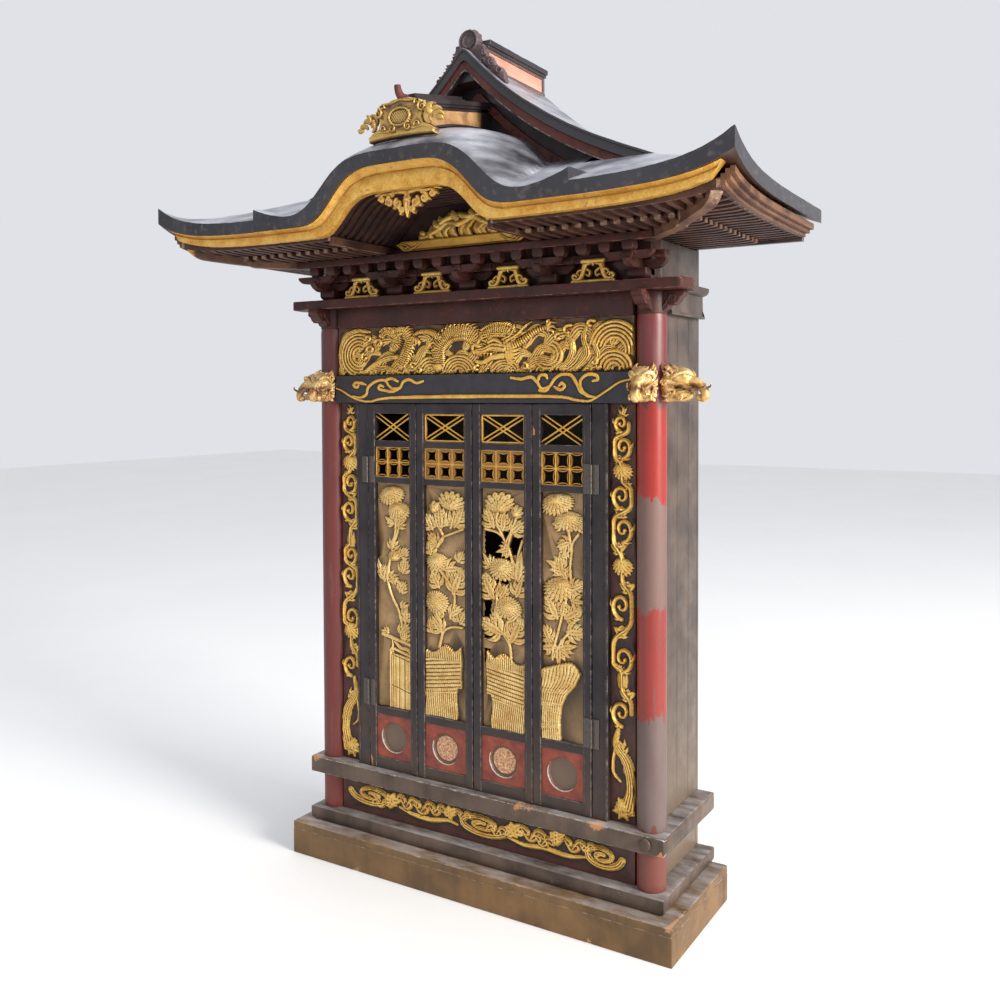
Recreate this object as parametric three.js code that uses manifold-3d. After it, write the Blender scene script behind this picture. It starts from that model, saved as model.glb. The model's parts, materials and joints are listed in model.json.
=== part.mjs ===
// A carved, lacquered and gilded portable shrine with folding doors and an undulating front gable.
//
// Millimetres, +Z up. The front faces -Y, the cut-flat back is the plane y = BACK, the two sides
// mirror each other across x = 0, and the origin is under the middle of the whole outline.

import * as THREE from 'three';
import { mergeVertices } from 'three/addons/utils/BufferGeometryUtils.js';
import Module from 'manifold-3d';

const wasm = await Module();
wasm.setup();

// ---------------------------------------------------------------- driving dimensions

const GAP = 0.3;                    // play between two touching pieces
const FRONT = -280;                 // front face of the eaves
const BACK = 280;                   // flat back of everything
const HALF_SPAN = 712;              // half the width over the eaves

const PLINTH = { halfWidth: 509, front: -51, height: 80, wall: 26, board: 18 };
const STEP = { halfWidth: 477.5, front: -18, top: 114.4, cove: 10, coveTop: 91 };
const LEDGE = { halfWidth: 477.5, front: -18, bottom: 202.8, top: 241.3 };
const BOSS = { x: 437, z: 224, radius: 13, length: 7 };

const COLUMN = { x: 431.6, y: 27.7, radius: 31.5, top: 1364.7, sides: 20 };
const WALL = { outer: 438.3, thickness: 18, front: 60, top: 1477.4 };
const BACK_BOARD = 13;              // thickness of the back board
const BAY = 399;                    // half the clear width between the columns

const DOOR = {
  bottom: 243, top: 1132, front: 2, back: 22,
  jambX: 304, foldX: 158, playAtJamb: 1.5, playAtFold: 1, playAtMiddle: 1.5, stile: 20,
};
const FIELD = {                     // heights of the door openings, from the foot up
  square: [270, 375], tall: [394, 940], grid: [955, 1027], lattice: [1043, 1108],
};
const JAMB = { inner: 304.5, outer: 340.5, front: 4, back: 24 };
const VINE = { inner: 340.8, front: 18, back: 30 };
const APRON = { front: 18, back: 36 };

const BEAM = { bottom: 1134, top: 1200, front: -5, back: 30 };
const FRIEZE = { front: 10, back: 28, top: 1317 };
const HEAD = { front: 5, back: 40, top: 1364.7 };
const PLATE = { halfWidth: 525, front: -30, back: 59.5, bottom: 1365, top: 1387 };
const CAP_FOOT = 1318;              // foot of the carved ends at the column heads

const HINGE = { radius: 3.5, axisY: -1.5, length: 64, middles: [426, 972], plate: 17 };

const EAVE = { z: 1546, rise: 0.352, curve: 5.3e-10, lift: 60, reach: 80, band: 30, bandAtTip: 11 };
const GABLE = { front: -29, back: -9, wall: 42, halfWidth: 479.7, wallHalf: 300, peak: 1927 };
const WAVE = { halfWidth: 398, crown: 112, spread: 212, endRise: 25, dipX: 290 };
const RIDGE = { halfWidth: 42, seat: 1887, top: 1950, front: 12 };

// ---------------------------------------------------------------- solids

/** Turns a closed geometry into a manifold solid. */
function solidOf(geometry) {
  const bare = geometry.clone();
  bare.deleteAttribute('normal');
  bare.deleteAttribute('uv');
  const merged = mergeVertices(bare, 1e-4);
  return new wasm.Manifold(new wasm.Mesh({
    numProp: 3,
    vertProperties: new Float32Array(merged.attributes.position.array),
    triVerts: new Uint32Array(merged.index.array),
  }));
}

/** Turns a manifold solid back into a geometry. */
function geometryOf(solid) {
  const mesh = solid.getMesh();
  const geometry = new THREE.BufferGeometry();
  geometry.setAttribute('position', new THREE.BufferAttribute(mesh.vertProperties, 3));
  geometry.setIndex(new THREE.BufferAttribute(mesh.triVerts, 1));
  return geometry;
}

/** One solid out of several that meet. */
function join(...pieces) {
  return geometryOf(pieces.flat().map(solidOf).reduce((sum, next) => sum.add(next)));
}

/** A solid with others cut out of it. */
function cut(piece, ...tools) {
  return geometryOf(tools.flat().map(solidOf).reduce((rest, tool) => rest.subtract(tool), solidOf(piece)));
}

function box(x0, x1, y0, y1, z0, z1) {
  const shape = new THREE.BoxGeometry(x1 - x0, y1 - y0, z1 - z0);
  return shape.translate((x0 + x1) / 2, (y0 + y1) / 2, (z0 + z1) / 2);
}

/** An upright round bar. */
function post(x, y, radius, z0, z1, sides) {
  const bar = new THREE.CylinderGeometry(radius, radius, z1 - z0, sides).rotateX(Math.PI / 2);
  return bar.translate(x, y, (z0 + z1) / 2);
}

function shapeOf(points, holes = []) {
  const shape = new THREE.Shape(points.map(([a, b]) => new THREE.Vector2(a, b)));
  holes.forEach((hole) => shape.holes.push(new THREE.Path(hole.map(([a, b]) => new THREE.Vector2(a, b)))));
  return shape;
}

function extrude(points, depth, holes) {
  return new THREE.ExtrudeGeometry(shapeOf(points, holes), { depth, bevelEnabled: false });
}

/** An outline of x and z, as thick as y0 to y1. */
function frontPlate(points, y0, y1, holes) {
  return extrude(points, y1 - y0, holes).rotateX(Math.PI / 2).translate(0, y1, 0);
}

/** An outline of y and z, as wide as x0 to x1. */
function sidePlate(points, x0, x1) {
  const turn = new THREE.Matrix4().makeBasis(
    new THREE.Vector3(0, 1, 0), new THREE.Vector3(0, 0, 1), new THREE.Vector3(1, 0, 0));
  return extrude(points, x1 - x0).applyMatrix4(turn).translate(x0, 0, 0);
}

const rectangle = (x0, x1, z0, z1) => [[x0, z0], [x1, z0], [x1, z1], [x0, z1]];

/** Mirrors a geometry across x = 0 and keeps its faces pointing out. */
function mirrored(geometry) {
  const copy = geometry.clone();
  if (!copy.index) copy.setIndex([...Array(copy.attributes.position.count).keys()]);
  copy.scale(-1, 1, 1);
  const index = copy.index.array;
  for (let i = 0; i < index.length; i += 3) [index[i], index[i + 1]] = [index[i + 1], index[i]];
  return copy;
}

/** Even steps from a to b, both ends included. */
const steps = (a, b, count) => Array.from({ length: count + 1 }, (_, i) => a + ((b - a) * i) / count);

/** The same stations left and right of x = 0. */
const bothSides = (stations) => [...stations.filter((x) => x > 0).reverse().map((x) => -x), ...stations];

/** A closed slab between two height functions, over the grid cells that `inside` accepts. */
function slab(xs, ys, top, bottom, inside = () => true) {
  const across = ys.length;
  const corners = xs.flatMap((x) => ys.map((y) => [x, y]));
  const upper = corners.flatMap(([x, y]) => [x, y, top(x, y)]);
  const lower = corners.flatMap(([x, y]) => [x, y, bottom(x, y)]);
  const below = corners.length;
  const faces = [];
  const quad = (a, b, c, d) => faces.push(a, b, c, a, c, d);
  const cell = (i, j) => i >= 0 && j >= 0 && i < xs.length - 1 && j < ys.length - 1
    && inside((xs[i] + xs[i + 1]) / 2, (ys[j] + ys[j + 1]) / 2);
  for (let i = 0; i < xs.length - 1; i++) {
    for (let j = 0; j < ys.length - 1; j++) {
      if (!cell(i, j)) continue;
      const a = i * across + j;
      const b = a + across;
      quad(a, b, b + 1, a + 1);
      quad(below + a + 1, below + b + 1, below + b, below + a);
      if (!cell(i, j - 1)) quad(below + a, below + b, b, a);
      if (!cell(i, j + 1)) quad(a + 1, b + 1, below + b + 1, below + a + 1);
      if (!cell(i - 1, j)) quad(below + a + 1, below + a, a, a + 1);
      if (!cell(i + 1, j)) quad(below + b, below + b + 1, b + 1, b);
    }
  }
  const geometry = new THREE.BufferGeometry();
  geometry.setAttribute('position', new THREE.Float32BufferAttribute([...upper, ...lower], 3));
  geometry.setIndex(faces);
  return geometry;
}

/** A rounded boss that faces the front: wide at its foot, smaller at its face. */
function frontBoss(x, z, radius, y0, y1, sides, taper = 0.6) {
  return new THREE.CylinderGeometry(radius, radius * taper, y1 - y0, sides).translate(0, (y0 + y1) / 2, 0)
    .rotateY(Math.PI / sides).translate(x, 0, z);
}

/** A flat ribbon of even width along a line of [x, z] points, between two depths. */
function ribbon(points, width, y0, y1) {
  const line = points.map(([x, z]) => new THREE.Vector2(x, z));
  const normals = line.map((point, i) => {
    const before = line[Math.max(i - 1, 0)];
    const after = line[Math.min(i + 1, line.length - 1)];
    const along = after.clone().sub(before).normalize();
    return new THREE.Vector2(-along.y, along.x).multiplyScalar(width / 2);
  });
  const left = line.map((point, i) => point.clone().add(normals[i]).toArray());
  const right = line.map((point, i) => point.clone().sub(normals[i]).toArray());
  return frontPlate([...right, ...left.reverse()], y0, y1);
}

/** Points of a spiral that shrinks from one radius to another round [x, z]. */
function spiral(x, z, from, to, startAngle, turns, count) {
  return steps(0, 1, count).map((t) => {
    const radius = from + (to - from) * t;
    const angle = startAngle + turns * 2 * Math.PI * t;
    return [x + radius * Math.cos(angle), z + radius * Math.sin(angle)];
  });
}

// ---------------------------------------------------------------- the shrine

const shrine = new THREE.Group();

/** Adds one named piece with its own colour. */
function piece(name, geometry, finish) {
  const material = new THREE.MeshStandardMaterial(finish);
  const mesh = new THREE.Mesh(geometry, material);
  mesh.name = name;
  shrine.add(mesh);
}

const BLACK = { color: 0x2c2728, roughness: 0.42, metalness: 0 };
const RED = { color: 0x7c241c, roughness: 0.45, metalness: 0 };
const BROWN = { color: 0x4a2f24, roughness: 0.6, metalness: 0 };
const GOLD = { color: 0xc9983c, roughness: 0.38, metalness: 0.6 };
const IRON = { color: 0x55504a, roughness: 0.5, metalness: 0.8 };
const ROOF = { color: 0x3f3d42, roughness: 0.4, metalness: 0 };
const SIDES = [['left', -1], ['right', 1]];

/** The piece itself on the right, its mirror image on the left. */
const onSide = (side, geometry) => (side < 0 ? mirrored(geometry) : geometry);

// ---------------------------------------------------------------- base

function addBase() {
  const { halfWidth, front, height, wall, board } = PLINTH;
  piece('plinth', cut(
    box(-halfWidth, halfWidth, front, BACK, 0, height),
    box(-halfWidth + wall, halfWidth - wall, front + wall, BACK - wall, -1, height - board)), BROWN);

  piece('plinth_step', join(
    box(-STEP.halfWidth + STEP.cove, STEP.halfWidth - STEP.cove, STEP.front + STEP.cove, BACK,
      PLINTH.height + GAP, STEP.coveTop + 1),
    box(-STEP.halfWidth, STEP.halfWidth, STEP.front, BACK, STEP.coveTop, STEP.top),
  ), BLACK);

  const foot = STEP.top + GAP;
  const head = LEDGE.bottom - GAP;
  const inner = WALL.outer - WALL.thickness;
  piece('base_box', join(
    box(inner, WALL.outer, WALL.front, BACK, foot, head),
    box(-WALL.outer, -inner, WALL.front, BACK, foot, head),
    box(-WALL.outer, WALL.outer, BACK - WALL.thickness, BACK, foot, head),
  ), BLACK);
  piece('base_front', apronBoard(foot, head), RED);

  const sockets = SIDES.map(([, side]) => post(
    side * COLUMN.x, COLUMN.y, COLUMN.radius + 2 * GAP, LEDGE.bottom - 1, LEDGE.top + 1, COLUMN.sides));
  piece('ledge', cut(
    box(-LEDGE.halfWidth, LEDGE.halfWidth, LEDGE.front, BACK, LEDGE.bottom, LEDGE.top),
    ...sockets), BLACK);
  piece('ledge_boss', frontBoss(BOSS.x, BOSS.z, BOSS.radius,
    LEDGE.front - GAP - BOSS.length, LEDGE.front - GAP, 14, 0.7), BLACK);
}

/** The board under the ledge, with its running scrolls standing proud. */
function apronBoard(foot, head) {
  const middle = (foot + head) / 2;
  const proud = [APRON.front - 9, APRON.front + 1];
  const wave = steps(-372, 372, 24).map((x) => [x, middle + 13 * Math.sin(x / 46)]);
  const curls = [-330, -110, 110, 330].map((x) => ribbon(
    spiral(x, middle, 28, 9, x > 0 ? 0 : Math.PI, 1.1, 7), 7, ...proud));
  return join(
    box(-BAY, BAY, APRON.front, APRON.back, foot, head),
    ribbon(wave, 9, ...proud),
    curls);
}

// ---------------------------------------------------------------- cabinet

function addCabinet() {
  for (const [name, side] of SIDES) {
    piece('column_' + name, post(side * COLUMN.x, COLUMN.y, COLUMN.radius, STEP.top + GAP,
      CAP_FOOT - GAP, COLUMN.sides), RED);
    piece('wall_' + name, onSide(side, box(WALL.outer - WALL.thickness, WALL.outer, WALL.front,
      BACK - BACK_BOARD - GAP, LEDGE.top + GAP, WALL.top)), BLACK);
    piece('jamb_' + name, onSide(side, box(JAMB.inner, JAMB.outer, JAMB.front, JAMB.back,
      LEDGE.top + GAP, BEAM.bottom - GAP)), BLACK);
    piece('vine_panel_' + name, onSide(side, vinePanel(side)), GOLD);
    piece('side_cornice_' + name, onSide(side, join(
      box(WALL.outer + GAP, WALL.outer + 9, PLATE.back + 26, BACK, 1322, 1376),
      box(WALL.outer + GAP, WALL.outer + 24, PLATE.back + 26, BACK, 1374, 1391),
    )), BLACK);
  }
  piece('back_board', backBoard(), BLACK);
}

/** A narrow board with one winding stem and its blossoms, drawn for the right side. */
function vinePanel(side) {
  const middle = (VINE.inner + BAY) / 2;
  const foot = LEDGE.top + GAP;
  const head = BEAM.bottom - GAP;
  const blossoms = side > 0 ? [990, 795, 580] : [1005, 655, 432];
  const stem = steps(foot + 20, head - 20, 22).map((z) => [middle + 15 * Math.sin((z - foot) / 52), z]);
  return join(
    box(VINE.inner, BAY, VINE.front, VINE.back, foot, head),
    ribbon(stem, 8, VINE.front - 10, VINE.front + 1),
    blossoms.map((z) => frontBoss(middle, z, 22, VINE.front - 12, VINE.front + 1, 7)));
}

/** The back board: plain between the walls, and shaped under the roof above them. */
function backBoard() {
  const reach = HALF_SPAN - 36;
  const under = (x) => roofBottom(x, BACK) - 4;
  const crown = RIDGE.seat - EAVE.band - 4;
  const slope = steps(reach, RIDGE.halfWidth, 9).map((x) => [x, Math.min(under(x), crown)]);
  const half = [[WALL.outer, LEDGE.top + GAP], [WALL.outer, 1480], [reach, 1480], ...slope];
  const outline = [...half, ...half.slice().reverse().map(([x, z]) => [-x, z])];
  return frontPlate(outline, BACK - BACK_BOARD, BACK);
}

// ---------------------------------------------------------------- doors

/** A thin bar between two [x, z] points, for the door lattices. */
function slat([x0, z0], [x1, z1], width, y0, y1) {
  return ribbon([[x0, z0], [x1, z1]], width, y0, y1);
}

/** One door leaf: stiles and rails with its openings, its crossed slats and its bars. */
function doorLeaf(x0, x1) {
  const left = x0 + DOOR.stile;
  const right = x1 - DOOR.stile;
  const openings = Object.values(FIELD).map(([z0, z1]) => rectangle(left, right, z0, z1));
  const frame = frontPlate(rectangle(x0, x1, DOOR.bottom, DOOR.top), DOOR.front, DOOR.back, openings);
  const depths = [DOOR.front + 5, DOOR.front + 11];
  const [low, high] = FIELD.lattice;
  const crossed = [
    slat([left - 2, low - 2], [right + 2, high + 2], 6, ...depths),
    slat([left - 2, high + 2], [right + 2, low - 2], 6, ...depths),
  ];
  const [gridLow, gridHigh] = FIELD.grid;
  const across = [1 / 3, 2 / 3].map((share) => left + (right - left) * share);
  const bars = across.map((x) => slat([x, gridLow - 2], [x, gridHigh + 2], 6, ...depths));
  const gridMiddle = (gridLow + gridHigh) / 2;
  bars.push(slat([left - 2, gridMiddle], [right + 2, gridMiddle], 6, ...depths));
  return join(frame, crossed, bars);
}

/** The blossoms of a carved door board, as [share of width, height, radius]. */
const BLOSSOMS = {
  left_outer: [[0.35, 918, 21], [0.6, 880, 22], [0.4, 760, 14], [0.62, 660, 16]],
  left_middle: [[0.3, 905, 20], [0.75, 880, 20], [0.35, 790, 19], [0.75, 720, 20], [0.4, 640, 19]],
  right_middle: [[0.3, 905, 20], [0.75, 850, 20], [0.3, 700, 19], [0.7, 640, 20]],
  right_outer: [[0.3, 905, 25], [0.68, 850, 28], [0.4, 690, 16], [0.6, 580, 18]],
};

/** A carved board: its ground, one stem with blossoms, and a bound hedge or sheaf at its foot. */
function carvedBoard(name, x0, x1) {
  const left = x0 + DOOR.stile + GAP;
  const right = x1 - DOOR.stile - GAP;
  const width = right - left;
  const [low, high] = [FIELD.tall[0] + GAP, FIELD.tall[1] - GAP];
  const ground = [DOOR.front + 12, DOOR.front + 16];
  const voids = name === 'right_middle'
    ? [rectangle(left + 8, left + 34, 560, 640), rectangle(left + 10, left + 40, 745, 800)] : [];
  const stem = steps(low + 90, high - 45, 8).map((z) => [
    left + width * (0.5 + 0.16 * Math.sin((z - low) / 62)), z]);
  const hedgeTop = name.endsWith('outer') ? 0.26 : 0.3;
  const hedge = steps(0, 1, 4).map((t, i) => [
    left + width * (0.06 + 0.88 * t), low + (high - low) * (hedgeTop - (i % 2) * 0.012)]);
  return join(
    frontPlate(rectangle(left, right, low, high), ...ground, voids),
    ribbon(stem, 9, DOOR.front + 5, DOOR.front + 13),
    BLOSSOMS[name].map(([share, z, radius]) => frontBoss(
      left + width * share, z, radius, DOOR.front + 2, DOOR.front + 13, 6)),
    frontPlate([[left + width * 0.08, low], [right - width * 0.08, low], ...hedge.reverse()],
      DOOR.front + 4, DOOR.front + 13));
}

/** A square board with a round dish sunk in it. */
function dishedSquare(x0, x1) {
  const left = x0 + DOOR.stile + GAP;
  const right = x1 - DOOR.stile - GAP;
  const [low, high] = FIELD.square;
  const board = box(left, right, DOOR.front + 4, DOOR.front + 14, low + GAP, high - GAP);
  const dish = frontBoss((left + right) / 2, (low + high) / 2, 36, DOOR.front - 1, DOOR.front + 9, 14, 1);
  return cut(board, dish);
}

function addDoors() {
  const outer = [DOOR.foldX + DOOR.playAtFold, DOOR.jambX - DOOR.playAtJamb];
  const middle = [DOOR.playAtMiddle, DOOR.foldX - DOOR.playAtFold];
  for (const [name, side] of SIDES) {
    for (const [leaf, [near, far]] of [['outer', outer], ['middle', middle]]) {
      const [x0, x1] = side < 0 ? [-far, -near] : [near, far];
      const full = name + '_' + leaf;
      piece('door_' + full, doorLeaf(x0, x1), BLACK);
      piece('door_carving_' + full, carvedBoard(full, x0, x1), GOLD);
      piece('door_square_' + full, dishedSquare(x0, x1), RED);
    }
    HINGE.middles.forEach((z, i) => piece('hinge_' + name + (i ? '_upper' : '_lower'),
      onSide(side, jambHinge(z)), IRON));
  }
}

/** The knuckle and the jamb plate of one hinge, on the right side. */
function jambHinge(z) {
  const [z0, z1] = [z - HINGE.length / 2, z + HINGE.length / 2];
  return join(
    post(DOOR.jambX, HINGE.axisY, HINGE.radius, z0, z1, 8),
    box(DOOR.jambX + 1.5, DOOR.jambX + HINGE.plate, JAMB.front - 3, JAMB.front - GAP, z0, z1));
}

// ---------------------------------------------------------------- beams and their carved ends

function addBeams() {
  piece('rainbow_beam', box(-BAY, BAY, BEAM.front, BEAM.back, BEAM.bottom, BEAM.top), BLACK);
  piece('dragon_frieze', friezeBoard(), GOLD);
  piece('head_beam', box(-BAY, BAY, HEAD.front, HEAD.back, FRIEZE.top + GAP, HEAD.top), BROWN);
  const end = steps(-0.5, 0.5, 6).map((t) => {
    const middle = (PLATE.front + PLATE.back) / 2;
    const half = (PLATE.back - PLATE.front) / 2;
    return [PLATE.halfWidth - 14 + 14 * Math.cos(Math.PI * t), middle + half * Math.sin(Math.PI * t)];
  });
  const plan = [...end, ...end.map(([x, y]) => [-x, y]).reverse()];
  piece('wall_plate', extrude(plan, PLATE.top - PLATE.bottom).translate(0, 0, PLATE.bottom), BROWN);
  for (const [name, side] of SIDES) {
    piece('carved_end_' + name, onSide(side, carvedEnds()), BROWN);
    piece('beast_side_' + name, onSide(side, beastHead(97, 27).rotateZ(Math.PI / 2)
      .translate(COLUMN.x + COLUMN.radius + GAP, COLUMN.y, 1172)), GOLD);
    piece('beast_front_' + name, onSide(side, beastHead(60, 28)
      .translate(COLUMN.x - 2, COLUMN.y - COLUMN.radius - GAP, 1172)), GOLD);
  }
}

/** The frieze: a board with a coiling dragon's body over rolling waves. */
function friezeBoard() {
  const [foot, head] = [BEAM.top + GAP, FRIEZE.top];
  const middle = (foot + head) / 2;
  const body = steps(-370, 370, 24).map((x) => [x, middle + 8 + 25 * Math.sin(x / 62)]);
  const crests = steps(-330, 330, 4).map((x) => spiral(x, foot + 25, 24, 8, -0.3, 0.7, 6));
  return join(
    box(-BAY, BAY, FRIEZE.front, FRIEZE.back, foot, head),
    ribbon(body, 26, FRIEZE.front - 14, FRIEZE.front + 1),
    crests.map((points) => ribbon(points, 10, FRIEZE.front - 9, FRIEZE.front + 1)));
}

/** The head of the column with the two scrolled beam ends that cross in it. */
function carvedEnds() {
  const nose = (reach) => [[0, 0], [reach * 0.35, 4], [reach * 0.55, 14], [reach * 0.8, 18],
    [reach * 0.86, 28], [reach, 33], [reach, 46], [0, 46]];
  const start = COLUMN.x;
  const toSide = frontPlate(nose(74).map(([a, b]) => [start + a, CAP_FOOT + b]), 15, 41);
  const toFront = sidePlate(nose(80).map(([a, b]) => [COLUMN.y - a, CAP_FOOT + b]).reverse(),
    start - 13, start + 13);
  return join(post(start, COLUMN.y, COLUMN.radius, CAP_FOOT, COLUMN.top, COLUMN.sides), toSide, toFront);
}

/** A beast's head that looks along -Y: skull, brow, jaws and a curled snout. */
function beastHead(reach, half) {
  const skull = new THREE.SphereGeometry(1, 7, 4).scale(half, reach * 0.36, 34)
    .translate(0, -reach * 0.37, 8);
  const neck = box(-half * 0.7, half * 0.7, -reach * 0.3, 0, -36, 34);
  const snout = new THREE.CylinderGeometry(half * 0.62, half * 0.42, reach * 0.5, 6)
    .translate(0, -reach * 0.62, 0);
  const tip = new THREE.SphereGeometry(half * 0.5, 6, 4).translate(0, -reach + half * 0.5, 0);
  const jaw = box(-half * 0.5, half * 0.5, -reach * 0.8, -reach * 0.2, -34, -20);
  const muzzle = join(snout, tip).rotateX(0.14);
  return join(skull, neck, muzzle, jaw);
}

// ---------------------------------------------------------------- brackets

/** A bearing block: narrower at its foot. */
function bearingBlock(x, y, z, width, height) {
  const half = width / 2;
  const foot = half * 0.66;
  return frontPlate([[x - foot, z], [x + foot, z], [x + half, z + height], [x - half, z + height]],
    y - half, y + half);
}

/** A bracket arm across the front, boat-shaped below. */
function bracketArm(x, y, z, width, height) {
  const half = width / 2;
  return frontPlate([[x - half * 0.8, z], [x + half * 0.8, z], [x + half, z + height], [x - half, z + height]],
    y - 8, y + 8);
}

/** One bracket set on the wall plate: base block, crossing arms, and blocks under the purlin. */
function bracketSet(x) {
  const foot = PLATE.top + GAP;
  return [
    bearingBlock(x, 6, foot, 44, 24),
    box(x - 8, x + 8, -58, 22, foot + 23, foot + 40),
    bracketArm(x, 6, foot + 23, 112, 20),
    bracketArm(x, -50, foot + 38, 104, 20),
  ];
}

function addBrackets() {
  const foot = PLATE.top + GAP;
  const purlin = [-62, -38, 1462, WALL.top];
  const blocks = steps(-416, 416, 8).map((x) => bearingBlock(x, -50, foot + 54, 25, 22));
  piece('bracket_band', join(
    box(-WALL.outer + WALL.thickness + GAP, WALL.outer - WALL.thickness - GAP, 20, 32, foot, WALL.top),
    box(-470, 470, ...purlin),
    SIDES.map(([, side]) => box(side * 421 - 17, side * 421 + 17, 8, PLATE.back, foot, WALL.top)),
    [-416, -207, 0, 207, 416].flatMap(bracketSet),
    blocks), BROWN);
  [['far_left', -312], ['mid_left', -103], ['mid_right', 103], ['far_right', 312]].forEach(([name, x]) => {
    piece('frog_leg_' + name, frogLeg(x, foot + GAP), GOLD);
  });
}

/** A frog-leg strut: two spread legs with curled toes under a small cap. */
function frogLeg(x, foot) {
  const half = 48;
  const leg = (side) => [[11, 44], [20, 40], [25, 24], [30, 10], [half, 5]].map(([a, b]) => [side * a, b]);
  return join(
    [-1, 1].map((side) => ribbon(leg(side).map(([a, b]) => [x + a, foot + b]), 8, -12, 2)),
    box(x - half, x + half, -12, 2, foot, foot + 6),
    box(x - 22, x + 22, -12, 2, foot + 40, foot + 50));
}

// ---------------------------------------------------------------- roof surfaces

/** How far a place on the roof is in from the side eave and from the front eave. */
const inset = (x, y) => [HALF_SPAN - Math.abs(x), y - FRONT];

/** The upward turn of the eaves at the two front corners. */
function cornerLift(x, y) {
  const [fromSide, fromFront] = inset(x, y);
  return EAVE.lift * Math.exp(-(fromSide + fromFront) / EAVE.reach);
}

/** The concave slope of the roof, by distance in from the eave. */
const slopeHeight = (d) => EAVE.z + EAVE.rise * d + EAVE.curve * d ** 4;

/** Height of the two long side slopes. */
function sideSlope(x, y) {
  return Math.min(slopeHeight(inset(x, y)[0]) + cornerLift(x, y), RIDGE.seat);
}

/** Height of the hipped slopes round the front. */
function hipSlope(x, y) {
  return slopeHeight(Math.min(...inset(x, y))) + cornerLift(x, y);
}

/** The waving line of the front gable, from its crown down to its upturned ends. */
function waveLine(x, base, crown, spread) {
  const far = Math.max(Math.abs(x) - WAVE.dipX, 0) / (WAVE.halfWidth - WAVE.dipX);
  return base + crown * Math.exp(-((Math.abs(x) / spread) ** 5)) + WAVE.endRise * far ** 1.7;
}

/** Height of the waving gable's roof, which rises and flattens towards the back. */
function waveRoof(x, y) {
  const risen = 1 - Math.exp(-(y - FRONT) / 135);
  return waveLine(x, EAVE.z, WAVE.crown, WAVE.spread) + 100 * Math.exp(-((x / 230) ** 2)) * risen;
}

const bandHeight = (x, y) => EAVE.band + (EAVE.bandAtTip * cornerLift(x, y)) / EAVE.lift;
const roofBottom = (x, y) => sideSlope(x, y) - bandHeight(x, y);

/** Top of the lower front roof: the hip, or the waving gable where that is higher. */
function lowerTop(x, y) {
  return Math.abs(x) < WAVE.halfWidth ? Math.max(hipSlope(x, y), waveRoof(x, y)) : hipSlope(x, y);
}

/** Underside of the lower front roof. */
function lowerBottom(x, y) {
  if (Math.abs(x) >= WAVE.halfWidth) return hipSlope(x, y) - bandHeight(x, y);
  const band = EAVE.z - EAVE.band + 2;
  const atFront = band + (WAVE.crown - 4) * Math.exp(-((Math.abs(x) / 186) ** 5));
  return Math.max(atFront + (waveRoof(x, y) - waveRoof(x, FRONT)) * 0.8, hipSlope(x, y) - bandHeight(x, y));
}

/** Lower edge of the gilded board under the front eave. */
const bargeFoot = (x) => 1493 + cornerLift(x, FRONT) * 0.9 + 82 * Math.exp(-((Math.abs(x) / 170) ** 6));

/** Underside of the vault behind the waving gable. */
const vaultLine = (x) => 1490 + 92 * Math.exp(-((Math.abs(x) / 178) ** 6));

// ---------------------------------------------------------------- roof pieces

function addRoof() {
  const edge = WAVE.halfWidth;
  const stations = bothSides([0, 60, 110, 145, 175, 200, 225, 260, 300, 332, 364, edge - 0.2,
    edge + 0.2, 500, 590, 650, 686, HALF_SPAN]);
  const depths = [FRONT, -240, -180, -105, GABLE.front - GAP, GABLE.wall - GAP];
  piece('roof_lower', slab(stations, depths, lowerTop, lowerBottom,
    (x, y) => y < GABLE.front || Math.abs(x) < GABLE.wallHalf), ROOF);

  const slopes = bothSides([RIDGE.halfWidth, 90, 150, 220, 300, 390, GABLE.halfWidth + GAP, 560, 640,
    HALF_SPAN]);
  piece('roof_main', slab(slopes, [GABLE.front, GABLE.back, 130, BACK], sideSlope, roofBottom,
    (x, y) => y > GABLE.back || Math.abs(x) > GABLE.halfWidth), ROOF);

  piece('gable_barge', gableBarge(), ROOF);
  piece('gable_wall', gableWall(), BROWN);
  piece('eaves', eaves(), BROWN);
  piece('gilded_barge', gildedBarge(), GOLD);
}

/** The curved boards on the edge of the upper gable, with the inner board under them. */
function gableBarge() {
  const top = (x) => Math.min(slopeHeight(HALF_SPAN - x), GABLE.peak);
  const half = steps(0, GABLE.halfWidth, 8);
  const strip = (from, to, y0, y1) => frontPlate([
    ...half.slice().reverse().map((x) => [-x, top(x) - to]),
    ...half.slice(1).map((x) => [x, top(x) - to]),
    ...half.slice().reverse().map((x) => [x, top(x) - from]),
    ...half.slice(1).map((x) => [-x, top(x) - from]),
  ], y0, y1);
  return join(strip(0, 20, GABLE.front, GABLE.back - GAP), strip(19, 50, GABLE.front + 6, GABLE.back - GAP));
}

/** The triangular board that closes the upper gable. */
function gableWall() {
  const head = (x) => Math.min(roofBottom(x, 0), RIDGE.seat - EAVE.band) - 2 * GAP;
  const slope = steps(GABLE.wallHalf, RIDGE.halfWidth, 8).map((x) => [x, head(x)]);
  const floor = 1640;
  const half = [[GABLE.wallHalf, floor], ...slope];
  const outline = [...half, ...half.slice().reverse().map(([x, z]) => [-x, z])];
  return frontPlate(outline, GABLE.wall, GABLE.wall + 12);
}

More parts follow.
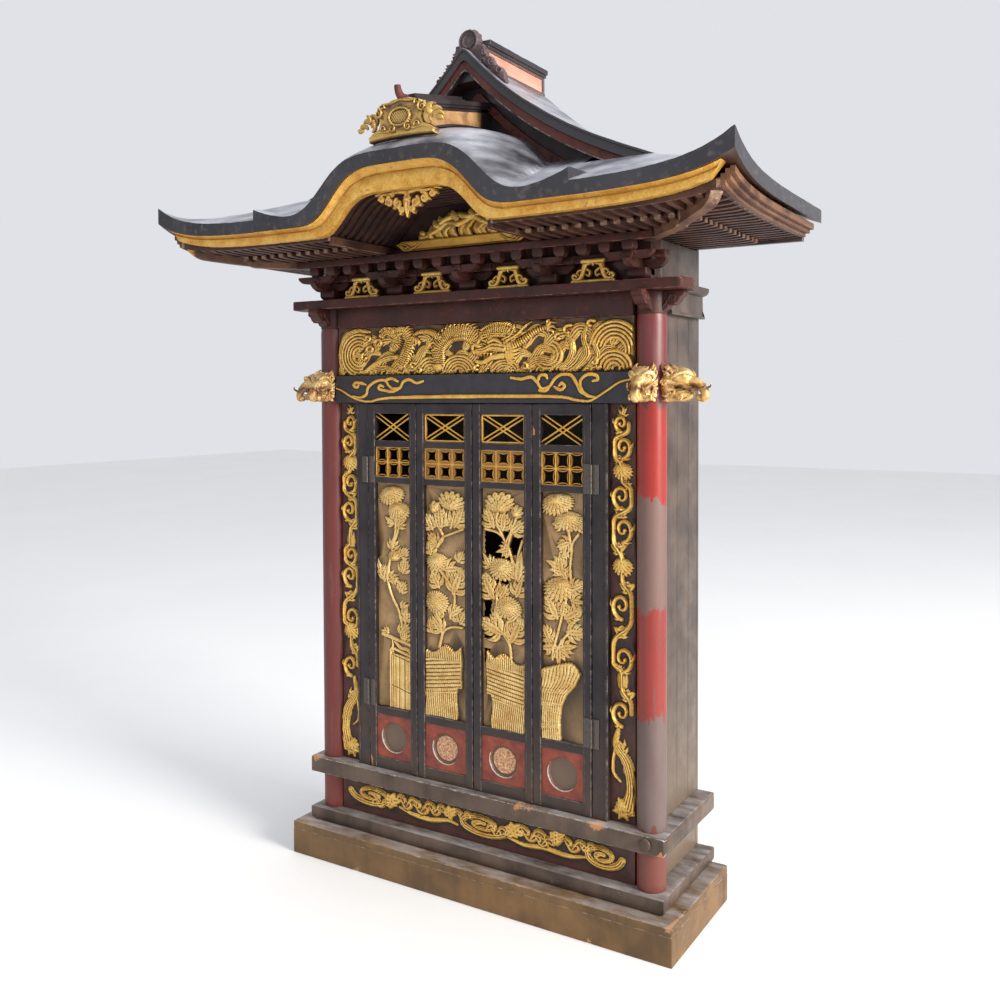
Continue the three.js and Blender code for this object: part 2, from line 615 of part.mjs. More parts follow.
/** The boarded underside of the eaves in two tiers, with the front vault and the side mouldings. */
function eaves() {
  const [edge, tier, wall] = [36, 139, 274];
  const reach = HALF_SPAN - edge;
  const rise = (x, y) => cornerLift(x, y) * 0.9;
  const under = (x, y) => {
    const depth = Math.min(...inset(x, y));
    return (depth < tier ? 1481 + (9 * (depth - edge)) / (tier - edge) : 1478) + rise(x, y);
  };
  const xs = bothSides([200, HALF_SPAN - wall, HALF_SPAN - tier - 1, HALF_SPAN - tier + 1, 630, reach]);
  const ys = [-241.7, -200, FRONT + tier - 1, FRONT + tier + 1, -60, 60, BACK - BACK_BOARD - GAP];
  const board = slab(xs, ys, (x, y) => 1506 + rise(x, y), under);
  const curve = steps(-210, 210, 12);
  const inner = curve.map((x) => [x, vaultLine(x)]);
  const hollow = frontPlate([[-196, 1400], [196, 1400], ...inner.slice(1, -1).reverse()], -250, -10);
  const outer = curve.map((x) => [x, vaultLine(x) + 14]);
  const shell = frontPlate([...inner, ...outer.reverse()], -241.7, -8);
  const mouldings = SIDES.map(([, side]) => onSide(side, slab([reach - 2, 700],
    [-241.7, -200, -140, -60, 60, BACK - BACK_BOARD - GAP],
    (x, y) => 1514 + cornerLift(x, y), (x, y) => 1493 + rise(x, y))));
  const hips = SIDES.map(([, side]) => onSide(side, cornerRafter()));
  return join(cut(board, hollow), shell, mouldings, hips);
}

/** The diagonal rafter under a front corner, on the right side. */
function cornerRafter() {
  const [from, to] = [[500, -68], [664, -232]];
  const length = Math.hypot(to[0] - from[0], to[1] - from[1]);
  const lift = Math.atan2(22, length);
  const bar = box(0, length, -13, 13, -30, 0).rotateY(-lift).rotateZ(-Math.PI / 4);
  return bar.translate(from[0], from[1], 1492);
}

/** The gilded board under the front eave, its ends cut back on a slant. */
function gildedBarge() {
  const top = steps(-686, 686, 42).map((x) => [x, lowerBottom(x, -262) - 6]);
  const foot = steps(-660, 660, 34).map((x) => [x, bargeFoot(x)]);
  return frontPlate([...foot, ...top.reverse()], -262, -242);
}

// ---------------------------------------------------------------- ridges and ornaments

function addOrnaments() {
  piece('ridge_main', join(
    box(-RIDGE.halfWidth, RIDGE.halfWidth, RIDGE.front + GAP, BACK, RIDGE.seat + GAP, 1932),
    box(-RIDGE.halfWidth - 5, RIDGE.halfWidth + 5, RIDGE.front + GAP, BACK, 1930, RIDGE.top),
  ), BROWN);
  piece('ridge_front', frontRidge(), BROWN);
  piece('ogre_tile_main', mainOgreTile(), BROWN);
  piece('ogre_tile_front', frontOgreTile(), GOLD);
  piece('gable_pendant', gablePendant(), GOLD);
  piece('vault_carving', vaultCarving(), GOLD);
}

/** The ridge over the waving gable: its foot follows the crown, its caps run straight. */
function frontRidge() {
  const ys = [-238, -200, -150, -90, -20, GABLE.wall - 2 * GAP];
  const cap = (y) => 1748 + 0.2 * (y + 238);
  const seat = (y) => Math.max(lowerTop(0, y), lowerTop(36, y)) + 4 * GAP;
  const body = slab([-30, 30], ys, (x, y) => cap(y) + 1, (x, y) => seat(y));
  const lower = slab([-38, 38], ys, (x, y) => cap(y) + 12, (x, y) => cap(y));
  const upper = slab([-26, 26], [-238, -60], (x, y) => cap(y) + 24, (x, y) => cap(y) + 11);
  return join(body, lower, upper);
}

/** The tile at the end of the main ridge: a ringed disc between two scrolled wings. */
function mainOgreTile() {
  const [y0, y1] = [GABLE.back + GAP, RIDGE.front];
  const slope = (x) => Math.min(slopeHeight(HALF_SPAN - x), RIDGE.seat) + 4;
  const wing = steps(0, 94, 7).map((x) => [x, slope(x)]);
  const head = [[94, 1862], [86, 1874], [70, 1878], [62, 1902], [48, 1908], [40, 1928]];
  const half = [...wing, ...head];
  const outline = [...half, ...half.slice(1).reverse().map(([x, z]) => [-x, z])];
  return join(
    frontPlate(outline, y0, y1),
    frontBoss(0, 1949, 29, y0, y1, 14, 0.95),
    [-1, 1].map((side) => ribbon(spiral(side * 66, 1889, 15, 5, 0.5, side, 6), 6, y0, y1)));
}

/** The gilded tile on the front ridge: a shouldered body, leafy wings and a small horn. */
function frontOgreTile() {
  const [y0, y1] = [-266, -240];
  const seat = (x) => Math.max(lowerTop(x, y0), lowerTop(x, y1)) + 4;
  const foot = steps(0, 108, 8).map((x) => [x, seat(x)]);
  const head = [[113, 1688], [102, 1697], [88, 1704], [76, 1722], [60, 1718], [52, 1736], [30, 1752],
    [0, 1757]];
  const half = [...foot, ...head];
  const outline = [...half, ...half.slice(1, -1).reverse().map(([x, z]) => [-x, z])];
  const horn = sidePlate([[-244, 1750], [-252, 1750], [-268, 1766], [-274, 1788], [-264, 1788], [-254, 1770],
    [-244, 1762]].reverse(), -9, 9);
  return join(
    frontPlate(outline, y0, y1),
    frontBoss(0, 1714, 26, y0 - 5, y1 - 4, 14, 0.8),
    horn);
}

/** The pierced pendant under the crown of the gilded board. */
function gablePendant() {
  const half = [[0, 1520], [14, 1534], [34, 1532], [46, 1546], [66, 1552], [84, 1566], [80, 1576],
    [40, 1579]];
  const outline = [...half, ...half.slice(1).reverse().map(([x, z]) => [-x, z])];
  return join(
    frontPlate(outline, -241.4, -234),
    frontBoss(0, 1556, 15, -241.4, -230, 10));
}

/** The gilded tie beam deep in the vault, with the carving that stands on it. */
function vaultCarving() {
  const beam = [[-150, 1482], [150, 1482], [168, 1490], [178, 1500], [164, 1508], [-164, 1508], [-178, 1500],
    [-168, 1490]];
  const crest = steps(0, Math.PI, 12).map((a, i) => [
    112 * Math.cos(a), 1507 + (58 + 6 * (i % 2)) * Math.sin(a)]);
  return join(
    frontPlate(beam, -44, -16),
    frontPlate(crest, -38, -22),
    [-62, 0, 62].map((x) => frontBoss(x, 1524, 20, -46, -30, 9)));
}

addBase();
addCabinet();
addDoors();
addBeams();
addBrackets();
addRoof();
addOrnaments();

export default shrine;
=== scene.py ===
"""Looks of a carved, lacquered and gilded portable shrine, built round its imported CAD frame.

Sizes are in millimetres until a shape is published, and the axes are those of the frame:
x to the right, y to the back, z up, with the front of the shrine facing -y.
"""

import json
import logging
import math
from dataclasses import dataclass, field
from enum import Enum
from typing import Callable, Iterable, Sequence

import bpy
import numpy as np
from mathutils import Matrix, Vector

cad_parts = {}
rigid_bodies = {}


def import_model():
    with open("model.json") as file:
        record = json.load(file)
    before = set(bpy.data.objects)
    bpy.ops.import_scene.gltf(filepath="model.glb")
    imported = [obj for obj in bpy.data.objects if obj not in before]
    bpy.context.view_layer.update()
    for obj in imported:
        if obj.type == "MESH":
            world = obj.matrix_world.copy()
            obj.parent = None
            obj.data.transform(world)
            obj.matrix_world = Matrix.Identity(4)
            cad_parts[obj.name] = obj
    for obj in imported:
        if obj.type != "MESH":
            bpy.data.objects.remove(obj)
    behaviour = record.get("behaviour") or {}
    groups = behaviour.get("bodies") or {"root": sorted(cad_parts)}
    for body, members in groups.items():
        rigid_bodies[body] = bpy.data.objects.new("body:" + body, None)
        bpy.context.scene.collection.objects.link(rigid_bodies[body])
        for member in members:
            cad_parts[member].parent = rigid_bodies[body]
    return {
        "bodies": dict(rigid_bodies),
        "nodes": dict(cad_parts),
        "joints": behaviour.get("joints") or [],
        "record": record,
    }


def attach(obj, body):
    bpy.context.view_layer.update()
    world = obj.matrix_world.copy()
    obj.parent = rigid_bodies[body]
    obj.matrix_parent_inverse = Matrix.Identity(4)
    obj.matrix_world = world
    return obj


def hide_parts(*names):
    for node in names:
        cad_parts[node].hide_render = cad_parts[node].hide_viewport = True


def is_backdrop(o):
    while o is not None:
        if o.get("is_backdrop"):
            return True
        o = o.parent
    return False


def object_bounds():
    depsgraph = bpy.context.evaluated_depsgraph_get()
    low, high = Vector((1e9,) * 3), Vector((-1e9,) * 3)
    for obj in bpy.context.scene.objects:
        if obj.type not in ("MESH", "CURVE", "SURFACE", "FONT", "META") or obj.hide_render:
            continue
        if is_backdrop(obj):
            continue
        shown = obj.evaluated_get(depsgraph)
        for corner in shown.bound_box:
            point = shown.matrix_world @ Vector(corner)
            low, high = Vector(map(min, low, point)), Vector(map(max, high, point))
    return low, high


LOG = logging.getLogger("shrine")
METRES = 0.001
Points = Sequence[Sequence[float]]
Height = Callable[[np.ndarray, np.ndarray], np.ndarray]


class Side(Enum):
    """The two mirrored sides of the shrine."""

    LEFT = -1
    RIGHT = 1

    @property
    def word(self) -> str:
        """The side's word in the frame's names."""
        return self.name.lower()


class Leaf(Enum):
    """The two leaves on each side of the folding doors."""

    OUTER = "outer"
    MIDDLE = "middle"


# ---------------------------------------------------------------- shapes


@dataclass
class Shape:
    """A closed mesh as arrays: points, four-sided and three-sided faces, and values per point."""

    points: np.ndarray
    quads: np.ndarray = field(default_factory=lambda: np.zeros((0, 4), int))
    triangles: np.ndarray = field(default_factory=lambda: np.zeros((0, 3), int))
    values: dict[str, np.ndarray] = field(default_factory=dict)

    @staticmethod
    def joined(shapes: Iterable["Shape"]) -> "Shape":
        """All shapes as one, with a value of 0 where a shape has none of that name."""
        shapes = list(shapes)
        starts = np.cumsum([0] + [len(s.points) for s in shapes[:-1]])
        names = sorted({name for s in shapes for name in s.values})
        return Shape(
            np.concatenate([s.points for s in shapes]),
            np.concatenate([s.quads + a for s, a in zip(shapes, starts)]),
            np.concatenate([s.triangles + a for s, a in zip(shapes, starts)]),
            {n: np.concatenate([s.values.get(n, np.zeros(len(s.points))) for s in shapes]) for n in names},
        )

    def with_value(self, name: str, value: float | np.ndarray) -> "Shape":
        """The same shape with one more value at every point."""
        filled = np.broadcast_to(np.asarray(value, float), (len(self.points),))
        return Shape(self.points, self.quads, self.triangles, {**self.values, name: filled})

    def moved(self, x: float = 0, y: float = 0, z: float = 0) -> "Shape":
        """The shape shifted."""
        return Shape(self.points + (x, y, z), self.quads, self.triangles, self.values)

    def turned(self, angle: float, axis: str, about: Sequence[float] = (0, 0, 0)) -> "Shape":
        """The shape turned by an angle in degrees round an axis through a point."""
        matrix = np.array(Matrix.Rotation(math.radians(angle), 3, axis))
        return Shape((self.points - about) @ matrix.T + about, self.quads, self.triangles, self.values)

    def scaled(self, x: float, y: float, z: float) -> "Shape":
        """The shape stretched, with its faces kept pointing out."""
        flip = slice(None, None, -1 if x * y * z < 0 else 1)
        return Shape(self.points * (x, y, z), self.quads[:, flip], self.triangles[:, flip], self.values)

    def on(self, side: Side) -> "Shape":
        """The shape itself on the right, and its mirror image on the left."""
        return self if side is Side.RIGHT else self.scaled(-1, 1, 1)

    def outward(self) -> "Shape":
        """The closed shape with its faces pointing out: the signed volume of its faces' fans is positive."""
        fans = np.vstack([self.triangles, self.quads[:, :3], self.quads[:, [0, 2, 3]]])
        a, b, c = (self.points[fans[:, k]] - self.points.mean(0) for k in range(3))
        if (a * np.cross(b, c)).sum() >= 0:
            return self
        return Shape(self.points, self.quads[:, ::-1], self.triangles[:, ::-1], self.values)

    def bent(self, rule: Callable[[np.ndarray], np.ndarray]) -> "Shape":
        """The shape with every point moved by a rule."""
        return Shape(rule(self.points.copy()), self.quads, self.triangles, self.values)


def patch(grid: np.ndarray, close_u: bool = False, close_v: bool = False) -> Shape:
    """A surface over a grid of points, numbered row by row.

    Args:
        grid: Points as (rows, columns, 3). Faces point along du x dv.
        close_u: Whether the last row meets the first.
        close_v: Whether the last column meets the first.

    Returns:
        The surface as a shape.
    """
    rows, columns = grid.shape[:2]
    index = np.arange(rows * columns).reshape(rows, columns)
    down = np.vstack([index, index[:1]]) if close_u else index
    full = np.hstack([down, down[:, :1]]) if close_v else down
    quads = np.stack([full[:-1, :-1], full[1:, :-1], full[1:, 1:], full[:-1, 1:]], -1).reshape(-1, 4)
    return Shape(grid.reshape(-1, 3), quads)


def capped(tube: Shape, rows: int, columns: int) -> Shape:
    """Closes both ends of a tube whose rows are rings, with a fan round each end's middle."""
    first, last = tube.points[:columns], tube.points[(rows - 1) * columns : rows * columns]
    count = len(tube.points)
    ring = np.arange(columns)
    after = np.roll(ring, -1)
    fans = np.concatenate([
        np.stack([ring, after, np.full(columns, count)], -1),
        np.stack([after, ring, np.full(columns, count + 1)], -1) + [[(rows - 1) * columns] * 2 + [0]],
    ])
    points = np.vstack([tube.points, first.mean(0), last.mean(0)])
    ends = [0, (rows - 1) * columns]
    values = {n: np.append(v, v[ends]) for n, v in tube.values.items()}
    return Shape(points, tube.quads, np.vstack([tube.triangles, fans]), values).outward()


def smooth(points: Points, count: int) -> np.ndarray:
    """A curve through points: between two of them, the cubic that leaves along each one's neighbours.

    Args:
        points: Two or three numbers each.
        count: How many points the curve has, evenly shared between the pieces.

    Returns:
        The curve's points.
    """
    p = np.asarray(points, float)
    padded = np.vstack([2 * p[0] - p[1], p, 2 * p[-1] - p[-2]])
    at = np.linspace(0, len(p) - 1, count)
    i = np.minimum(at.astype(int), len(p) - 2)
    t = (at - i)[:, None]
    a, b, c, d = (padded[i + k] for k in range(4))
    return 0.5 * (2 * b + (c - a) * t + (2 * a - 5 * b + 4 * c - d) * t**2 + (3 * b - a - 3 * c + d) * t**3)


def even(values: Sequence[float], count: int) -> np.ndarray:
    """Values spread over a number of stations, in straight steps."""
    return np.interp(np.linspace(0, 1, count), np.linspace(0, 1, len(values)), values)


def spiral(x: float, z: float, start: float, end: float, angle: float, turns: float,
           squash: float = 1.0) -> np.ndarray:
    """A spiral round [x, z]: its radius goes from start to end while it makes its turns.

    Args:
        x, z: The middle.
        start, end: Radii.
        angle: Where it starts, in degrees from +x.
        turns: Whole turns, negative for clockwise.
        squash: Height over width.

    Returns:
        Points of x and z.
    """
    t = np.linspace(0, 1, max(8, int(abs(turns) * 26)))
    radius = start + (end - start) * t**0.8
    a = math.radians(angle) + 2 * math.pi * turns * t
    return np.stack([x + radius * np.cos(a), z + squash * radius * np.sin(a)], -1)


def sweep(path: np.ndarray, radius: Sequence[float], sides: int = 10, flat: float = 1.0,
          lobes: tuple[int, float] = (0, 0.0)) -> Shape:
    """A round bar along a path: rings square to the path, whose radius changes along it.

    Args:
        path: Points as (n, 3).
        radius: Radii, spread evenly along the path.
        sides: Points round a ring.
        flat: The ring's thickness over its width.
        lobes: How many grooves run along it, and their depth as a share of the radius.

    Returns:
        The closed bar.
    """
    along = np.gradient(path, axis=0)
    along /= np.linalg.norm(along, axis=1, keepdims=True) + 1e-9
    guide = np.array([0.0, 1.0, 0.0])
    if np.abs(along @ guide).mean() > 0.8:
        guide = np.array([1.0, 0.0, 0.0])
    across = np.cross(along, guide)
    across /= np.linalg.norm(across, axis=1, keepdims=True) + 1e-9
    out = np.cross(across, along)
    r = even(radius, len(path))[:, None, None]
    a = np.linspace(0, 2 * math.pi, sides, endpoint=False)
    ring = 1 + lobes[1] * np.cos(lobes[0] * a)
    wide = across[:, None] * (np.cos(a) * ring)[None, :, None]
    thick = out[:, None] * (np.sin(a) * ring * flat)[None, :, None]
    return capped(patch(path[:, None] + r * (wide + thick), close_v=True), len(path), sides)


def ball(centre: Sequence[float], radii: Sequence[float], rows: int = 12, columns: int = 16) -> Shape:
    """A stretched ball: latitude and longitude rings scaled along x, y and z."""
    u = np.linspace(-math.pi / 2, math.pi / 2, rows)[:, None]
    v = np.linspace(0, 2 * math.pi, columns, endpoint=False)[None]
    c = np.maximum(np.cos(u), 1e-3)
    grid = np.stack([c * np.cos(v), c * np.sin(v), np.sin(u) + 0 * v], -1) * radii + centre
    return capped(patch(grid, close_v=True), rows, columns)


def turned_post(x: float, y: float, profile: Points, sides: int = 40) -> Shape:
    """A turned bar: a profile of [radius, z] from the foot up, carried round an upright axis."""
    r, z = np.asarray(profile, float).T
    a = np.linspace(0, 2 * math.pi, sides, endpoint=False)
    grid = np.stack([x + r[:, None] * np.cos(a), y + r[:, None] * np.sin(a), z[:, None] + 0 * a], -1)
    return capped(patch(grid, close_v=True), len(r), sides)


def ripple(position: np.ndarray, length: float, seed: float) -> np.ndarray:
    """A gentle random-looking wave along a line, from -1 to 1: three sines of unlike lengths."""
    p = position / length
    return (np.sin(p * 6.3 + seed) + np.sin(p * 14.7 + 2.3 * seed) + np.sin(p * 31.1 + 4.1 * seed)) / 3


@dataclass(frozen=True)
class Chip:
    """A bite out of a board's edge: its place along the board, reach, depth, and the corner, 0 to 3."""

    at: float
    reach: float
    depth: float
    corner: int


def board(x0: float, x1: float, y0: float, y1: float, z0: float, z1: float, radius: float = 1.6,
          wear: float = 0.35, chips: Sequence[Chip] = (), pitch: float = 18.0) -> Shape:
    """A worn board along its longest side: a rectangle with rounded corners carried from end to end.

    The corner radius wanders by a ripple along the board, and grows at each chip by a bell curve.
    Corner points carry "wear" 1, and points in a chip carry "bare" 1.

    Args:
        x0, x1, y0, y1, z0, z1: The board's box.
        radius: Corner radius.
        wear: How much the radius wanders, as a share of it.
        chips: Bites out of the four long edges. Corner 0 is low on both short axes, then round.
        pitch: Longest step along the board.

    Returns:
        The closed board.
    """
    low, high = np.array([x0, y0, z0], float), np.array([x1, y1, z1], float)
    size = high - low
    long = int(np.argmax(size))
    b, c = [(1, 2), (2, 0), (0, 1)][long]
    radius = min(radius, size[b] * 0.3, size[c] * 0.3)
    ends = np.array([0, 0.35, 1.0]) * radius
    inner = np.linspace(radius * 2, size[long] - radius * 2, max(2, int(size[long] / pitch)))
    station = np.concatenate([ends, inner, size[long] - ends[::-1]])
    pull = np.interp(np.minimum(station, size[long] - station), [0, 0.35 * radius, radius],
                     [1, 0.4, 0]) * radius
    corner_at = [(0, 0), (1, 0), (1, 1), (0, 1)]
    rings, worn, bare = [], [], []
    for k, (ub, uc) in enumerate(corner_at):
        own = radius * (1 + wear * ripple(station + low[long], 90, 1.7 * k + 0.01 * (low.sum() + size[b])))
        for chip in (q for q in chips if q.corner == k):
            own = own + chip.depth * np.exp(-(((station + low[long] - chip.at) / chip.reach) ** 4))
        own = np.clip(own, 0.15 * radius, None)
        for angle in np.radians([180, 202, 225, 248, 270]) + k * math.pi / 2:
            pb = [low[b] + own, high[b] - own][ub] + own * math.cos(angle)
            pc = [low[c] + own, high[c] - own][uc] + own * math.sin(angle)
            rings.append((pb, pc))
            worn.append(np.full(len(station),
                                0.5 if abs(math.sin(2 * (angle - k * math.pi / 2))) < 0.5 else 1))
            inward = np.minimum(station, size[long] - station) / 3
            bare.append(np.clip(own / radius - 1.6, 0, 1) * np.clip(inward - 0.3, 0, 1))
    mid_b, mid_c = (low[b] + high[b]) / 2, (low[c] + high[c]) / 2
    pb = np.stack([r[0] for r in rings], 1)
    pc = np.stack([r[1] for r in rings], 1)
    pb = pb - np.sign(pb - mid_b) * np.minimum(pull[:, None], np.abs(pb - mid_b))
    pc = pc - np.sign(pc - mid_c) * np.minimum(pull[:, None], np.abs(pc - mid_c))
    between_b = (pb + np.roll(pb, -1, 1))[:, 4::5] / 2
    between_c = (pc + np.roll(pc, -1, 1))[:, 4::5] / 2
    order = np.array([0, 1, 2, 3, 4, 20, 5, 6, 7, 8, 9, 21, 10, 11, 12, 13, 14, 22, 15, 16, 17, 18, 19, 23])
    pb = np.hstack([pb, between_b])[:, order]
    pc = np.hstack([pc, between_c])[:, order]
    grid = np.zeros((len(station), len(order), 3))
    grid[..., long] = (low[long] + station)[:, None]
    grid[..., b], grid[..., c] = pb, pc
    flat = np.zeros((len(station), 4))
    shape = patch(grid, close_v=True)
    shape.values = {
        "wear": np.hstack([np.stack(worn, 1), flat])[:, order].ravel(),
        "bare": np.hstack([np.stack(bare, 1), flat])[:, order].ravel(),
    }
    return capped(shape, len(station), len(order))


def sheet_between(xs: np.ndarray, ys: np.ndarray, top: Height, bottom: Height,
                  inside: Callable[[np.ndarray, np.ndarray], np.ndarray] | None = None) -> Shape:
    """A closed slab between two heights over a grid of x and y, over the cells that `inside` accepts.

    Returns:
        The slab, with "top" 1 on its upper points.
    """
    x, y = np.meshgrid(xs, ys, indexing="ij")
    flat_x, flat_y = x.ravel(), y.ravel()
    cells = patch(np.stack([x, y, 0 * x], -1)).quads
    if inside is not None:
        middle = np.stack([flat_x[cells].mean(1), flat_y[cells].mean(1)])
        cells = cells[inside(*middle)]
    return closed_pair(
        np.stack([flat_x, flat_y, top(flat_x, flat_y)], -1),
        np.stack([flat_x, flat_y, bottom(flat_x, flat_y)], -1), cells, "top")


def closed_pair(front: np.ndarray, back: np.ndarray, faces: np.ndarray, name: str) -> Shape:
    """Two sheets with the same faces, joined round every border into one closed shape.

    Args:
        front: Points of the sheet whose faces keep their direction.
        back: The other sheet's points, one for each of front's.
        faces: Three or four indexes each.
        name: The value that is 1 on the front's points and 0 on the back's.

    Returns:
        The closed shape, without the points that no face uses.
    """
    sides = faces.shape[1]
    edges = np.concatenate([faces[:, [k, (k + 1) % sides]] for k in range(sides)])
    count = len(front)
    forward = edges[:, 0] * count + edges[:, 1]
    backward = edges[:, 1] * count + edges[:, 0]
    rim = edges[~np.isin(forward, backward)]
    walls = np.stack([rim[:, 1], rim[:, 0], rim[:, 0] + count, rim[:, 1] + count], -1)
    points = np.vstack([front, back])
    sheets = np.vstack([faces, faces[:, ::-1] + count])
    used = np.zeros(2 * count, bool)
    used[sheets] = True
    place = np.cumsum(used) - 1
    quads = place[walls] if sides == 3 else np.vstack([place[sheets], place[walls]])
    triangles = place[sheets] if sides == 3 else np.zeros((0, 3), int)
    value = np.repeat([1.0, 0.0], count)[used]
    return Shape(points[used], quads, triangles, {name: value}).outward()


# ---------------------------------------------------------------- carving


class Carving:
    """A carved front as heights over an even grid of x and z; each stroke leaves the higher wood.

    Attributes:
        x, z: The grid's lines.
        height: How far the wood stands out of the ground.
    """

    def __init__(self, x0: float, x1: float, z0: float, z1: float, pitch: float = 1.3) -> None:
        """Sets an empty grid over a rectangle."""
        self.x = np.linspace(x0, x1, int((x1 - x0) / pitch) + 1)
        self.z = np.linspace(z0, z1, int((z1 - z0) / pitch) + 1)
        self.height = np.zeros((len(self.x), len(self.z)))

    def window(self, x0: float, x1: float, z0: float, z1: float) -> tuple[slice, slice]:
        """The part of the grid inside a rectangle."""
        i, k = np.searchsorted(self.x, [x0, x1]), np.searchsorted(self.z, [z0, z1])
        return slice(*i), slice(*k)

    def at(self, part: tuple[slice, slice]) -> tuple[np.ndarray, np.ndarray]:
        """The x and z of the grid points in a window, as a column and a row."""
        return self.x[part[0]][:, None], self.z[part[1]][None]

    def leave(self, part: tuple[slice, slice], height: np.ndarray) -> None:
        """Keeps the higher of what is there and a new height."""
        self.height[part] = np.maximum(self.height[part], height)

    def stroke(self, path: Points, width: Sequence[float], height: Sequence[float], grooves: float = 0,
               cut: float = 0.25, ribs: float = 0, scales: float = 0, flat: float = 0.5) -> "Carving":
        """A ridge along a path: height x (1 - (off / half width)^2)^flat, cut by cosine grooves along it.

        Args:
            path: Points of x and z.
            width: Half widths, spread along the path.
            height: Heights, spread along the path.
            grooves: How many grooves run along it.
            cut: Depth of the grooves, ribs or scales, as a share of the height.
            ribs: Distance between ribs across it.
            scales: Size of overlapping scales on it.
            flat: Below 0.5 for a flatter top.
        """
        path = np.asarray(path, float)
        steps = np.diff(path, axis=0)
        lengths = np.hypot(*steps.T)
        starts = np.concatenate([[0], np.cumsum(lengths)])
        reach = max(width) + 1
        low, high = path.min(0) - reach, path.max(0) + reach
        part = self.window(low[0], high[0], low[1], high[1])
        x, z = self.at(part)
        if x.size == 0 or z.size == 0:
            return self
        off = np.full((x.size, z.size), 1e6)
        along, side = np.zeros_like(off), np.zeros_like(off)
        for start, (px, pz), (dx, dz), length in zip(starts, path, steps, lengths):
            if length < 1e-6:
                continue
            share = np.clip(((x - px) * dx + (z - pz) * dz) / length**2, 0, 1)
            rx, rz = x - px - share * dx, z - pz - share * dz
            gap = np.hypot(rx, rz)
            near = gap < off
            off[near] = gap[near]
            along[near] = (start + share * length)[near]
            side[near] = np.sign(dx * rz - dz * rx)[near]
        share = along / starts[-1]
        half = np.interp(share, np.linspace(0, 1, len(width)), width)
        tall = np.interp(share, np.linspace(0, 1, len(height)), height)
        across = np.clip(off / np.maximum(half, 1e-3), 0, 1)
        section = (1 - across**2) ** flat
        if grooves:
            section *= 1 - cut * (0.5 + 0.5 * np.cos(math.pi * (grooves * across * side + grooves + 1)))
        if ribs:
            section *= 1 - cut * np.abs(np.cos(math.pi * (along / ribs + 0.35 * across**2))) ** 3
        if scales:
            row = along / scales
            shift = (np.floor(row) % 2) * 0.5
            cell = (across * side * half / scales + shift) % 1 - 0.5
            section *= 1 - cut * np.clip((row % 1) + 1.6 * cell**2, 0, 1) ** 1.5
        self.leave(part, tall * section * (off < half))
        return self

    def bloom(self, x: float, z: float, radius: float, height: float, petals: int = 22, squash: float = 1,
              turn: float = 0, pole: tuple[float, float] = (0, 0), rings: int = 4) -> "Carving":
        """A chrysanthemum: rings of ribbed petals round a pole, on a dome.

        A place's share is its distance from the pole over the distance from the pole to the rim that way.
        Each ring stands over the one outside it, and each petal is rounded across and at its tip.

        Args:
            x, z: The middle.
            radius: Half its width.
            height: Height of the dome.
            petals: Petals in the outer ring.
            squash: Height over width.
            turn: Degrees.
            pole: Where the petals meet, as shares of the radius.
            rings: Rings of petals.
        """
        part = self.window(x - radius * 1.2, x + radius * 1.2, z - radius * 1.2, z + radius * 1.2)
        gx, gz = self.at(part)
        c, s = math.cos(math.radians(turn)), math.sin(math.radians(turn))
        u = ((gx - x) * c + (gz - z) * s) / radius - pole[0]
        v = (-(gx - x) * s + (gz - z) * c) / (radius * squash) - pole[1]
        angle, reach = np.arctan2(v, u), np.hypot(u, v) + 1e-6
        lean = -(pole[0] * np.cos(angle) + pole[1] * np.sin(angle))
        rim = lean + np.sqrt(np.maximum(lean**2 + 1 - pole[0] ** 2 - pole[1] ** 2, 1e-4))
        share = reach / rim
        total = np.zeros_like(share)
        for ring in range(rings):
            edge = 1 - 0.23 * ring
            count = max(7, int(petals * (1 - 0.16 * ring)))
            turned = angle * count / (2 * math.pi) + 0.37 * ring
            number = np.floor(turned)
            across = 2 * (turned - number) - 1
            tip = edge * (1 - 0.2 * across**2 - 0.09 * (np.sin(number * 12.99 + 3 * ring) * 0.5 + 0.5))
            inside = share < tip
            roll = np.sqrt(np.clip(1 - across**2, 0, 1))
            dip = 1 - 0.35 * np.exp(-((across / 0.3) ** 2))
            level = 0.5 + 0.16 * ring - 0.2 * (share / edge) ** 2
            total = np.maximum(total, inside * (level + 0.22 * roll * dip))
        dome = np.clip(1.05 - 0.45 * ((gx - x) ** 2 + ((gz - z) / squash) ** 2) / radius**2, 0, 1)
        self.leave(part, height * total * dome)
        return self

    def leaf(self, x: float, z: float, angle: float, length: float, height: float, spread: float = 1,
             lobes: int = 2) -> "Carving":
        """A lobed leaf: a midrib and pairs of side lobes, each a spindle with a sunken vein.

        Args:
            x, z: Its foot.
            angle: Where it points, in degrees from +x.
            length: From foot to tip.
            height: Height of its middle.
            spread: Width of the lobes over their usual width.
            lobes: Pairs of side lobes.
        """
        a = math.radians(angle)
        way = np.array([math.cos(a), math.sin(a)])
        foot = np.array([x, z])
        spindle = np.array([0.35, 0.95, 1.0, 0.6, 0.08]) * length * 0.17 * spread
        self.stroke([foot, foot + way * length], spindle, [height * 0.8, height, height * 0.6], 1, 0.45)
        for pair in range(lobes):
            start = foot + way * length * (0.06 + 0.25 * pair)
            reach = length * (0.66 - 0.15 * pair)
            for hand in (-1, 1):
                b = a + hand * math.radians(66 - 10 * pair)
                mid = start + 0.55 * reach * np.array([math.cos(b), math.sin(b)])
                tip = mid + 0.5 * reach * np.array([math.cos(b - hand * 0.55), math.sin(b - hand * 0.55)])
                tall = height * (0.92 if hand > 0 else 0.72)
                self.stroke(smooth([start, mid, tip], 7), spindle * 0.72, [tall * 0.8, tall, tall * 0.5], 1,
                            0.45)
        return self

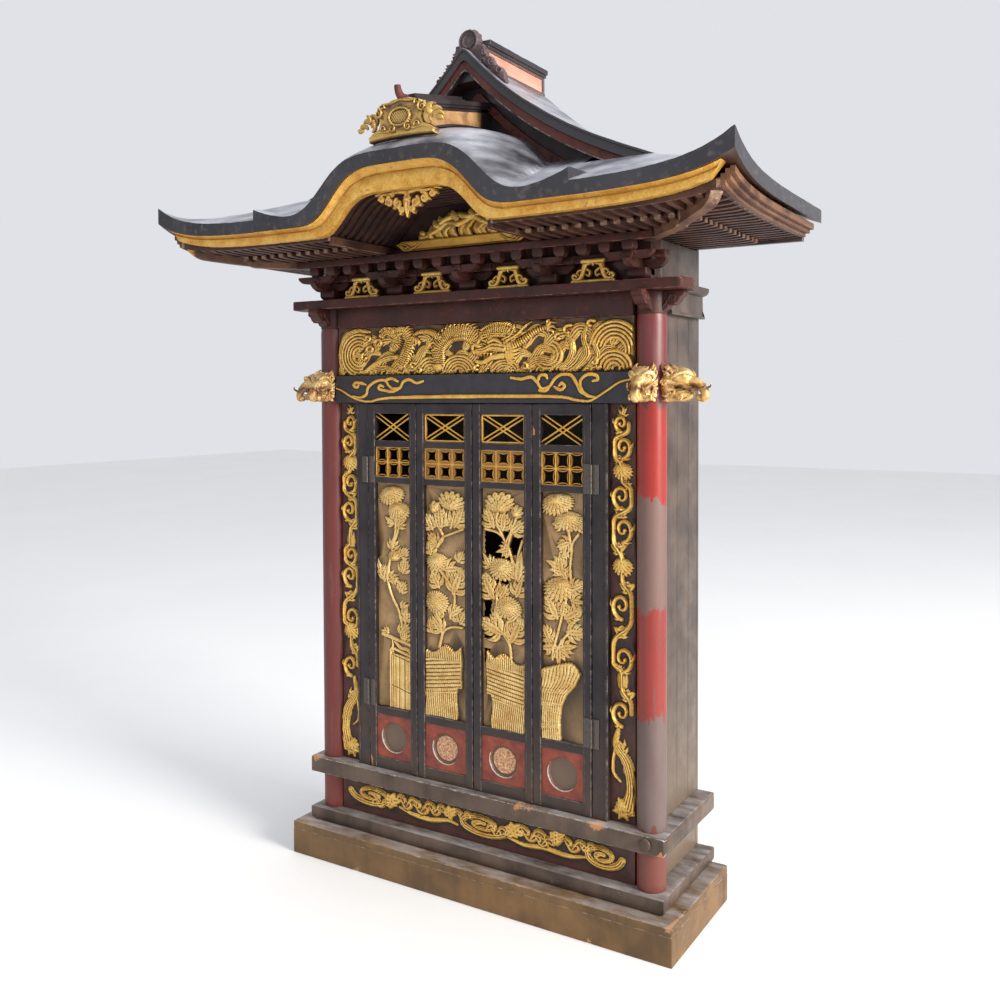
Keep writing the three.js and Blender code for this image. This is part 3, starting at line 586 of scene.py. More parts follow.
    def scroll(self, x: float, z: float, radius: float, angle: float, turns: float, width: float,
               height: float, squash: float = 1, buds: int = 3) -> "Carving":
        """A rolled tendril that ends in a bead, with pointed leaflets on its outer side."""
        line = spiral(x, z, radius, radius * 0.2, angle, turns, squash)
        self.stroke(line, [width, width, width * 0.8, width * 0.55], [height, height, height * 0.85], 2, 0.22)
        end = line[-1]
        self.stroke([end, end + 0.1], [width * 0.85], [height * 1.05])
        for bud in range(buds):
            i = int(len(line) * (0.05 + 0.16 * bud))
            way = (line[i + 1] - line[i]) / (np.hypot(*(line[i + 1] - line[i])) + 1e-9)
            out = (line[i] - [x, z]) / (np.hypot(*(line[i] - [x, z])) + 1e-9)
            mid = line[i] + out * width * 0.9 + way * width * 0.6
            tip = line[i] + out * width * 1.9 + way * width * 2.6
            self.stroke(smooth([line[i], mid, tip], 8), [width * 0.8, width * 0.7, 0.5],
                        [height, height * 0.9, height * 0.4])
        return self

    def mottled(self, depth: float, scale: float, seed: float) -> "Carving":
        """Hand-cut unevenness: three crossed sines, only where there is carving."""
        x, z = self.x[:, None], self.z[None]
        waves = np.sin(x / scale + seed) * np.sin(z / scale * 1.3 + 2 * seed)
        waves = waves + np.sin((x + z) / scale * 2.1 + seed) * np.sin((x - z) / scale * 1.7)
        self.height = self.height + depth * waves * np.clip(self.height / 4, 0, 1)
        return self

    def softened(self, times: int = 1) -> np.ndarray:
        """The heights after their neighbours' mean, a number of times."""
        h = self.height
        for _ in range(times):
            p = np.pad(h, 1, mode="edge")
            h = (p[:-2, 1:-1] + p[2:, 1:-1] + p[1:-1, :-2] + p[1:-1, 2:] + 2 * h) / 6
        return h

    def hollow(self) -> np.ndarray:
        """How deep each place lies under its surroundings: 0 on crests, 1 in the cuts."""
        near, far = self.softened(3), self.softened(14)
        top = max(self.height.max(), 1)
        return np.clip(0.5 + (far - self.height) / (0.27 * top) + (near - self.height) / (0.22 * top), 0, 1)

    def panel(self, face: float, back: float, border: float = 1.0) -> Shape:
        """The carving on its own ground, with a flat back.

        Args:
            face: y of the ground.
            back: y of the flat back.
            border: Width of the rim that stays at the ground's level.

        Returns:
            The closed panel, with "gilt" 1 on the carving and "hollow" deep in the cuts.
        """
        x, z = np.meshgrid(self.x, self.z, indexing="ij")
        edge = np.minimum(np.minimum(x - self.x[0], self.x[-1] - x),
                          np.minimum(z - self.z[0], self.z[-1] - z))
        h = self.softened() * np.clip(edge / border, 0, 1)
        rows, columns = h.shape
        shape = patch(np.stack([x, face - h, z], -1))
        index = np.arange(rows * columns).reshape(rows, columns)
        corners = np.array([[self.x[i], back, self.z[k]] for i, k in ((0, 0), (-1, 0), (-1, -1), (0, -1))])
        base = rows * columns
        fans = []
        for corner, line in enumerate((index[:, 0], index[-1], index[::-1, -1], index[0, ::-1])):
            fans.append(np.stack([line[1:], line[:-1], np.full(len(line) - 1, base + corner)], -1))
            fans.append(np.array([[line[-1], base + corner, base + (corner + 1) % 4]]))
        lid = np.array([[base, base + 3, base + 2, base + 1]])
        gilt = np.clip(self.height / 1.2, 0, 1).ravel()
        values = {"gilt": np.append(gilt, np.zeros(4)),
                  "hollow": np.append(self.hollow().ravel(), np.ones(4))}
        return Shape(np.vstack([shape.points, corners]), np.vstack([shape.quads, lid]), np.vstack(fans),
                     values)

    def cut_out(self, face: float, back: float, level: float = 0.4, thick: float = 0,
                keep: np.ndarray | None = None) -> Shape:
        """The carving alone, cut along the line where its height passes a level.

        Every grid cell is two triangles; a triangle that the line crosses is trimmed at the points where the
        height between its corners passes the level.

        Args:
            face: y of the plane that heights are measured from.
            back: y of the back.
            level: The height at which the wood is cut.
            thick: How far the back bulges, as a share of the height.
            keep: A field to cut along instead of the heights; kept where above 0.

        Returns:
            The closed carving, with "gilt" 1 and "hollow" deep in the cuts.
        """
        h = self.softened()
        rule = (h - level) if keep is None else keep
        rows, columns = h.shape
        x, z = np.meshgrid(self.x, self.z, indexing="ij")
        data = np.stack([x, z, h, self.hollow(), rule], -1).reshape(-1, 5)
        index = np.arange(rows * columns).reshape(rows, columns)
        a, b, c, d = (index[:-1, :-1], index[1:, :-1], index[1:, 1:], index[:-1, 1:])
        faces = np.concatenate([np.stack([a, b, c], -1).reshape(-1, 3),
                                np.stack([a, c, d], -1).reshape(-1, 3)])
        data, faces = trimmed(data, faces)
        front = np.stack([data[:, 0], face - data[:, 2], data[:, 1]], -1)
        rear = np.stack([data[:, 0], back + thick * (data[:, 2] - level), data[:, 1]], -1)
        body = closed_pair(front, rear, faces, "gilt")
        used = np.zeros(len(data), bool)
        used[faces] = True
        body.values["hollow"] = np.tile(data[used, 3], 2)
        gilt = np.clip(data[used, 2] / 1.2, 0, 1) if keep is not None else np.ones(used.sum())
        body.values["gilt"] = np.tile(gilt, 2)
        return body


def trimmed(data: np.ndarray, faces: np.ndarray) -> tuple[np.ndarray, np.ndarray]:
    """Triangles cut along the line where their last value is 0, keeping the side above it.

    Args:
        data: Values per point; the last one decides.
        faces: Three indexes each.

    Returns:
        The points with the new ones on the line added, and the trimmed triangles.
    """
    above = data[:, -1] > 0
    count = above[faces].sum(1)
    whole = faces[count == 3]
    one, two = faces[count == 1], faces[count == 2]
    one = np.take_along_axis(one, (np.argmax(above[one], 1)[:, None] + np.arange(3)) % 3, 1)
    two = np.take_along_axis(two, (np.argmin(above[two], 1)[:, None] + np.arange(3)) % 3, 1)
    ends = np.concatenate([one[:, [0, 1]], one[:, [0, 2]], two[:, [1, 0]], two[:, [2, 0]]])
    code = ends.min(1) * len(data) + ends.max(1)
    _, first, where = np.unique(code, return_index=True, return_inverse=True)
    p, q = data[ends[first, 0]], data[ends[first, 1]]
    share = (p[:, -1] / (p[:, -1] - q[:, -1] + 1e-12))[:, None]
    fresh = len(data) + where.ravel()
    n1, n2 = len(one), len(two)
    p1, p2, p3, p4 = fresh[:n1], fresh[n1:2 * n1], fresh[2 * n1:2 * n1 + n2], fresh[2 * n1 + n2:]
    pieces = np.concatenate([
        whole, np.stack([one[:, 0], p1, p2], -1),
        np.stack([p3, two[:, 1], two[:, 2]], -1), np.stack([p3, two[:, 2], p4], -1)])
    return np.vstack([data, p + (q - p) * share]), pieces


# ---------------------------------------------------------------- finishes


def paint(red: int, green: int, blue: int) -> tuple[float, float, float, float]:
    """A colour as mixed on screen, 0 to 255, turned into light: ((c + 0.055) / 1.055)^2.4."""
    light = [((c / 255 + 0.055) / 1.055) ** 2.4 if c > 10 else c / 255 / 12.92 for c in (red, green, blue)]
    return (*light, 1.0)


Socket = bpy.types.NodeSocket
Colour = tuple[float, float, float, float]


class Graph:
    """A material's nodes, built from patterns on Object coordinates towards one shader."""

    def __init__(self, name: str, **constants: float) -> None:
        """Starts a material with one shader, whose constant values are set on its own sockets."""
        self.material = bpy.data.materials.new(name)
        self.material.use_nodes = True
        self.tree = self.material.node_tree
        self.tree.nodes.clear()
        self.shader = self.tree.nodes.new("ShaderNodeBsdfPrincipled")
        output = self.tree.nodes.new("ShaderNodeOutputMaterial")
        self.tree.links.new(self.shader.outputs[0], output.inputs[0])
        for key, value in constants.items():
            self.shader.inputs[key.replace("_", " ")].default_value = value
        self.place = self.node("ShaderNodeTexCoord").outputs["Object"]

    def node(self, kind: str, **inputs: object) -> bpy.types.Node:
        """A new node, its inputs linked where a socket is given and set where a value is."""
        made = self.tree.nodes.new(kind)
        for key, value in inputs.items():
            self.feed(made.inputs[key.replace("_", " ")], value)
        return made

    def feed(self, into: Socket, value: object) -> None:
        """Links a socket or sets a value."""
        if isinstance(value, bpy.types.NodeSocket):
            self.tree.links.new(value, into)
        else:
            into.default_value = value

    def stretched(self, x: float = 1, y: float = 1, z: float = 1) -> Socket:
        """Object coordinates stretched."""
        return self.node("ShaderNodeMapping", Vector=self.place, Scale=(x, y, z)).outputs[0]

    def noise(self, size: float, detail: float = 4, rough: float = 0.55,
              vector: Socket | None = None) -> Socket:
        """Cloudy noise whose patches are about `size` millimetres wide."""
        made = self.node("ShaderNodeTexNoise", Vector=vector or self.place, Scale=1 / (size * METRES),
                         Detail=detail, Roughness=rough)
        return made.outputs["Fac"]

    def between(self, value: Socket, low: float, high: float, to_low: float = 0,
                to_high: float = 1) -> Socket:
        """A value's way from low to high, clamped and carried to another span."""
        made = self.node("ShaderNodeMapRange", Value=value)
        made.clamp = True
        for slot_name, number in zip(("From Min", "From Max", "To Min", "To Max"),
                                     (low, high, to_low, to_high)):
            made.inputs[slot_name].default_value = number
        return made.outputs[0]

    def sum(self, operation: str, a: object, b: object) -> Socket:
        """One arithmetic step."""
        made = self.tree.nodes.new("ShaderNodeMath")
        made.operation = operation
        self.feed(made.inputs[0], a)
        self.feed(made.inputs[1], b)
        return made.outputs[0]

    def mix(self, share: object, a: object, b: object) -> Socket:
        """From colour a to colour b by a share."""
        made = self.tree.nodes.new("ShaderNodeMix")
        made.data_type = "RGBA"
        self.feed(made.inputs[0], share)
        self.feed(made.inputs[6], a)
        self.feed(made.inputs[7], b)
        return made.outputs[2]

    def value(self, name: str) -> Socket:
        """A value that the mesh carries at its points."""
        made = self.tree.nodes.new("ShaderNodeAttribute")
        made.attribute_name = name
        return made.outputs["Fac"]

    def axis(self, name: str, normal: bool = False) -> Socket:
        """One coordinate of the place, in metres, or of the surface's own direction."""
        source = self.place
        if normal:
            source = self.node("ShaderNodeNewGeometry").outputs["Normal"]
        return self.node("ShaderNodeSeparateXYZ", Vector=source).outputs[name]

    def finish(self, colour: object, rough: object, relief: Socket | None = None, depth: float = 0.4,
               metal: object = None) -> bpy.types.Material:
        """Feeds the shader: colour, roughness, metal and a bump `depth` millimetres high."""
        self.feed(self.shader.inputs["Base Color"], colour)
        self.feed(self.shader.inputs["Roughness"], rough)
        if metal is not None:
            self.feed(self.shader.inputs["Metallic"], metal)
        if relief is not None:
            bump = self.node("ShaderNodeBump", Height=relief, Distance=depth * METRES)
            self.feed(self.shader.inputs["Normal"], bump.outputs[0])
        return self.material


@dataclass(frozen=True)
class Lacquer:
    """Old brushed lacquer: clouded, dusty, dull on worn edges, and bare wood where it has chipped.

    Attributes:
        name: The material's name.
        deep, pale: The two colours that cloud into each other.
        worn: What shows through on rubbed edges.
        under: The coat or wood that shows in scattered flecks.
        flecks: Share of the surface that flecks take.
        faded: Colour towards the foot, where the lacquer has faded.
        faded_to: Height in metres below which it is wholly faded, and above which it is not.
        gloss: The lowest roughness.
        dust: How much pale dust lies on what faces up.
    """

    name: str
    deep: Colour
    pale: Colour
    worn: Colour
    under: Colour
    flecks: float = 0.12
    # faded: Colour towards the foot, a painted reflection of the ground.
    faded: Colour | None = None
    # faded_to: Height in metres below which the painted reflection is whole, and above which there is none.
    faded_to: tuple[float, float] = (0.1, 0.9)
    gloss: float = 0.3
    dust: float = 0.35

    def build(self) -> bpy.types.Material:
        """Makes the material."""
        g = Graph(self.name, Specular_IOR_Level=0.28)
        brush = g.noise(26, 5, 0.6, g.stretched(1, 1, 0.12))
        cloud = g.noise(90, 4)
        grain = g.noise(2.2, 3, 0.7)
        colour = g.mix(g.between(g.sum("ADD", g.sum("MULTIPLY", brush, 0.45), g.sum("MULTIPLY", cloud, 1.4)),
                                 0.72, 1.15),
                       self.deep, self.pale)
        # Painted reflection of the ground: the lacquer turns browner towards the foot.
        if self.faded is not None:
            low, high = self.faded_to
            height = g.sum("ADD", g.axis("Z"), g.between(cloud, 0.3, 0.7, -0.12, 0.12))
            colour = g.mix(g.between(height, low, high, 0.85, 0), colour, self.faded)
        spots = g.between(g.noise(14, 6, 0.72), 0.74 - self.flecks, 0.8 - self.flecks)
        spots = g.sum("MULTIPLY", spots, g.between(g.noise(160, 2), 0.42, 0.62))
        colour = g.mix(spots, colour, self.under)
        rub = g.between(g.sum("ADD", g.value("wear"), g.noise(16, 5, 0.7)), 1.44, 1.66)
        colour = g.mix(rub, colour, self.worn)
        bare = g.between(g.sum("ADD", g.value("bare"), g.noise(5, 3)), 0.95, 1.1)
        colour = g.mix(bare, colour, paint(176, 124, 80))
        up = g.between(g.axis("Z", normal=True), 0.55, 0.98, 0, self.dust)
        dust = g.sum("MULTIPLY", up, g.between(g.noise(34, 5, 0.65, g.stretched(0.35, 1, 1)), 0.35, 0.68))
        colour = g.mix(dust, colour, paint(190, 186, 186))
        rough = g.between(g.noise(40, 5, 0.6), 0.3, 0.7, self.gloss, self.gloss + 0.26)
        rough = g.sum("MAXIMUM", rough,
                      g.sum("MULTIPLY", g.sum("MAXIMUM", g.sum("MAXIMUM", rub, bare), dust), 0.7))
        relief = g.sum("ADD", g.sum("MULTIPLY", grain, 0.25),
                       g.sum("SUBTRACT", brush, g.sum("MULTIPLY", spots, 0.5)))
        return g.finish(colour, rough, relief, 0.5)


@dataclass(frozen=True)
class Gilding:
    """Gold leaf on carved wood: bright on the crests, rubbed to size and wood, darker in the cuts by dirt and
    painted shade.

    Attributes:
        name: The material's name.
        gold, rich: Leaf on the crests, and darker leaf on the slopes, where it is painted shade.
        cut: Colour of the deep cuts, as dirt and painted shade.
        ground: Colour of the ground where "gilt" is 0.
        ground_pale: The ground's second colour.
        shade: Painted shade on the ground close beside carving.
        worn: Share of the leaf that is rubbed away.
    """

    name: str
    gold: Colour = field(default_factory=lambda: paint(226, 184, 88))
    rich: Colour = field(default_factory=lambda: paint(196, 140, 52))
    cut: Colour = field(default_factory=lambda: paint(84, 46, 18))
    ground: Colour = field(default_factory=lambda: paint(56, 38, 30))
    ground_pale: Colour = field(default_factory=lambda: paint(80, 54, 38))
    shade: Colour = field(default_factory=lambda: paint(26, 16, 12))
    worn: float = 0.1

    def build(self) -> bpy.types.Material:
        """Makes the material."""
        g = Graph(self.name, Specular_IOR_Level=0.5)
        cloud = g.noise(30, 5, 0.6)
        fine = g.noise(4, 4, 0.7)
        hollow = g.value("hollow")
        gold = g.mix(g.between(g.sum("ADD", cloud, fine), 0.75, 1.25), self.rich, self.gold)
        # Painted shade: the slopes turn to the rich colour, and the deep cuts to the cut colour, which is
        # dirt too.
        gold = g.mix(g.between(hollow, 0.42, 0.64, 0, 0.75), gold, self.rich)
        gold = g.mix(g.between(g.sum("ADD", hollow, g.sum("MULTIPLY", fine, 0.2)), 0.64, 0.92), gold,
                     self.cut)
        rubbed = g.between(g.noise(9, 5, 0.7), 0.72 - self.worn, 0.78 - self.worn)
        rubbed = g.sum("MULTIPLY", rubbed, g.between(g.noise(70, 2), 0.4, 0.6))
        gold = g.mix(rubbed, gold, g.mix(fine, paint(120, 70, 34), paint(186, 140, 104)))
        ground = g.mix(g.between(cloud, 0.35, 0.65), self.ground, self.ground_pale)
        # Painted shade on the ground close beside the carving.
        ground = g.mix(g.between(hollow, 0.56, 0.95, 0, 0.9), ground, self.shade)
        gilt = g.between(g.sum("ADD", g.value("gilt"), g.between(fine, 0.3, 0.7, -0.2, 0.2)), 0.3, 0.6)
        leaf = g.sum("MULTIPLY", gilt, g.sum("SUBTRACT", 1, rubbed))
        colour = g.mix(gilt, ground, gold)
        rough = g.sum("SUBTRACT", g.between(fine, 0.25, 0.75, 0.5, 0.66), g.sum("MULTIPLY", leaf, 0.12))
        metal = g.sum("MULTIPLY", leaf, g.between(hollow, 0.45, 0.8, 0.6, 0.1))
        relief = g.sum("ADD", g.sum("MULTIPLY", fine, 0.5), g.noise(12, 3))
        return g.finish(colour, rough, relief, 0.5, metal)


@dataclass(frozen=True)
class Band:
    """A stretch of a column with its own colour: from which height in metres, and how glossy."""

    foot: float
    colour: Colour
    rough: float


@dataclass(frozen=True)
class ColumnLacquer:
    """Red lacquer on a column, whose coats are lost at different heights.

    Attributes:
        name: The material's name.
        bands: Stretches from the foot up.
        ragged: How far, in metres, a stretch's edge wanders.
    """

    name: str
    bands: tuple[Band, ...]
    ragged: float = 0.012

    def build(self) -> bpy.types.Material:
        """Makes the material."""
        g = Graph(self.name, Specular_IOR_Level=0.5)
        torn = g.noise(16, 5, 0.7, g.stretched(1, 1, 0.35))
        height = g.sum("ADD", g.axis("Z"), g.between(torn, 0.3, 0.7, -2 * self.ragged, 2 * self.ragged))
        colour, rough = self.bands[0].colour, self.bands[0].rough
        for band in self.bands[1:]:
            share = g.between(height, band.foot - 0.0015, band.foot + 0.0015)
            colour = g.mix(share, colour, band.colour)
            rough = g.sum("ADD", g.sum("MULTIPLY", g.sum("SUBTRACT", 1, share), rough),
                          g.sum("MULTIPLY", share, band.rough))
        cloud = g.noise(60, 5, 0.6, g.stretched(1, 1, 0.3))
        colour = g.mix(g.between(cloud, 0.45, 0.75, 0, 0.35), colour, paint(72, 30, 26))
        flecks = g.between(g.noise(4, 5, 0.75), 0.6, 0.66)
        flecks = g.sum("MULTIPLY", flecks, g.between(g.noise(55, 3), 0.45, 0.6))
        colour = g.mix(flecks, colour, paint(150, 44, 34))
        streak = g.between(g.noise(12, 4, 0.6, g.stretched(1, 1, 0.06)), 0.56, 0.7, 0, 0.6)
        colour = g.mix(streak, colour, paint(96, 70, 66))
        relief = g.sum("ADD", g.sum("MULTIPLY", flecks, -0.4), cloud)
        return g.finish(colour, rough, relief, 0.5)


@dataclass(frozen=True)
class RoofLacquer:
    """Dark roof lacquer, with a painted bluish reflection of the sky in streaks down the slopes that face up.
    """

    name: str = "roof_lacquer"

    def build(self) -> bpy.types.Material:
        """Makes the material."""
        g = Graph(self.name, Specular_IOR_Level=0.4)
        cloud = g.noise(120, 5, 0.6)
        streak = g.noise(60, 6, 0.58, g.stretched(0.7, 0.22, 1))
        edge = g.mix(g.between(cloud, 0.35, 0.7), paint(32, 30, 35), paint(50, 48, 54))
        edge = g.mix(g.between(g.noise(24, 5, 0.7), 0.64, 0.74, 0, 0.35), edge, paint(78, 66, 60))
        # Painted reflection of the pale sky, in streaks, on the faces that point up.
        bloom = g.mix(g.between(streak, 0.26, 0.74), paint(104, 104, 116), paint(192, 194, 202))
        up = g.between(g.sum("ADD", g.axis("Z", normal=True), g.between(streak, 0.3, 0.7, -0.15, 0.15)), 0.55,
                       0.95)
        colour = g.mix(up, edge, bloom)
        rub = g.between(g.sum("ADD", g.value("wear"), g.noise(15, 4, 0.65)), 1.3, 1.6)
        colour = g.mix(rub, colour, paint(98, 88, 84))
        under = g.between(g.axis("Z", normal=True), -0.2, -0.7)
        colour = g.mix(under, colour, paint(62, 40, 30))
        rough = g.between(g.noise(60, 5, 0.6), 0.3, 0.7, 0.24, 0.42)
        return g.finish(colour, rough, g.sum("ADD", streak, g.sum("MULTIPLY", g.noise(3, 3), 0.3)), 0.5)


@dataclass(frozen=True)
class Timber:
    """Unpainted or thinly stained wood with long grain.

    Attributes:
        name: The material's name.
        dark, light: Colours of the grain.
        along: The axis that the grain runs along.
        stain: A colour that covers it in part.
        cover: Share that the stain covers.
    """

    name: str
    dark: Colour
    light: Colour
    along: str = "X"
    stain: Colour = field(default_factory=lambda: paint(70, 34, 28))
    cover: float = 0.5

    def build(self) -> bpy.types.Material:
        """Makes the material."""
        g = Graph(self.name, Specular_IOR_Level=0.4)
        stretch = {"x": 1.0, "y": 1.0, "z": 1.0}
        stretch[self.along.lower()] = 0.05
        grain = g.noise(7, 6, 0.65, g.stretched(**stretch))
        wide = g.noise(45, 3, 0.5, g.stretched(**stretch))
        colour = g.mix(g.between(g.sum("ADD", grain, wide), 0.75, 1.25), self.dark, self.light)
        stain = g.between(g.noise(70, 5, 0.6), 0.62 - 0.4 * self.cover, 0.78 - 0.4 * self.cover, 0, 0.9)
        colour = g.mix(stain, colour, self.stain)
        rub = g.between(g.sum("ADD", g.value("wear"), g.noise(10, 4, 0.65)), 1.3, 1.6)
        colour = g.mix(rub, colour, g.mix(grain, paint(134, 104, 84), paint(170, 140, 116)))
        bare = g.between(g.sum("ADD", g.value("bare"), g.noise(5, 3)), 0.85, 1.05)
        colour = g.mix(bare, colour, paint(196, 138, 84))
        return g.finish(colour, g.between(grain, 0.3, 0.7, 0.5, 0.72), grain, 0.4)


@dataclass(frozen=True)
class Iron:
    """Dark worked metal, browned in spots."""

    name: str = "iron"

    def build(self) -> bpy.types.Material:
        """Makes the material."""
        g = Graph(self.name)
        rust = g.between(g.noise(6, 5, 0.7), 0.5, 0.65)
        colour = g.mix(rust, paint(92, 88, 84), paint(86, 58, 42))
        metal = g.sum("SUBTRACT", 0.85, g.sum("MULTIPLY", rust, 0.6))
        return g.finish(colour, g.between(g.noise(12, 4), 0.3, 0.7, 0.38, 0.6), g.noise(3, 4), 0.3, metal)


# ---------------------------------------------------------------- workshop

BLACK = Lacquer("black_lacquer", deep=paint(36, 30, 32), pale=paint(54, 46, 48), worn=paint(132, 122, 118),
                under=paint(80, 54, 42), flecks=0.08, faded=paint(86, 70, 56), faded_to=(0.12, 0.42),
                gloss=0.26, dust=0.3)
BROWN = Lacquer("brown_lacquer", deep=paint(92, 70, 46), pale=paint(122, 92, 58), worn=paint(160, 142, 118),
                under=paint(60, 42, 34), flecks=0.1, gloss=0.34, dust=0.55)
GREY = Lacquer("grey_lacquer", deep=paint(64, 52, 44), pale=paint(96, 80, 68), worn=paint(178, 168, 160),
               under=paint(96, 66, 48), flecks=0.08, gloss=0.32, dust=0.6)
UMBER = Lacquer("umber_lacquer", deep=paint(44, 24, 20), pale=paint(68, 34, 28), worn=paint(142, 92, 78),
                under=paint(104, 34, 26), flecks=0.16, gloss=0.38, dust=0.3)
WALL = Lacquer("wall_lacquer", deep=paint(58, 49, 45), pale=paint(84, 72, 64), worn=paint(150, 140, 132),
               under=paint(64, 48, 40), flecks=0.1, faded=paint(112, 96, 80), faded_to=(0.12, 0.6), gloss=0.3,
               dust=0.3)
ROOF = RoofLacquer()
GOLD = Gilding("gilding")
GOLD_ON_RED = Gilding("gilding_on_red", gold=paint(238, 202, 112), rich=paint(202, 152, 66),
                      ground=paint(62, 28, 22), ground_pale=paint(80, 42, 32))
GOLD_ON_BLACK = Gilding("gilding_on_black", ground=paint(30, 27, 33), ground_pale=paint(46, 42, 48),
                        worn=0.12)
GOLD_ON_WOOD = Gilding("gilding_on_board", gold=paint(240, 212, 142), rich=paint(194, 148, 78),
                       cut=paint(74, 48, 24), ground=paint(144, 112, 72), ground_pale=paint(168, 134, 90),
                       shade=paint(52, 36, 22), worn=0.06)
GOLD_WORN = Gilding("gilding_worn", gold=paint(232, 198, 110), rich=paint(200, 150, 66), worn=0.2)
RAFTER = Timber("rafter_wood", dark=paint(58, 34, 26), light=paint(88, 54, 40), along="Y",
                stain=paint(50, 26, 22), cover=0.5)
MOULDING = Timber("moulding_wood", dark=paint(78, 52, 36), light=paint(118, 82, 58), along="Y",
                  stain=paint(64, 38, 28), cover=0.35)
IRON = Iron()

RIGHT_BANDS = (Band(0, paint(104, 52, 42), 0.5), Band(0.242, paint(98, 82, 78), 0.55),
               Band(0.48, paint(128, 38, 28), 0.34), Band(0.706, paint(106, 80, 74), 0.6),
               Band(0.936, paint(140, 34, 24), 0.32), Band(1.134, paint(98, 36, 36), 0.42))
LEFT_BANDS = (Band(0, paint(108, 42, 34), 0.5), Band(0.242, paint(96, 32, 27), 0.42),
              Band(1.134, paint(80, 30, 28), 0.45))
COLUMN_FINISH = {Side.RIGHT: ColumnLacquer("column_lacquer_right", RIGHT_BANDS),
                 Side.LEFT: ColumnLacquer("column_lacquer_left", LEFT_BANDS)}


# Reliefs with more faces than DENSE are thinned to RELIEF_SHARE of them, which keeps the total in bounds.
DENSE = 5000
RELIEF_SHARE = 0.37
# Edges of boards sharper than this angle, in degrees, are shown hard.
BOARD_EDGE = 34


class Workshop:
    """Turns shapes into pieces of the scene, with their finishes and bodies."""

    def __init__(self) -> None:
        """Starts with an empty shelf of finishes."""
        self.finishes: dict[str, bpy.types.Material] = {}
        self.triangles = 0

    def material(self, finish: object) -> bpy.types.Material:
        """A finish's material, made once."""
        if finish.name not in self.finishes:
            self.finishes[finish.name] = finish.build()
        return self.finishes[finish.name]

    def publish(self, name: str, parts: Shape | Sequence[Shape], finish: object,
                replaces: Sequence[str] = (), body: str = "cabinet", sharp: float = 40) -> bpy.types.Object:
        """Adds one piece.

        Args:
            name: The piece's name.
            parts: Closed shapes in millimetres.
            finish: One of the finishes.
            replaces: CAD nodes that it stands for.
            body: The CAD body that it rides on.
            sharp: Angle in degrees from which an edge is shown hard.

        Returns:
            The piece's object.
        """
        shape = parts if isinstance(parts, Shape) else Shape.joined(parts)
        mesh = bpy.data.meshes.new(name)
        mesh.vertices.add(len(shape.points))
        mesh.vertices.foreach_set("co", (shape.points * METRES).astype(np.float32).ravel())
        corners = np.concatenate([shape.quads.ravel(), shape.triangles.ravel()])
        sizes = np.concatenate([np.full(len(shape.quads), 4), np.full(len(shape.triangles), 3)])
        mesh.loops.add(len(corners))
        mesh.loops.foreach_set("vertex_index", corners.astype(np.int32))
        mesh.polygons.add(len(sizes))
        starts = np.concatenate([[0], np.cumsum(sizes)[:-1]])
        mesh.polygons.foreach_set("loop_start", starts.astype(np.int32))
        mesh.polygons.foreach_set("use_smooth", np.ones(len(sizes), bool))
        mesh.update(calc_edges=True)
        mesh.validate()
        for key, numbers in shape.values.items():
            layer = mesh.attributes.new(key, "FLOAT", "POINT")
            layer.data.foreach_set("value", numbers.astype(np.float32))
        mesh.materials.append(self.material(finish))
        made = bpy.data.objects.new(name, mesh)
        bpy.context.scene.collection.objects.link(made)
        if "gilt" in shape.values and len(sizes) > DENSE:
            self.thin(made, RELIEF_SHARE)
        made.data.set_sharp_from_angle(angle=math.radians(sharp))
        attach(made, body)
        if replaces:
            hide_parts(*replaces)
        made.data.calc_loop_triangles()
        self.triangles += len(made.data.loop_triangles)
        LOG.info("%s: %d triangles", name, len(made.data.loop_triangles))
        return made

    @staticmethod
    def thin(made: bpy.types.Object, share: float) -> None:
        """Collapses the flattest edges of a dense relief until a share of its faces is left."""
        made.modifiers.new("thin", "DECIMATE").ratio = share
        shown = made.evaluated_get(bpy.context.evaluated_depsgraph_get())
        dense, made.data = made.data, bpy.data.meshes.new_from_object(shown)
        made.modifiers.clear()
        name = dense.name
        bpy.data.meshes.remove(dense)
        made.data.name = name


def bars(paths: np.ndarray, width: float, height: float, taper: float = 1.0) -> Shape:
    """Many square bars at once, each hanging below its own path.

    At each station the section is a rectangle, square to the path in plan, its top edge on the path.

    Args:
        paths: Points as (bars, stations, 3).
        width: Width across the path.
        height: How far it hangs down.
        taper: Height at the first station over the rest.

    Returns:
        All bars as one shape, with "wear" 1 at the first station.
    """
    count, stations = paths.shape[:2]
    along = np.gradient(paths, axis=1)
    across = np.stack([-along[..., 1], along[..., 0], 0 * along[..., 0]], -1)
    across *= 0.5 * width / (np.linalg.norm(across, axis=-1, keepdims=True) + 1e-9)
    down = np.zeros_like(paths)
    down[..., 2] = height * np.concatenate([[taper], np.ones(stations - 1)])[None]
    ring = np.stack([paths - across, paths + across, paths + across - down, paths - across - down], 2)
    index = np.arange(count * stations * 4).reshape(count, stations, 4)
    after = np.roll(index, -1, 2)
    quads = np.stack([index[:, :-1], index[:, 1:], after[:, 1:], after[:, :-1]], -1).reshape(-1, 4)
    first, last = index[:, 0], index[:, -1][:, ::-1]
    wear = np.zeros((count, stations, 4))
    wear[:, 0] = 1
    return Shape(ring.reshape(-1, 3), np.vstack([quads, first, last]),
                 values={"wear": wear.ravel()}).outward()


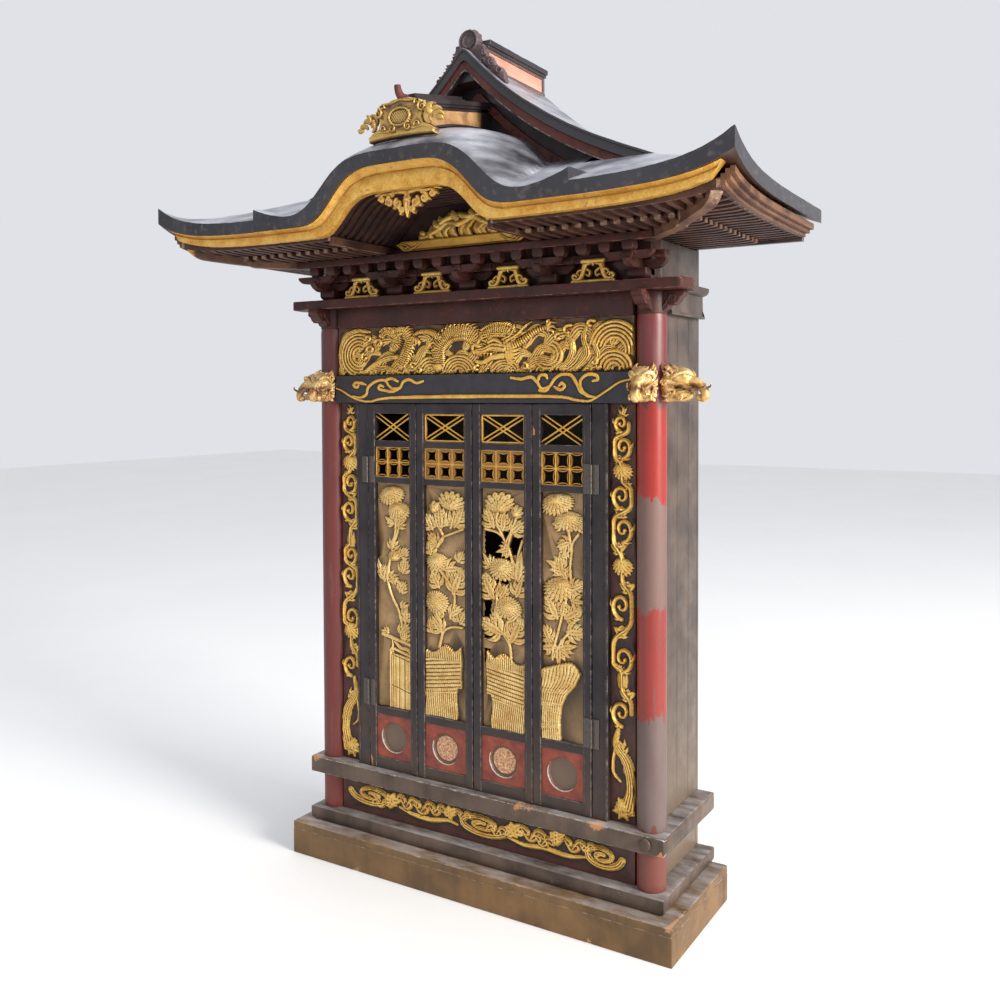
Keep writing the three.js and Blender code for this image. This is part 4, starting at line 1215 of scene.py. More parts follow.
def plate(outline: Points, y0: float, y1: float, rounding: float = 1.2) -> Shape:
    """A flat outline of x and z that widens with no overhang, as thick as y0 to y1, with eased edges.

    The outline is two chains of the same length: its first half up the right, its second half back down
    the left. Rows between the chains' points fill it.
    """
    p = np.asarray(outline, float)
    half = len(p) // 2
    right, left = p[:half], p[half:][::-1]
    middle = (right + left) / 2
    size = np.hypot(*(right - left).T)[:, None] + 1e-6
    rows = []
    for y, ease in ((y0, rounding), (y0 + rounding, 0), (y1 - rounding, 0), (y1, rounding)):
        shrink = 1 - 2 * ease / np.maximum(size, 4 * ease + 1e-6)
        pair = np.stack([middle + (left - middle) * shrink, middle + (right - middle) * shrink], 1)
        pair[0, :, 1] += ease
        pair[-1, :, 1] -= ease
        rows.append(np.concatenate([pair[:, 0], pair[::-1, 1]]))
        rows[-1] = np.stack([rows[-1][:, 0], np.full(len(rows[-1]), y), rows[-1][:, 1]], -1)
    grid = np.stack(rows)
    skin = patch(grid, close_v=True)
    count = len(p)
    k = np.arange(half - 1)
    mirror = count - 1 - k
    face = np.stack([k, k + 1, mirror - 1, mirror], -1)
    lids = np.vstack([face, face[:, ::-1] + 3 * count])
    return Shape(skin.points, np.vstack([skin.quads, lids])).outward()


def bearing_block(x: float, y: float, z: float, width: float, height: float) -> Shape:
    """A bearing block: a square section whose side goes in by a quarter circle towards the foot."""
    t = np.array([0.0, 0.02, 0.12, 0.22, 0.32, 0.4, 0.46, 0.96, 1.0])
    waist = np.interp(t, [0, 0.46], [1, 0])
    half = width / 2 * (1 - 0.34 * waist**1.8) * np.interp(t, [0, 0.02, 0.96, 1], [0.96, 1, 1, 0.97])
    corner = np.array([[-1, -0.9], [-0.9, -1], [0.9, -1], [1, -0.9], [1, 0.9], [0.9, 1], [-0.9, 1],
                       [-1, 0.9]])
    grid = np.zeros((len(t), 8, 3))
    grid[..., :2] = half[:, None, None] * corner + [x, y]
    grid[..., 2] = (z + t * height)[:, None]
    made = capped(patch(grid, close_v=True), len(t), 8)
    return made.with_value("wear", np.append(np.repeat(np.where(t > 0.9, 0.9, 0.45), 8), [0, 0.5]))


def bracket_arm(x: float, y: float, z: float, width: float, height: float, thick: float = 16) -> Shape:
    """A boat-shaped arm: its underside rises by a quarter circle over its last third towards both ends."""
    u = np.linspace(-1, 1, 25)
    rise = height * 0.72 * np.clip((np.abs(u) - 0.62) / 0.38, 0, 1) ** 2
    grid = np.zeros((25, 6, 3))
    px = x + u * width / 2
    section = ((-1, 0, 0), (-1, 1, 1), (-0.86, 1, 0), (0.86, 1, 0), (1, 1, 1), (1, 0, 0))
    for k, (dy, top, ease) in enumerate(section):
        grid[:, k, 0] = px
        grid[:, k, 1] = y + dy * thick / 2
        grid[:, k, 2] = z + height - 1.2 * ease if top else z + rise
    made = capped(patch(grid, close_v=True), 25, 6)
    return made.with_value("wear", np.append(np.tile([0.6, 0.9, 0.9, 0.9, 0.9, 0.6], 25), [0.5, 0.5]))


# ---------------------------------------------------------------- base and cabinet


@dataclass(frozen=True)
class ColumnPlace:
    """Place and size of the right column; the left one mirrors it."""

    x: float = 431.6
    y: float = 27.7
    radius: float = 31.5


COLUMN = ColumnPlace()


@dataclass
class Base:
    """Plinth, step, apron and ledge.

    Attributes:
        half: Half the plinth's width.
        front: The plinth's front.
        back: The flat back of the whole shrine.
        height: The plinth's height.
        wall: Thickness of the plinth's boards.
        step_half: Half the width of the step and of the ledge.
        step_front: Their front.
        ledge: Heights of the ledge's underside and top.
    """

    half: float = 509
    front: float = -51
    back: float = 280
    height: float = 80
    wall: float = 26
    step_half: float = 477.5
    step_front: float = -18
    ledge: tuple[float, float] = (202.8, 241.3)

    def build(self, shop: Workshop) -> None:
        """Makes all pieces of the base."""
        self.plinth(shop)
        self.step(shop)
        self.apron(shop)
        self.shelf(shop)

    def plinth(self, shop: Workshop) -> None:
        """Four boards on edge under a wide board, chipped at the front corners."""
        h, f, b, w, top = self.half, self.front, self.back, self.wall, self.height
        chips = [Chip(-498, 6, 4, 3), Chip(-300, 12, 2, 0), Chip(120, 18, 2, 3), Chip(499, 8, 5, 3),
                 Chip(-120, 9, 2, 3), Chip(330, 10, 2.4, 0), Chip(-498, 6, 4, 0), Chip(499, 7, 4, 0)]
        front = board(-h, h, f, f + w, 0, top - 17.8, 1.4, 0.5, [c for c in chips if c.corner == 0])
        head = board(-h, h, f, b, top - 18, top, 2.2, 0.3, [c for c in chips if c.corner == 3])
        sides = [board(0, w, f + w, b - w, 0, top - 17.8, 1.4, 0.5, [Chip(40, 20, 2, 0)]).moved(x)
                 for x in (-h, h - w)]
        rear = board(-h, h, b - w, b, 0, top - 17.8, 1.4, 0.4)
        shop.publish("plinth_boards", [front, head, rear, *sides], BROWN, ["plinth"])

    def step(self, shop: Workshop) -> None:
        """A coved moulding: a profile of fillet, quarter hollow and flat, mitred round three sides."""
        h, f, b = self.step_half, self.step_front, self.back
        a = np.linspace(0, math.pi / 2, 8)
        cove = np.stack([10 - 9.5 * np.sin(a), 80.5 + 10.5 * (1 - np.cos(a))], -1)
        profile = np.vstack([[10, 80.3], cove, [[0.2, 91.4], [0, 93], [0, 111], [0.9, 113.4], [3, 114.4]]])
        path = [(-h, b), (-h, f), (h, f), (h, b)]
        inward = [(1, 0), (1, 1), (-1, 1), (-1, 0)]
        frame = moulding(path, inward, profile, steps=26)
        fill = board(-h + 12, h - 12, f + 12, b - 0.8, 81, 114.3, 0.5)
        foot = [board(-h + 2, h - 2, f + 0.6, f + 5.5, 97.5, 101, 1.6)]
        shop.publish("step_moulding", [frame, fill, *foot], GREY, ["plinth_step"])

    def apron(self, shop: Workshop) -> None:
        """The carved board under the ledge, and the box behind it."""
        art = Carving(-399, 399, 114.7, 202.5, 1.25)
        self.eddy(art, -306, 165, 68, 0.38, 1)
        self.eddy(art, 14, 162, 74, 0.36, -1)
        self.eddy(art, 322, 161, 48, 0.55, -1)
        for x, z, turn, size in ((-243, 164, 12, 29), (-72, 172, 40, 24), (103, 168, -8, 30),
                                 (212, 178, 30, 25)):
            self.star_leaf(art, x, z, turn, size)
        for x, z, reach, lift in ((-196, 168, 40, 16), (-150, 166, 52, 16), (-112, 170, 38, 14),
                                  (-34, 172, 30, 10), (60, 156, 34, 12), (150, 168, 48, 15),
                                  (180, 160, 36, 12), (256, 168, 42, 14), (-276, 150, 30, 9),
                                  (286, 172, 30, 10)):
            self.flourish(art, x, z, reach, lift)
        art.stroke(smooth([(-222, 152), (-180, 143), (-130, 141), (-80, 150), (-52, 146)], 30), [3, 6, 6, 3],
                   [5, 7, 7, 5], 2)
        art.stroke(smooth([(86, 148), (130, 140), (180, 145), (240, 141), (290, 150)], 30), [3, 6, 6, 3],
                   [5, 7, 7, 5], 2)
        shop.publish("apron_carving", art.mottled(0.3, 5, 1).panel(15, 36, 3), GOLD_ON_RED,
                     ["base_front"], sharp=60)
        inner, outer = 420.3, 438.3
        sides = [board(x, x + outer - inner, 60, 261.8, 114.7, 202.5, 1) for x in (-outer, inner)]
        rear = board(-outer, outer, 262, self.back, 114.7, 202.5, 1)
        shop.publish("base_walls", [*sides, rear], WALL, ["base_box"])

    @staticmethod
    def eddy(art: Carving, x: float, z: float, radius: float, squash: float, turn: int) -> None:
        """A flattened whirl of two nested grooved bands."""
        line = spiral(x, z, radius, radius * 0.16, 180 if turn > 0 else 0, 1.9 * turn, squash)
        art.stroke(line, [8.6, 7.6, 6.2, 4.2], [8, 8.4, 8, 7], 3, 0.4)
        art.stroke(smooth([(x + turn * radius * 0.2, z - 2), (x, z + 3), (x - turn * radius * 0.14, z)], 10),
                   [3.5, 4, 2], [7.5, 7.5, 6])

    @staticmethod
    def star_leaf(art: Carving, x: float, z: float, turn: float, size: float) -> None:
        """A five-pointed leaf."""
        for k, reach in enumerate((1, 0.9, 0.8, 0.85, 0.95, 0.7)):
            a = math.radians(turn + 60 * k)
            tip = (x + size * reach * math.cos(a), z + 0.86 * size * reach * math.sin(a))
            art.stroke([(x, z), tip], [size * 0.26, size * 0.34, size * 0.3, 1.0], [10, 10.5, 10, 7], 1, 0.35)

    @staticmethod
    def flourish(art: Carving, x: float, z: float, reach: float, lift: float) -> None:
        """Three tendrils that roll over one another."""
        for k, hand in enumerate((1, -1, 1)):
            x0 = x - reach * 0.6 + reach * 0.45 * k
            line = smooth([(x0 - reach * 0.4, z - hand * lift * 0.6), (x0, z + hand * lift * 0.8),
                           (x0 + reach * 0.35, z + hand * lift * 0.5),
                           (x0 + reach * 0.38, z - hand * lift * 0.1), (x0 + reach * 0.16, z)], 26)
            art.stroke(line, [3.2, 6, 5.2, 4.4], [6, 8, 8, 7.5], 2, 0.35)

    def shelf(self, shop: Workshop) -> None:
        """The ledge that the cabinet stands on, with its round boss at the right end."""
        h, f, b = self.step_half, self.step_front, self.back
        low, high = self.ledge
        chips = [Chip(-462, 22, 3, 3), Chip(150, 36, 2.4, 3), Chip(-20, 26, 2, 3), Chip(470, 14, 3, 0),
                 Chip(330, 28, 3, 3), Chip(-300, 20, 2, 0)]
        shop.publish("ledge_board", board(-h, h, f, b, low, high, 2.4, 0.5, chips), GREY,
                     ["ledge"])
        lathe = [(0.5, 0), (9.5, 0.2), (12.4, 1.4), (13, 3), (12.6, 4.6), (10.5, 6.6), (6, 7.2), (0.5, 7.3)]
        boss = turned_post(0, 0, lathe, 36).turned(90, "X")
        shop.publish("ledge_boss_turned", boss.moved(437, f - 0.2, 224), BLACK,
                     ["ledge_boss"])


def moulding(path: Points, inward: Points, profile: np.ndarray, steps: int) -> Shape:
    """A profile of [inset, z] carried along a mitred path in plan: each place is path + inset x inward.

    Args:
        path: Corners of x and y.
        inward: The way in at each corner, with mitres as their two sides' sum.
        profile: Insets and heights from the foot up.
        steps: Stations between two corners.

    Returns:
        The closed moulding, with "wear" 1 where the profile stands furthest out.
    """
    at = np.linspace(0, len(path) - 1, steps * (len(path) - 1) + 1)
    whole = np.arange(len(path))
    x, y = (np.interp(at, whole, np.asarray(path, float)[:, k]) for k in (0, 1))
    dx, dy = (np.interp(at, whole, np.asarray(inward, float)[:, k]) for k in (0, 1))
    deep = max(14, profile[:, 0].max() + 4)
    inner = np.concatenate([profile, [[deep, profile[-1, 1]], [deep, profile[0, 1]]]])
    grid = np.stack([x[:, None] + inner[:, 0] * dx[:, None], y[:, None] + inner[:, 0] * dy[:, None],
                     inner[:, 1] + 0 * x[:, None]], -1)
    wear = np.tile((inner[:, 0] < 1.2) * 0.8, len(x))
    made = capped(patch(grid, close_v=True), len(x), len(inner))
    return made.with_value("wear", np.append(wear, [0, 0]))


@dataclass
class Cabinet:
    """Columns, walls, jambs, vine panels, side cornices and the back.

    Attributes:
        foot, cap_foot: Lowest point of the columns and of the carved ends above them.
        wall: x of the outer face of the side walls.
        thick: Their thickness.
        sill: Height of the cabinet's floor.
    """

    foot: float = 114.7
    cap_foot: float = 1317.7
    wall: float = 438.3
    thick: float = 18
    sill: float = 241.6

    def build(self, shop: Workshop) -> None:
        """Makes all pieces of the cabinet."""
        for side in Side:
            self.column(shop, side)
            self.side_wall(shop, side)
            vine = VinePanel(side)
            vine.build(shop)
        self.back(shop)

    def column(self, shop: Workshop, side: Side) -> None:
        """A column with two turned rings near its foot, whose surface wanders by half a millimetre."""
        r = COLUMN.radius
        z = np.linspace(self.foot, self.cap_foot, 120)
        swell = 0.25 * ripple(z, 260, 2.0 + side.value)
        profile = np.stack([r - 0.35 + swell * 0.5, z], -1)
        profile[0, 0] = profile[-1, 0] = r - 1.5
        post = turned_post(side.value * COLUMN.x, COLUMN.y, profile, 48)
        rings = [turned_post(side.value * COLUMN.x, COLUMN.y,
                             [(r - 2, c - 3), (r, c - 1.6), (r + 0.3, c), (r, c + 1.6), (r - 2, c + 3)], 48)
                 for c in (205, 243.5)]
        shop.publish(f"column_{side.word}_turned", [post, *rings], COLUMN_FINISH[side],
                     [f"column_{side.word}"])

    def side_wall(self, shop: Workshop, side: Side) -> None:
        """The side wall with its front post, its cornice, and the jamb that the doors hang from."""
        w, t = self.wall, self.thick
        wall = board(w - t, w, 60, 266.7, self.sill, 1477.4, 1.2, 0.4)
        strip = board(w - 0.5, w + 2.2, 60.4, 84, self.sill, 1364, 0.8, 0.4)
        seams = [board(w - 0.4, w + 0.5, y, y + 1.0, self.sill + 2, 1320, 0.2) for y in (150, 216)]
        shop.publish(f"side_wall_{side.word}", [s.on(side) for s in (wall, strip, *seams)], WALL,
                     [f"wall_{side.word}"])
        fascia = np.array([[9.5, 1322], [9.8, 1326], [15, 1330], [15.2, 1373]])
        crown = np.array([[15.2, 1372], [10, 1374], [5, 1376], [1.4, 1380], [0, 1384], [0, 1389],
                          [1.5, 1391]])
        cornice = [moulding([(w + 24, 85.5), (w + 24, 280)], [(-1, 0), (-1, 0)], profile, 12).on(side)
                   for profile in (fascia, crown)]
        shop.publish(f"cornice_{side.word}", cornice, WALL, [f"side_cornice_{side.word}"])
        face = board(304.5, 340.5, 4, 24, self.sill, 1133.7, 1.4, 0.4)
        bead = board(334, 338.4, 2.6, 5, self.sill, 1133.7, 1.0, 0.4)
        shop.publish(f"door_jamb_{side.word}", [face.on(side), bead.on(side)], BLACK,
                     [f"jamb_{side.word}"])

    def back(self, shop: Workshop) -> None:
        """The flat back: boards side by side up to the roof, cut to the roof's slope, and two battens."""
        zs = np.concatenate([[self.sill, 860, 1479.9, 1480], np.linspace(1516, 1852, 14)])
        shoulders = np.interp(zs, [self.sill, 1479.9, 1480, 1516], [438.3, 438.3, 676, 676])
        d = np.linspace(36, 670, 200)
        under = np.minimum(FORM.slope(d) - 34, 1853)
        slope = np.where(zs > 1516, FORM.span - np.interp(zs, under, d), shoulders)
        half = np.minimum(shoulders, np.maximum(slope, 42))
        outline = [(w, z) for w, z in zip(half, zs)] + [(-w, z) for w, z in zip(half[::-1], zs[::-1])]
        seams = [board(x, x + 1.2, 265.8, 267.4, self.sill, 1470, 0.2) for x in (-219, -73, 73, 219)]
        shop.publish("back_boards", [plate(outline, 267, 280), *seams], WALL, ["back_board"])


@dataclass
class VinePanel:
    """A tall panel beside the doors, carved with a vine of scrolls and chrysanthemums.

    Attributes:
        side: Left or right.
        inner, outer: x of its two edges.
        foot, head: Its heights.
    """

    side: Side
    inner: float = 340.8
    outer: float = 399
    foot: float = 241.6
    head: float = 1133.7

    def build(self, shop: Workshop) -> None:
        """Carves the panel."""
        x0, x1 = sorted((self.side.value * self.inner, self.side.value * self.outer))
        art = Carving(x0, x1, self.foot, self.head, 1.1)
        right = self.side is Side.RIGHT
        mid = self.side.value * (self.inner + self.outer) / 2
        scrolls = [(1092, 17, 1), (1042, 21, -1), (938, 24, 1), (868, 24, -1), (706, 25, 1), (594, 25, -1),
                   (478, 25, 1)] if right else [
            (1086, 18, -1), (1036, 20, 1), (936, 23, -1), (868, 23, 1), (756, 20, -1), (704, 24, 1),
            (600, 26, -1), (480, 24, 1)]
        blooms = [(985, 25), (783, 26)] if right else [(980, 26), (560, 27)]
        stub = 553 if right else 796
        for z, radius, hand in scrolls:
            art.scroll(mid - hand * 2, z, radius * 0.98, -90, -1.2 * hand, 5.0, 10.5, 1.2, 2)
        nodes = [(z, hand * radius * 0.95) for z, radius, hand in scrolls] + [(z, 0) for z, _ in blooms]
        nodes = sorted([*nodes, (stub, 0)], reverse=True)
        knots = [(mid + off * 0.9, z) for z, off in nodes]
        for (xa, za), (xb, zb) in zip(knots, knots[1:]):
            bend = 0.35 * (za - zb)
            line = smooth([(xa, za), (xa * 0.92 + xb * 0.08, za - bend), (xb * 0.9 + xa * 0.1, zb + bend),
                           (xb, zb)], 26)
            art.stroke(line, [4.6, 5.6, 5.8, 5.0], [9, 10.5, 11, 10], 2, 0.3)
            middle = line[13]
            for hand in (-1, 1):
                art.leaf(middle[0] + hand * 4, middle[1] - 2, 90 + hand * 62, min(26, 0.36 * (za - zb)), 9.5,
                         1.9, 1)
        for z, radius in blooms:
            art.bloom(mid, z + 4, radius, 12, 26, 0.82, 0, (0, 0.72), 3)
        art.stroke([(mid, stub - 16), (mid, stub + 14)], [11, 13, 12, 9], [6, 7, 6.5, 4], 3, 0.2)
        self.root(art, mid)
        art.stroke(smooth([(mid, 1112), (mid + 3, 1122), (mid - 4, 1130)], 8), [3, 3, 1.5], [7, 6, 4])
        art.leaf(mid, 1108, 60, 20, 7, 1, 1)
        art.leaf(mid, 1108, 125, 18, 7, 1, 1)
        shop.publish(f"vine_carving_{self.side.word}", art.mottled(0.3, 5, 2).panel(18, 30, 1.5),
                     GOLD_ON_RED, [f"vine_panel_{self.side.word}"], sharp=60)

    def root(self, art: Carving, mid: float) -> None:
        """The big leaf and the root bud that the vine rises from."""
        s = self.side.value
        stalk = smooth([(mid + 14 * s, 275), (mid + 22 * s, 320), (mid + 12 * s, 372), (mid - 14 * s, 408),
                        (mid - 8 * s, 448)], 40)
        art.stroke(stalk, [17, 13, 13, 10, 5], [9, 11, 11, 10, 8], 5, 0.3)
        stem = smooth([(mid - 4 * s, 330), (mid - 20 * s, 346), (mid - 22 * s, 372), (mid - 12 * s, 420)], 30)
        art.stroke(stem, [2, 4, 4, 3], [7, 8, 8, 7], 2, 0.25)
        for k in range(5):
            art.leaf(mid + 4 * s, 352 + 13 * k, 90 - s * (70 - 30 * k), 24, 10, 1.3, 1)
        art.bloom(mid + 2 * s, 274, 24, 10, 12, 0.9, 40, (0.2, 0.35), 3)
        for k in range(7):
            a = math.radians(200 + 46 * k)
            tip = (mid + 2 * s + 25 * math.cos(a), 272 + 23 * math.sin(a))
            art.stroke([(mid + 2 * s, 272), tip], [6, 7, 3], [8, 9, 6], 1, 0.3)


# ---------------------------------------------------------------- doors


@dataclass(frozen=True)
class DishPaint:
    """The square boards at the doors' feet: red with a round dish, and a rubbed gilded disc in some."""

    name: str = "dish_lacquer"

    def build(self) -> bpy.types.Material:
        """Makes the material."""
        g = Graph(self.name, Specular_IOR_Level=0.5)
        cloud = g.noise(30, 5, 0.65)
        red = g.mix(g.between(cloud, 0.35, 0.65), paint(104, 34, 22), paint(146, 66, 42))
        red = g.mix(g.between(g.noise(12, 5, 0.7), 0.58, 0.7, 0, 0.7), red, paint(98, 66, 58))
        dish = g.mix(cloud, paint(92, 70, 52), paint(112, 92, 76))
        colour = g.mix(g.between(g.value("dish"), 0.4, 0.6), red, dish)
        colour = g.mix(g.between(g.sum("ADD", g.value("wear"), g.noise(6, 3)), 1.05, 1.3), colour,
                       paint(176, 166, 158))
        fine = g.noise(5, 5, 0.72)
        leaf = g.mix(g.between(fine, 0.35, 0.62), paint(120, 66, 44), paint(218, 172, 128))
        colour = g.mix(g.between(g.value("gilt"), 0.4, 0.6), colour, leaf)
        return g.finish(colour, g.between(cloud, 0.3, 0.7, 0.4, 0.6), g.sum("ADD", cloud, fine), 0.5)


@dataclass(frozen=True)
class Bloom:
    """A chrysanthemum on a door board: place, radius, height over width, turn, and its petals' pole."""

    x: float
    z: float
    radius: float
    squash: float = 0.7
    turn: float = 0
    pole: tuple[float, float] = (0, 0.3)
    petals: int = 24


@dataclass(frozen=True)
class Spray:
    """What one door board shows above its foot, as seen on the right or left leaf.

    Attributes:
        blooms: Its flowers.
        leaves: x, z, angle, length and pairs of lobes of each leaf.
        stems: Points of each stem.
    """

    blooms: tuple[Bloom, ...]
    leaves: tuple[tuple[float, float, float, float, int], ...]
    stems: tuple[tuple[tuple[float, float], ...], ...]


SPRAYS = {
    (Side.LEFT, Leaf.OUTER): Spray(
        (Bloom(-240, 908, 39, 0.6, 14, (0.1, 0.5), 30), Bloom(-217, 872, 34, 0.66, 6, (0, 0.55), 30),
         Bloom(-231, 766, 20, 0.7, 10, (0, -0.5), 14)),
        ((-232, 842, 150, 30, 1), (-222, 838, 35, 32, 1), (-238, 778, 80, 34, 1), (-214, 764, 40, 30, 2),
         (-206, 724, 75, 36, 2), (-262, 700, 72, 46, 1), (-272, 720, 108, 34, 0), (-240, 712, -30, 26, 1),
         (-216, 678, 55, 30, 2), (-214, 640, 20, 26, 1), (-200, 606, 82, 40, 1), (-214, 574, 50, 36, 2),
         (-200, 560, 80, 30, 1), (-250, 575, 170, 26, 1)),
        (((-226, 862), (-228, 820), (-240, 770), (-252, 712), (-240, 668), (-216, 626), (-204, 566)),
         ((-212, 860), (-222, 820), (-236, 790)), ((-240, 712), (-216, 700), (-206, 676)))),
    (Side.LEFT, Leaf.MIDDLE): Spray(
        (Bloom(-62, 908, 38, 0.62, -4, (0, -0.8), 22), Bloom(-111, 890, 16, 0.95, 0, (0, -0.5), 9),
         Bloom(-106, 758, 32, 0.72, 6, (0.1, 0.3), 24), Bloom(-107, 664, 34, 0.82, 0, (0, 0.15), 26)),
        ((-56, 846, 62, 52, 2), (-92, 842, 96, 46, 2), (-118, 836, 118, 40, 2), (-74, 846, 105, 26, 1),
         (-104, 800, 140, 36, 2), (-122, 776, 100, 34, 2), (-84, 744, 8, 44, 1), (-60, 690, 66, 58, 3),
         (-100, 700, 120, 42, 2), (-70, 636, 30, 40, 2), (-92, 596, 130, 42, 2), (-120, 590, 100, 36, 2),
         (-100, 626, 96, 26, 1), (-46, 764, 60, 30, 2), (-40, 620, 60, 34, 2)),
        (((-62, 896), (-56, 876), (-66, 842)), ((-111, 880), (-104, 850), (-88, 820), (-104, 796)),
         ((-104, 796), (-90, 818), (-62, 830), (-30, 842)), ((-96, 740), (-62, 704), (-56, 668), (-68, 630)),
         ((-100, 560), (-88, 596), (-64, 610), (-34, 612)), ((-107, 640), (-92, 600), (-98, 560)))),
    (Side.RIGHT, Leaf.MIDDLE): Spray(
        (Bloom(68, 912, 40, 0.62, 6, (0, -0.75), 20), Bloom(114, 892, 17, 0.95, 0, (0, -0.5), 10),
         Bloom(74, 757, 38, 0.68, 0, (0.05, 0.25), 24), Bloom(90, 672, 36, 0.74, 0, (0, 0.1), 26)),
        ((52, 852, 112, 50, 2), (76, 846, 84, 42, 2), (100, 842, 40, 40, 2), (94, 806, 195, 34, 1),
         (52, 690, 118, 56, 3), (44, 760, 125, 34, 1), (70, 692, 60, 34, 2), (74, 612, 158, 58, 3),
         (98, 596, 64, 56, 3), (92, 640, 40, 36, 2), (116, 736, 82, 60, 1), (112, 700, 70, 44, 1),
         (60, 640, 100, 30, 1)),
        (((68, 898), (60, 868), (74, 836), (92, 806), (102, 776)),
         ((114, 882), (102, 852), (88, 826), (80, 800)),
         ((30, 847), (58, 842), (74, 834)), ((98, 838), (90, 812), (84, 790)),
         ((128, 826), (116, 790), (110, 740)), ((60, 700), (62, 660), (76, 616), (94, 586), (98, 552)),
         ((88, 640), (92, 600), (98, 560)))),
    (Side.RIGHT, Leaf.OUTER): Spray(
        (Bloom(214, 911, 42, 0.6, 14, (0.15, 0.5), 32), Bloom(245, 876, 37, 0.62, 4, (0, 0.5), 32),
         Bloom(219, 724, 41, 0.66, 10, (0.35, 0.55), 30)),
        ((228, 866, 170, 26, 1), (270, 856, 60, 24, 1), (250, 832, 200, 36, 2), (236, 812, 250, 24, 1),
         (232, 772, 160, 44, 1), (226, 760, 96, 42, 2), (240, 752, 130, 30, 1), (250, 730, 24, 36, 3),
         (250, 706, -4, 34, 1), (216, 662, 118, 52, 3), (234, 664, 30, 44, 3), (232, 700, 262, 34, 2),
         (240, 636, 2, 44, 2), (198, 610, 118, 38, 2), (214, 600, 190, 44, 1), (222, 598, 12, 40, 1),
         (220, 600, 268, 40, 1)),
        (((244, 862), (246, 842), (252, 820), (248, 780), (250, 744)), ((268, 850), (256, 834), (250, 816)),
         ((236, 700), (226, 664), (208, 600)), ((252, 640), (230, 618), (214, 590)),
         ((206, 600), (204, 570)))),
}


# Middles of the lower and upper hinges, and half a hinge's height.
HINGE_HEIGHTS = (426, 972)
HINGE_HALF = 32


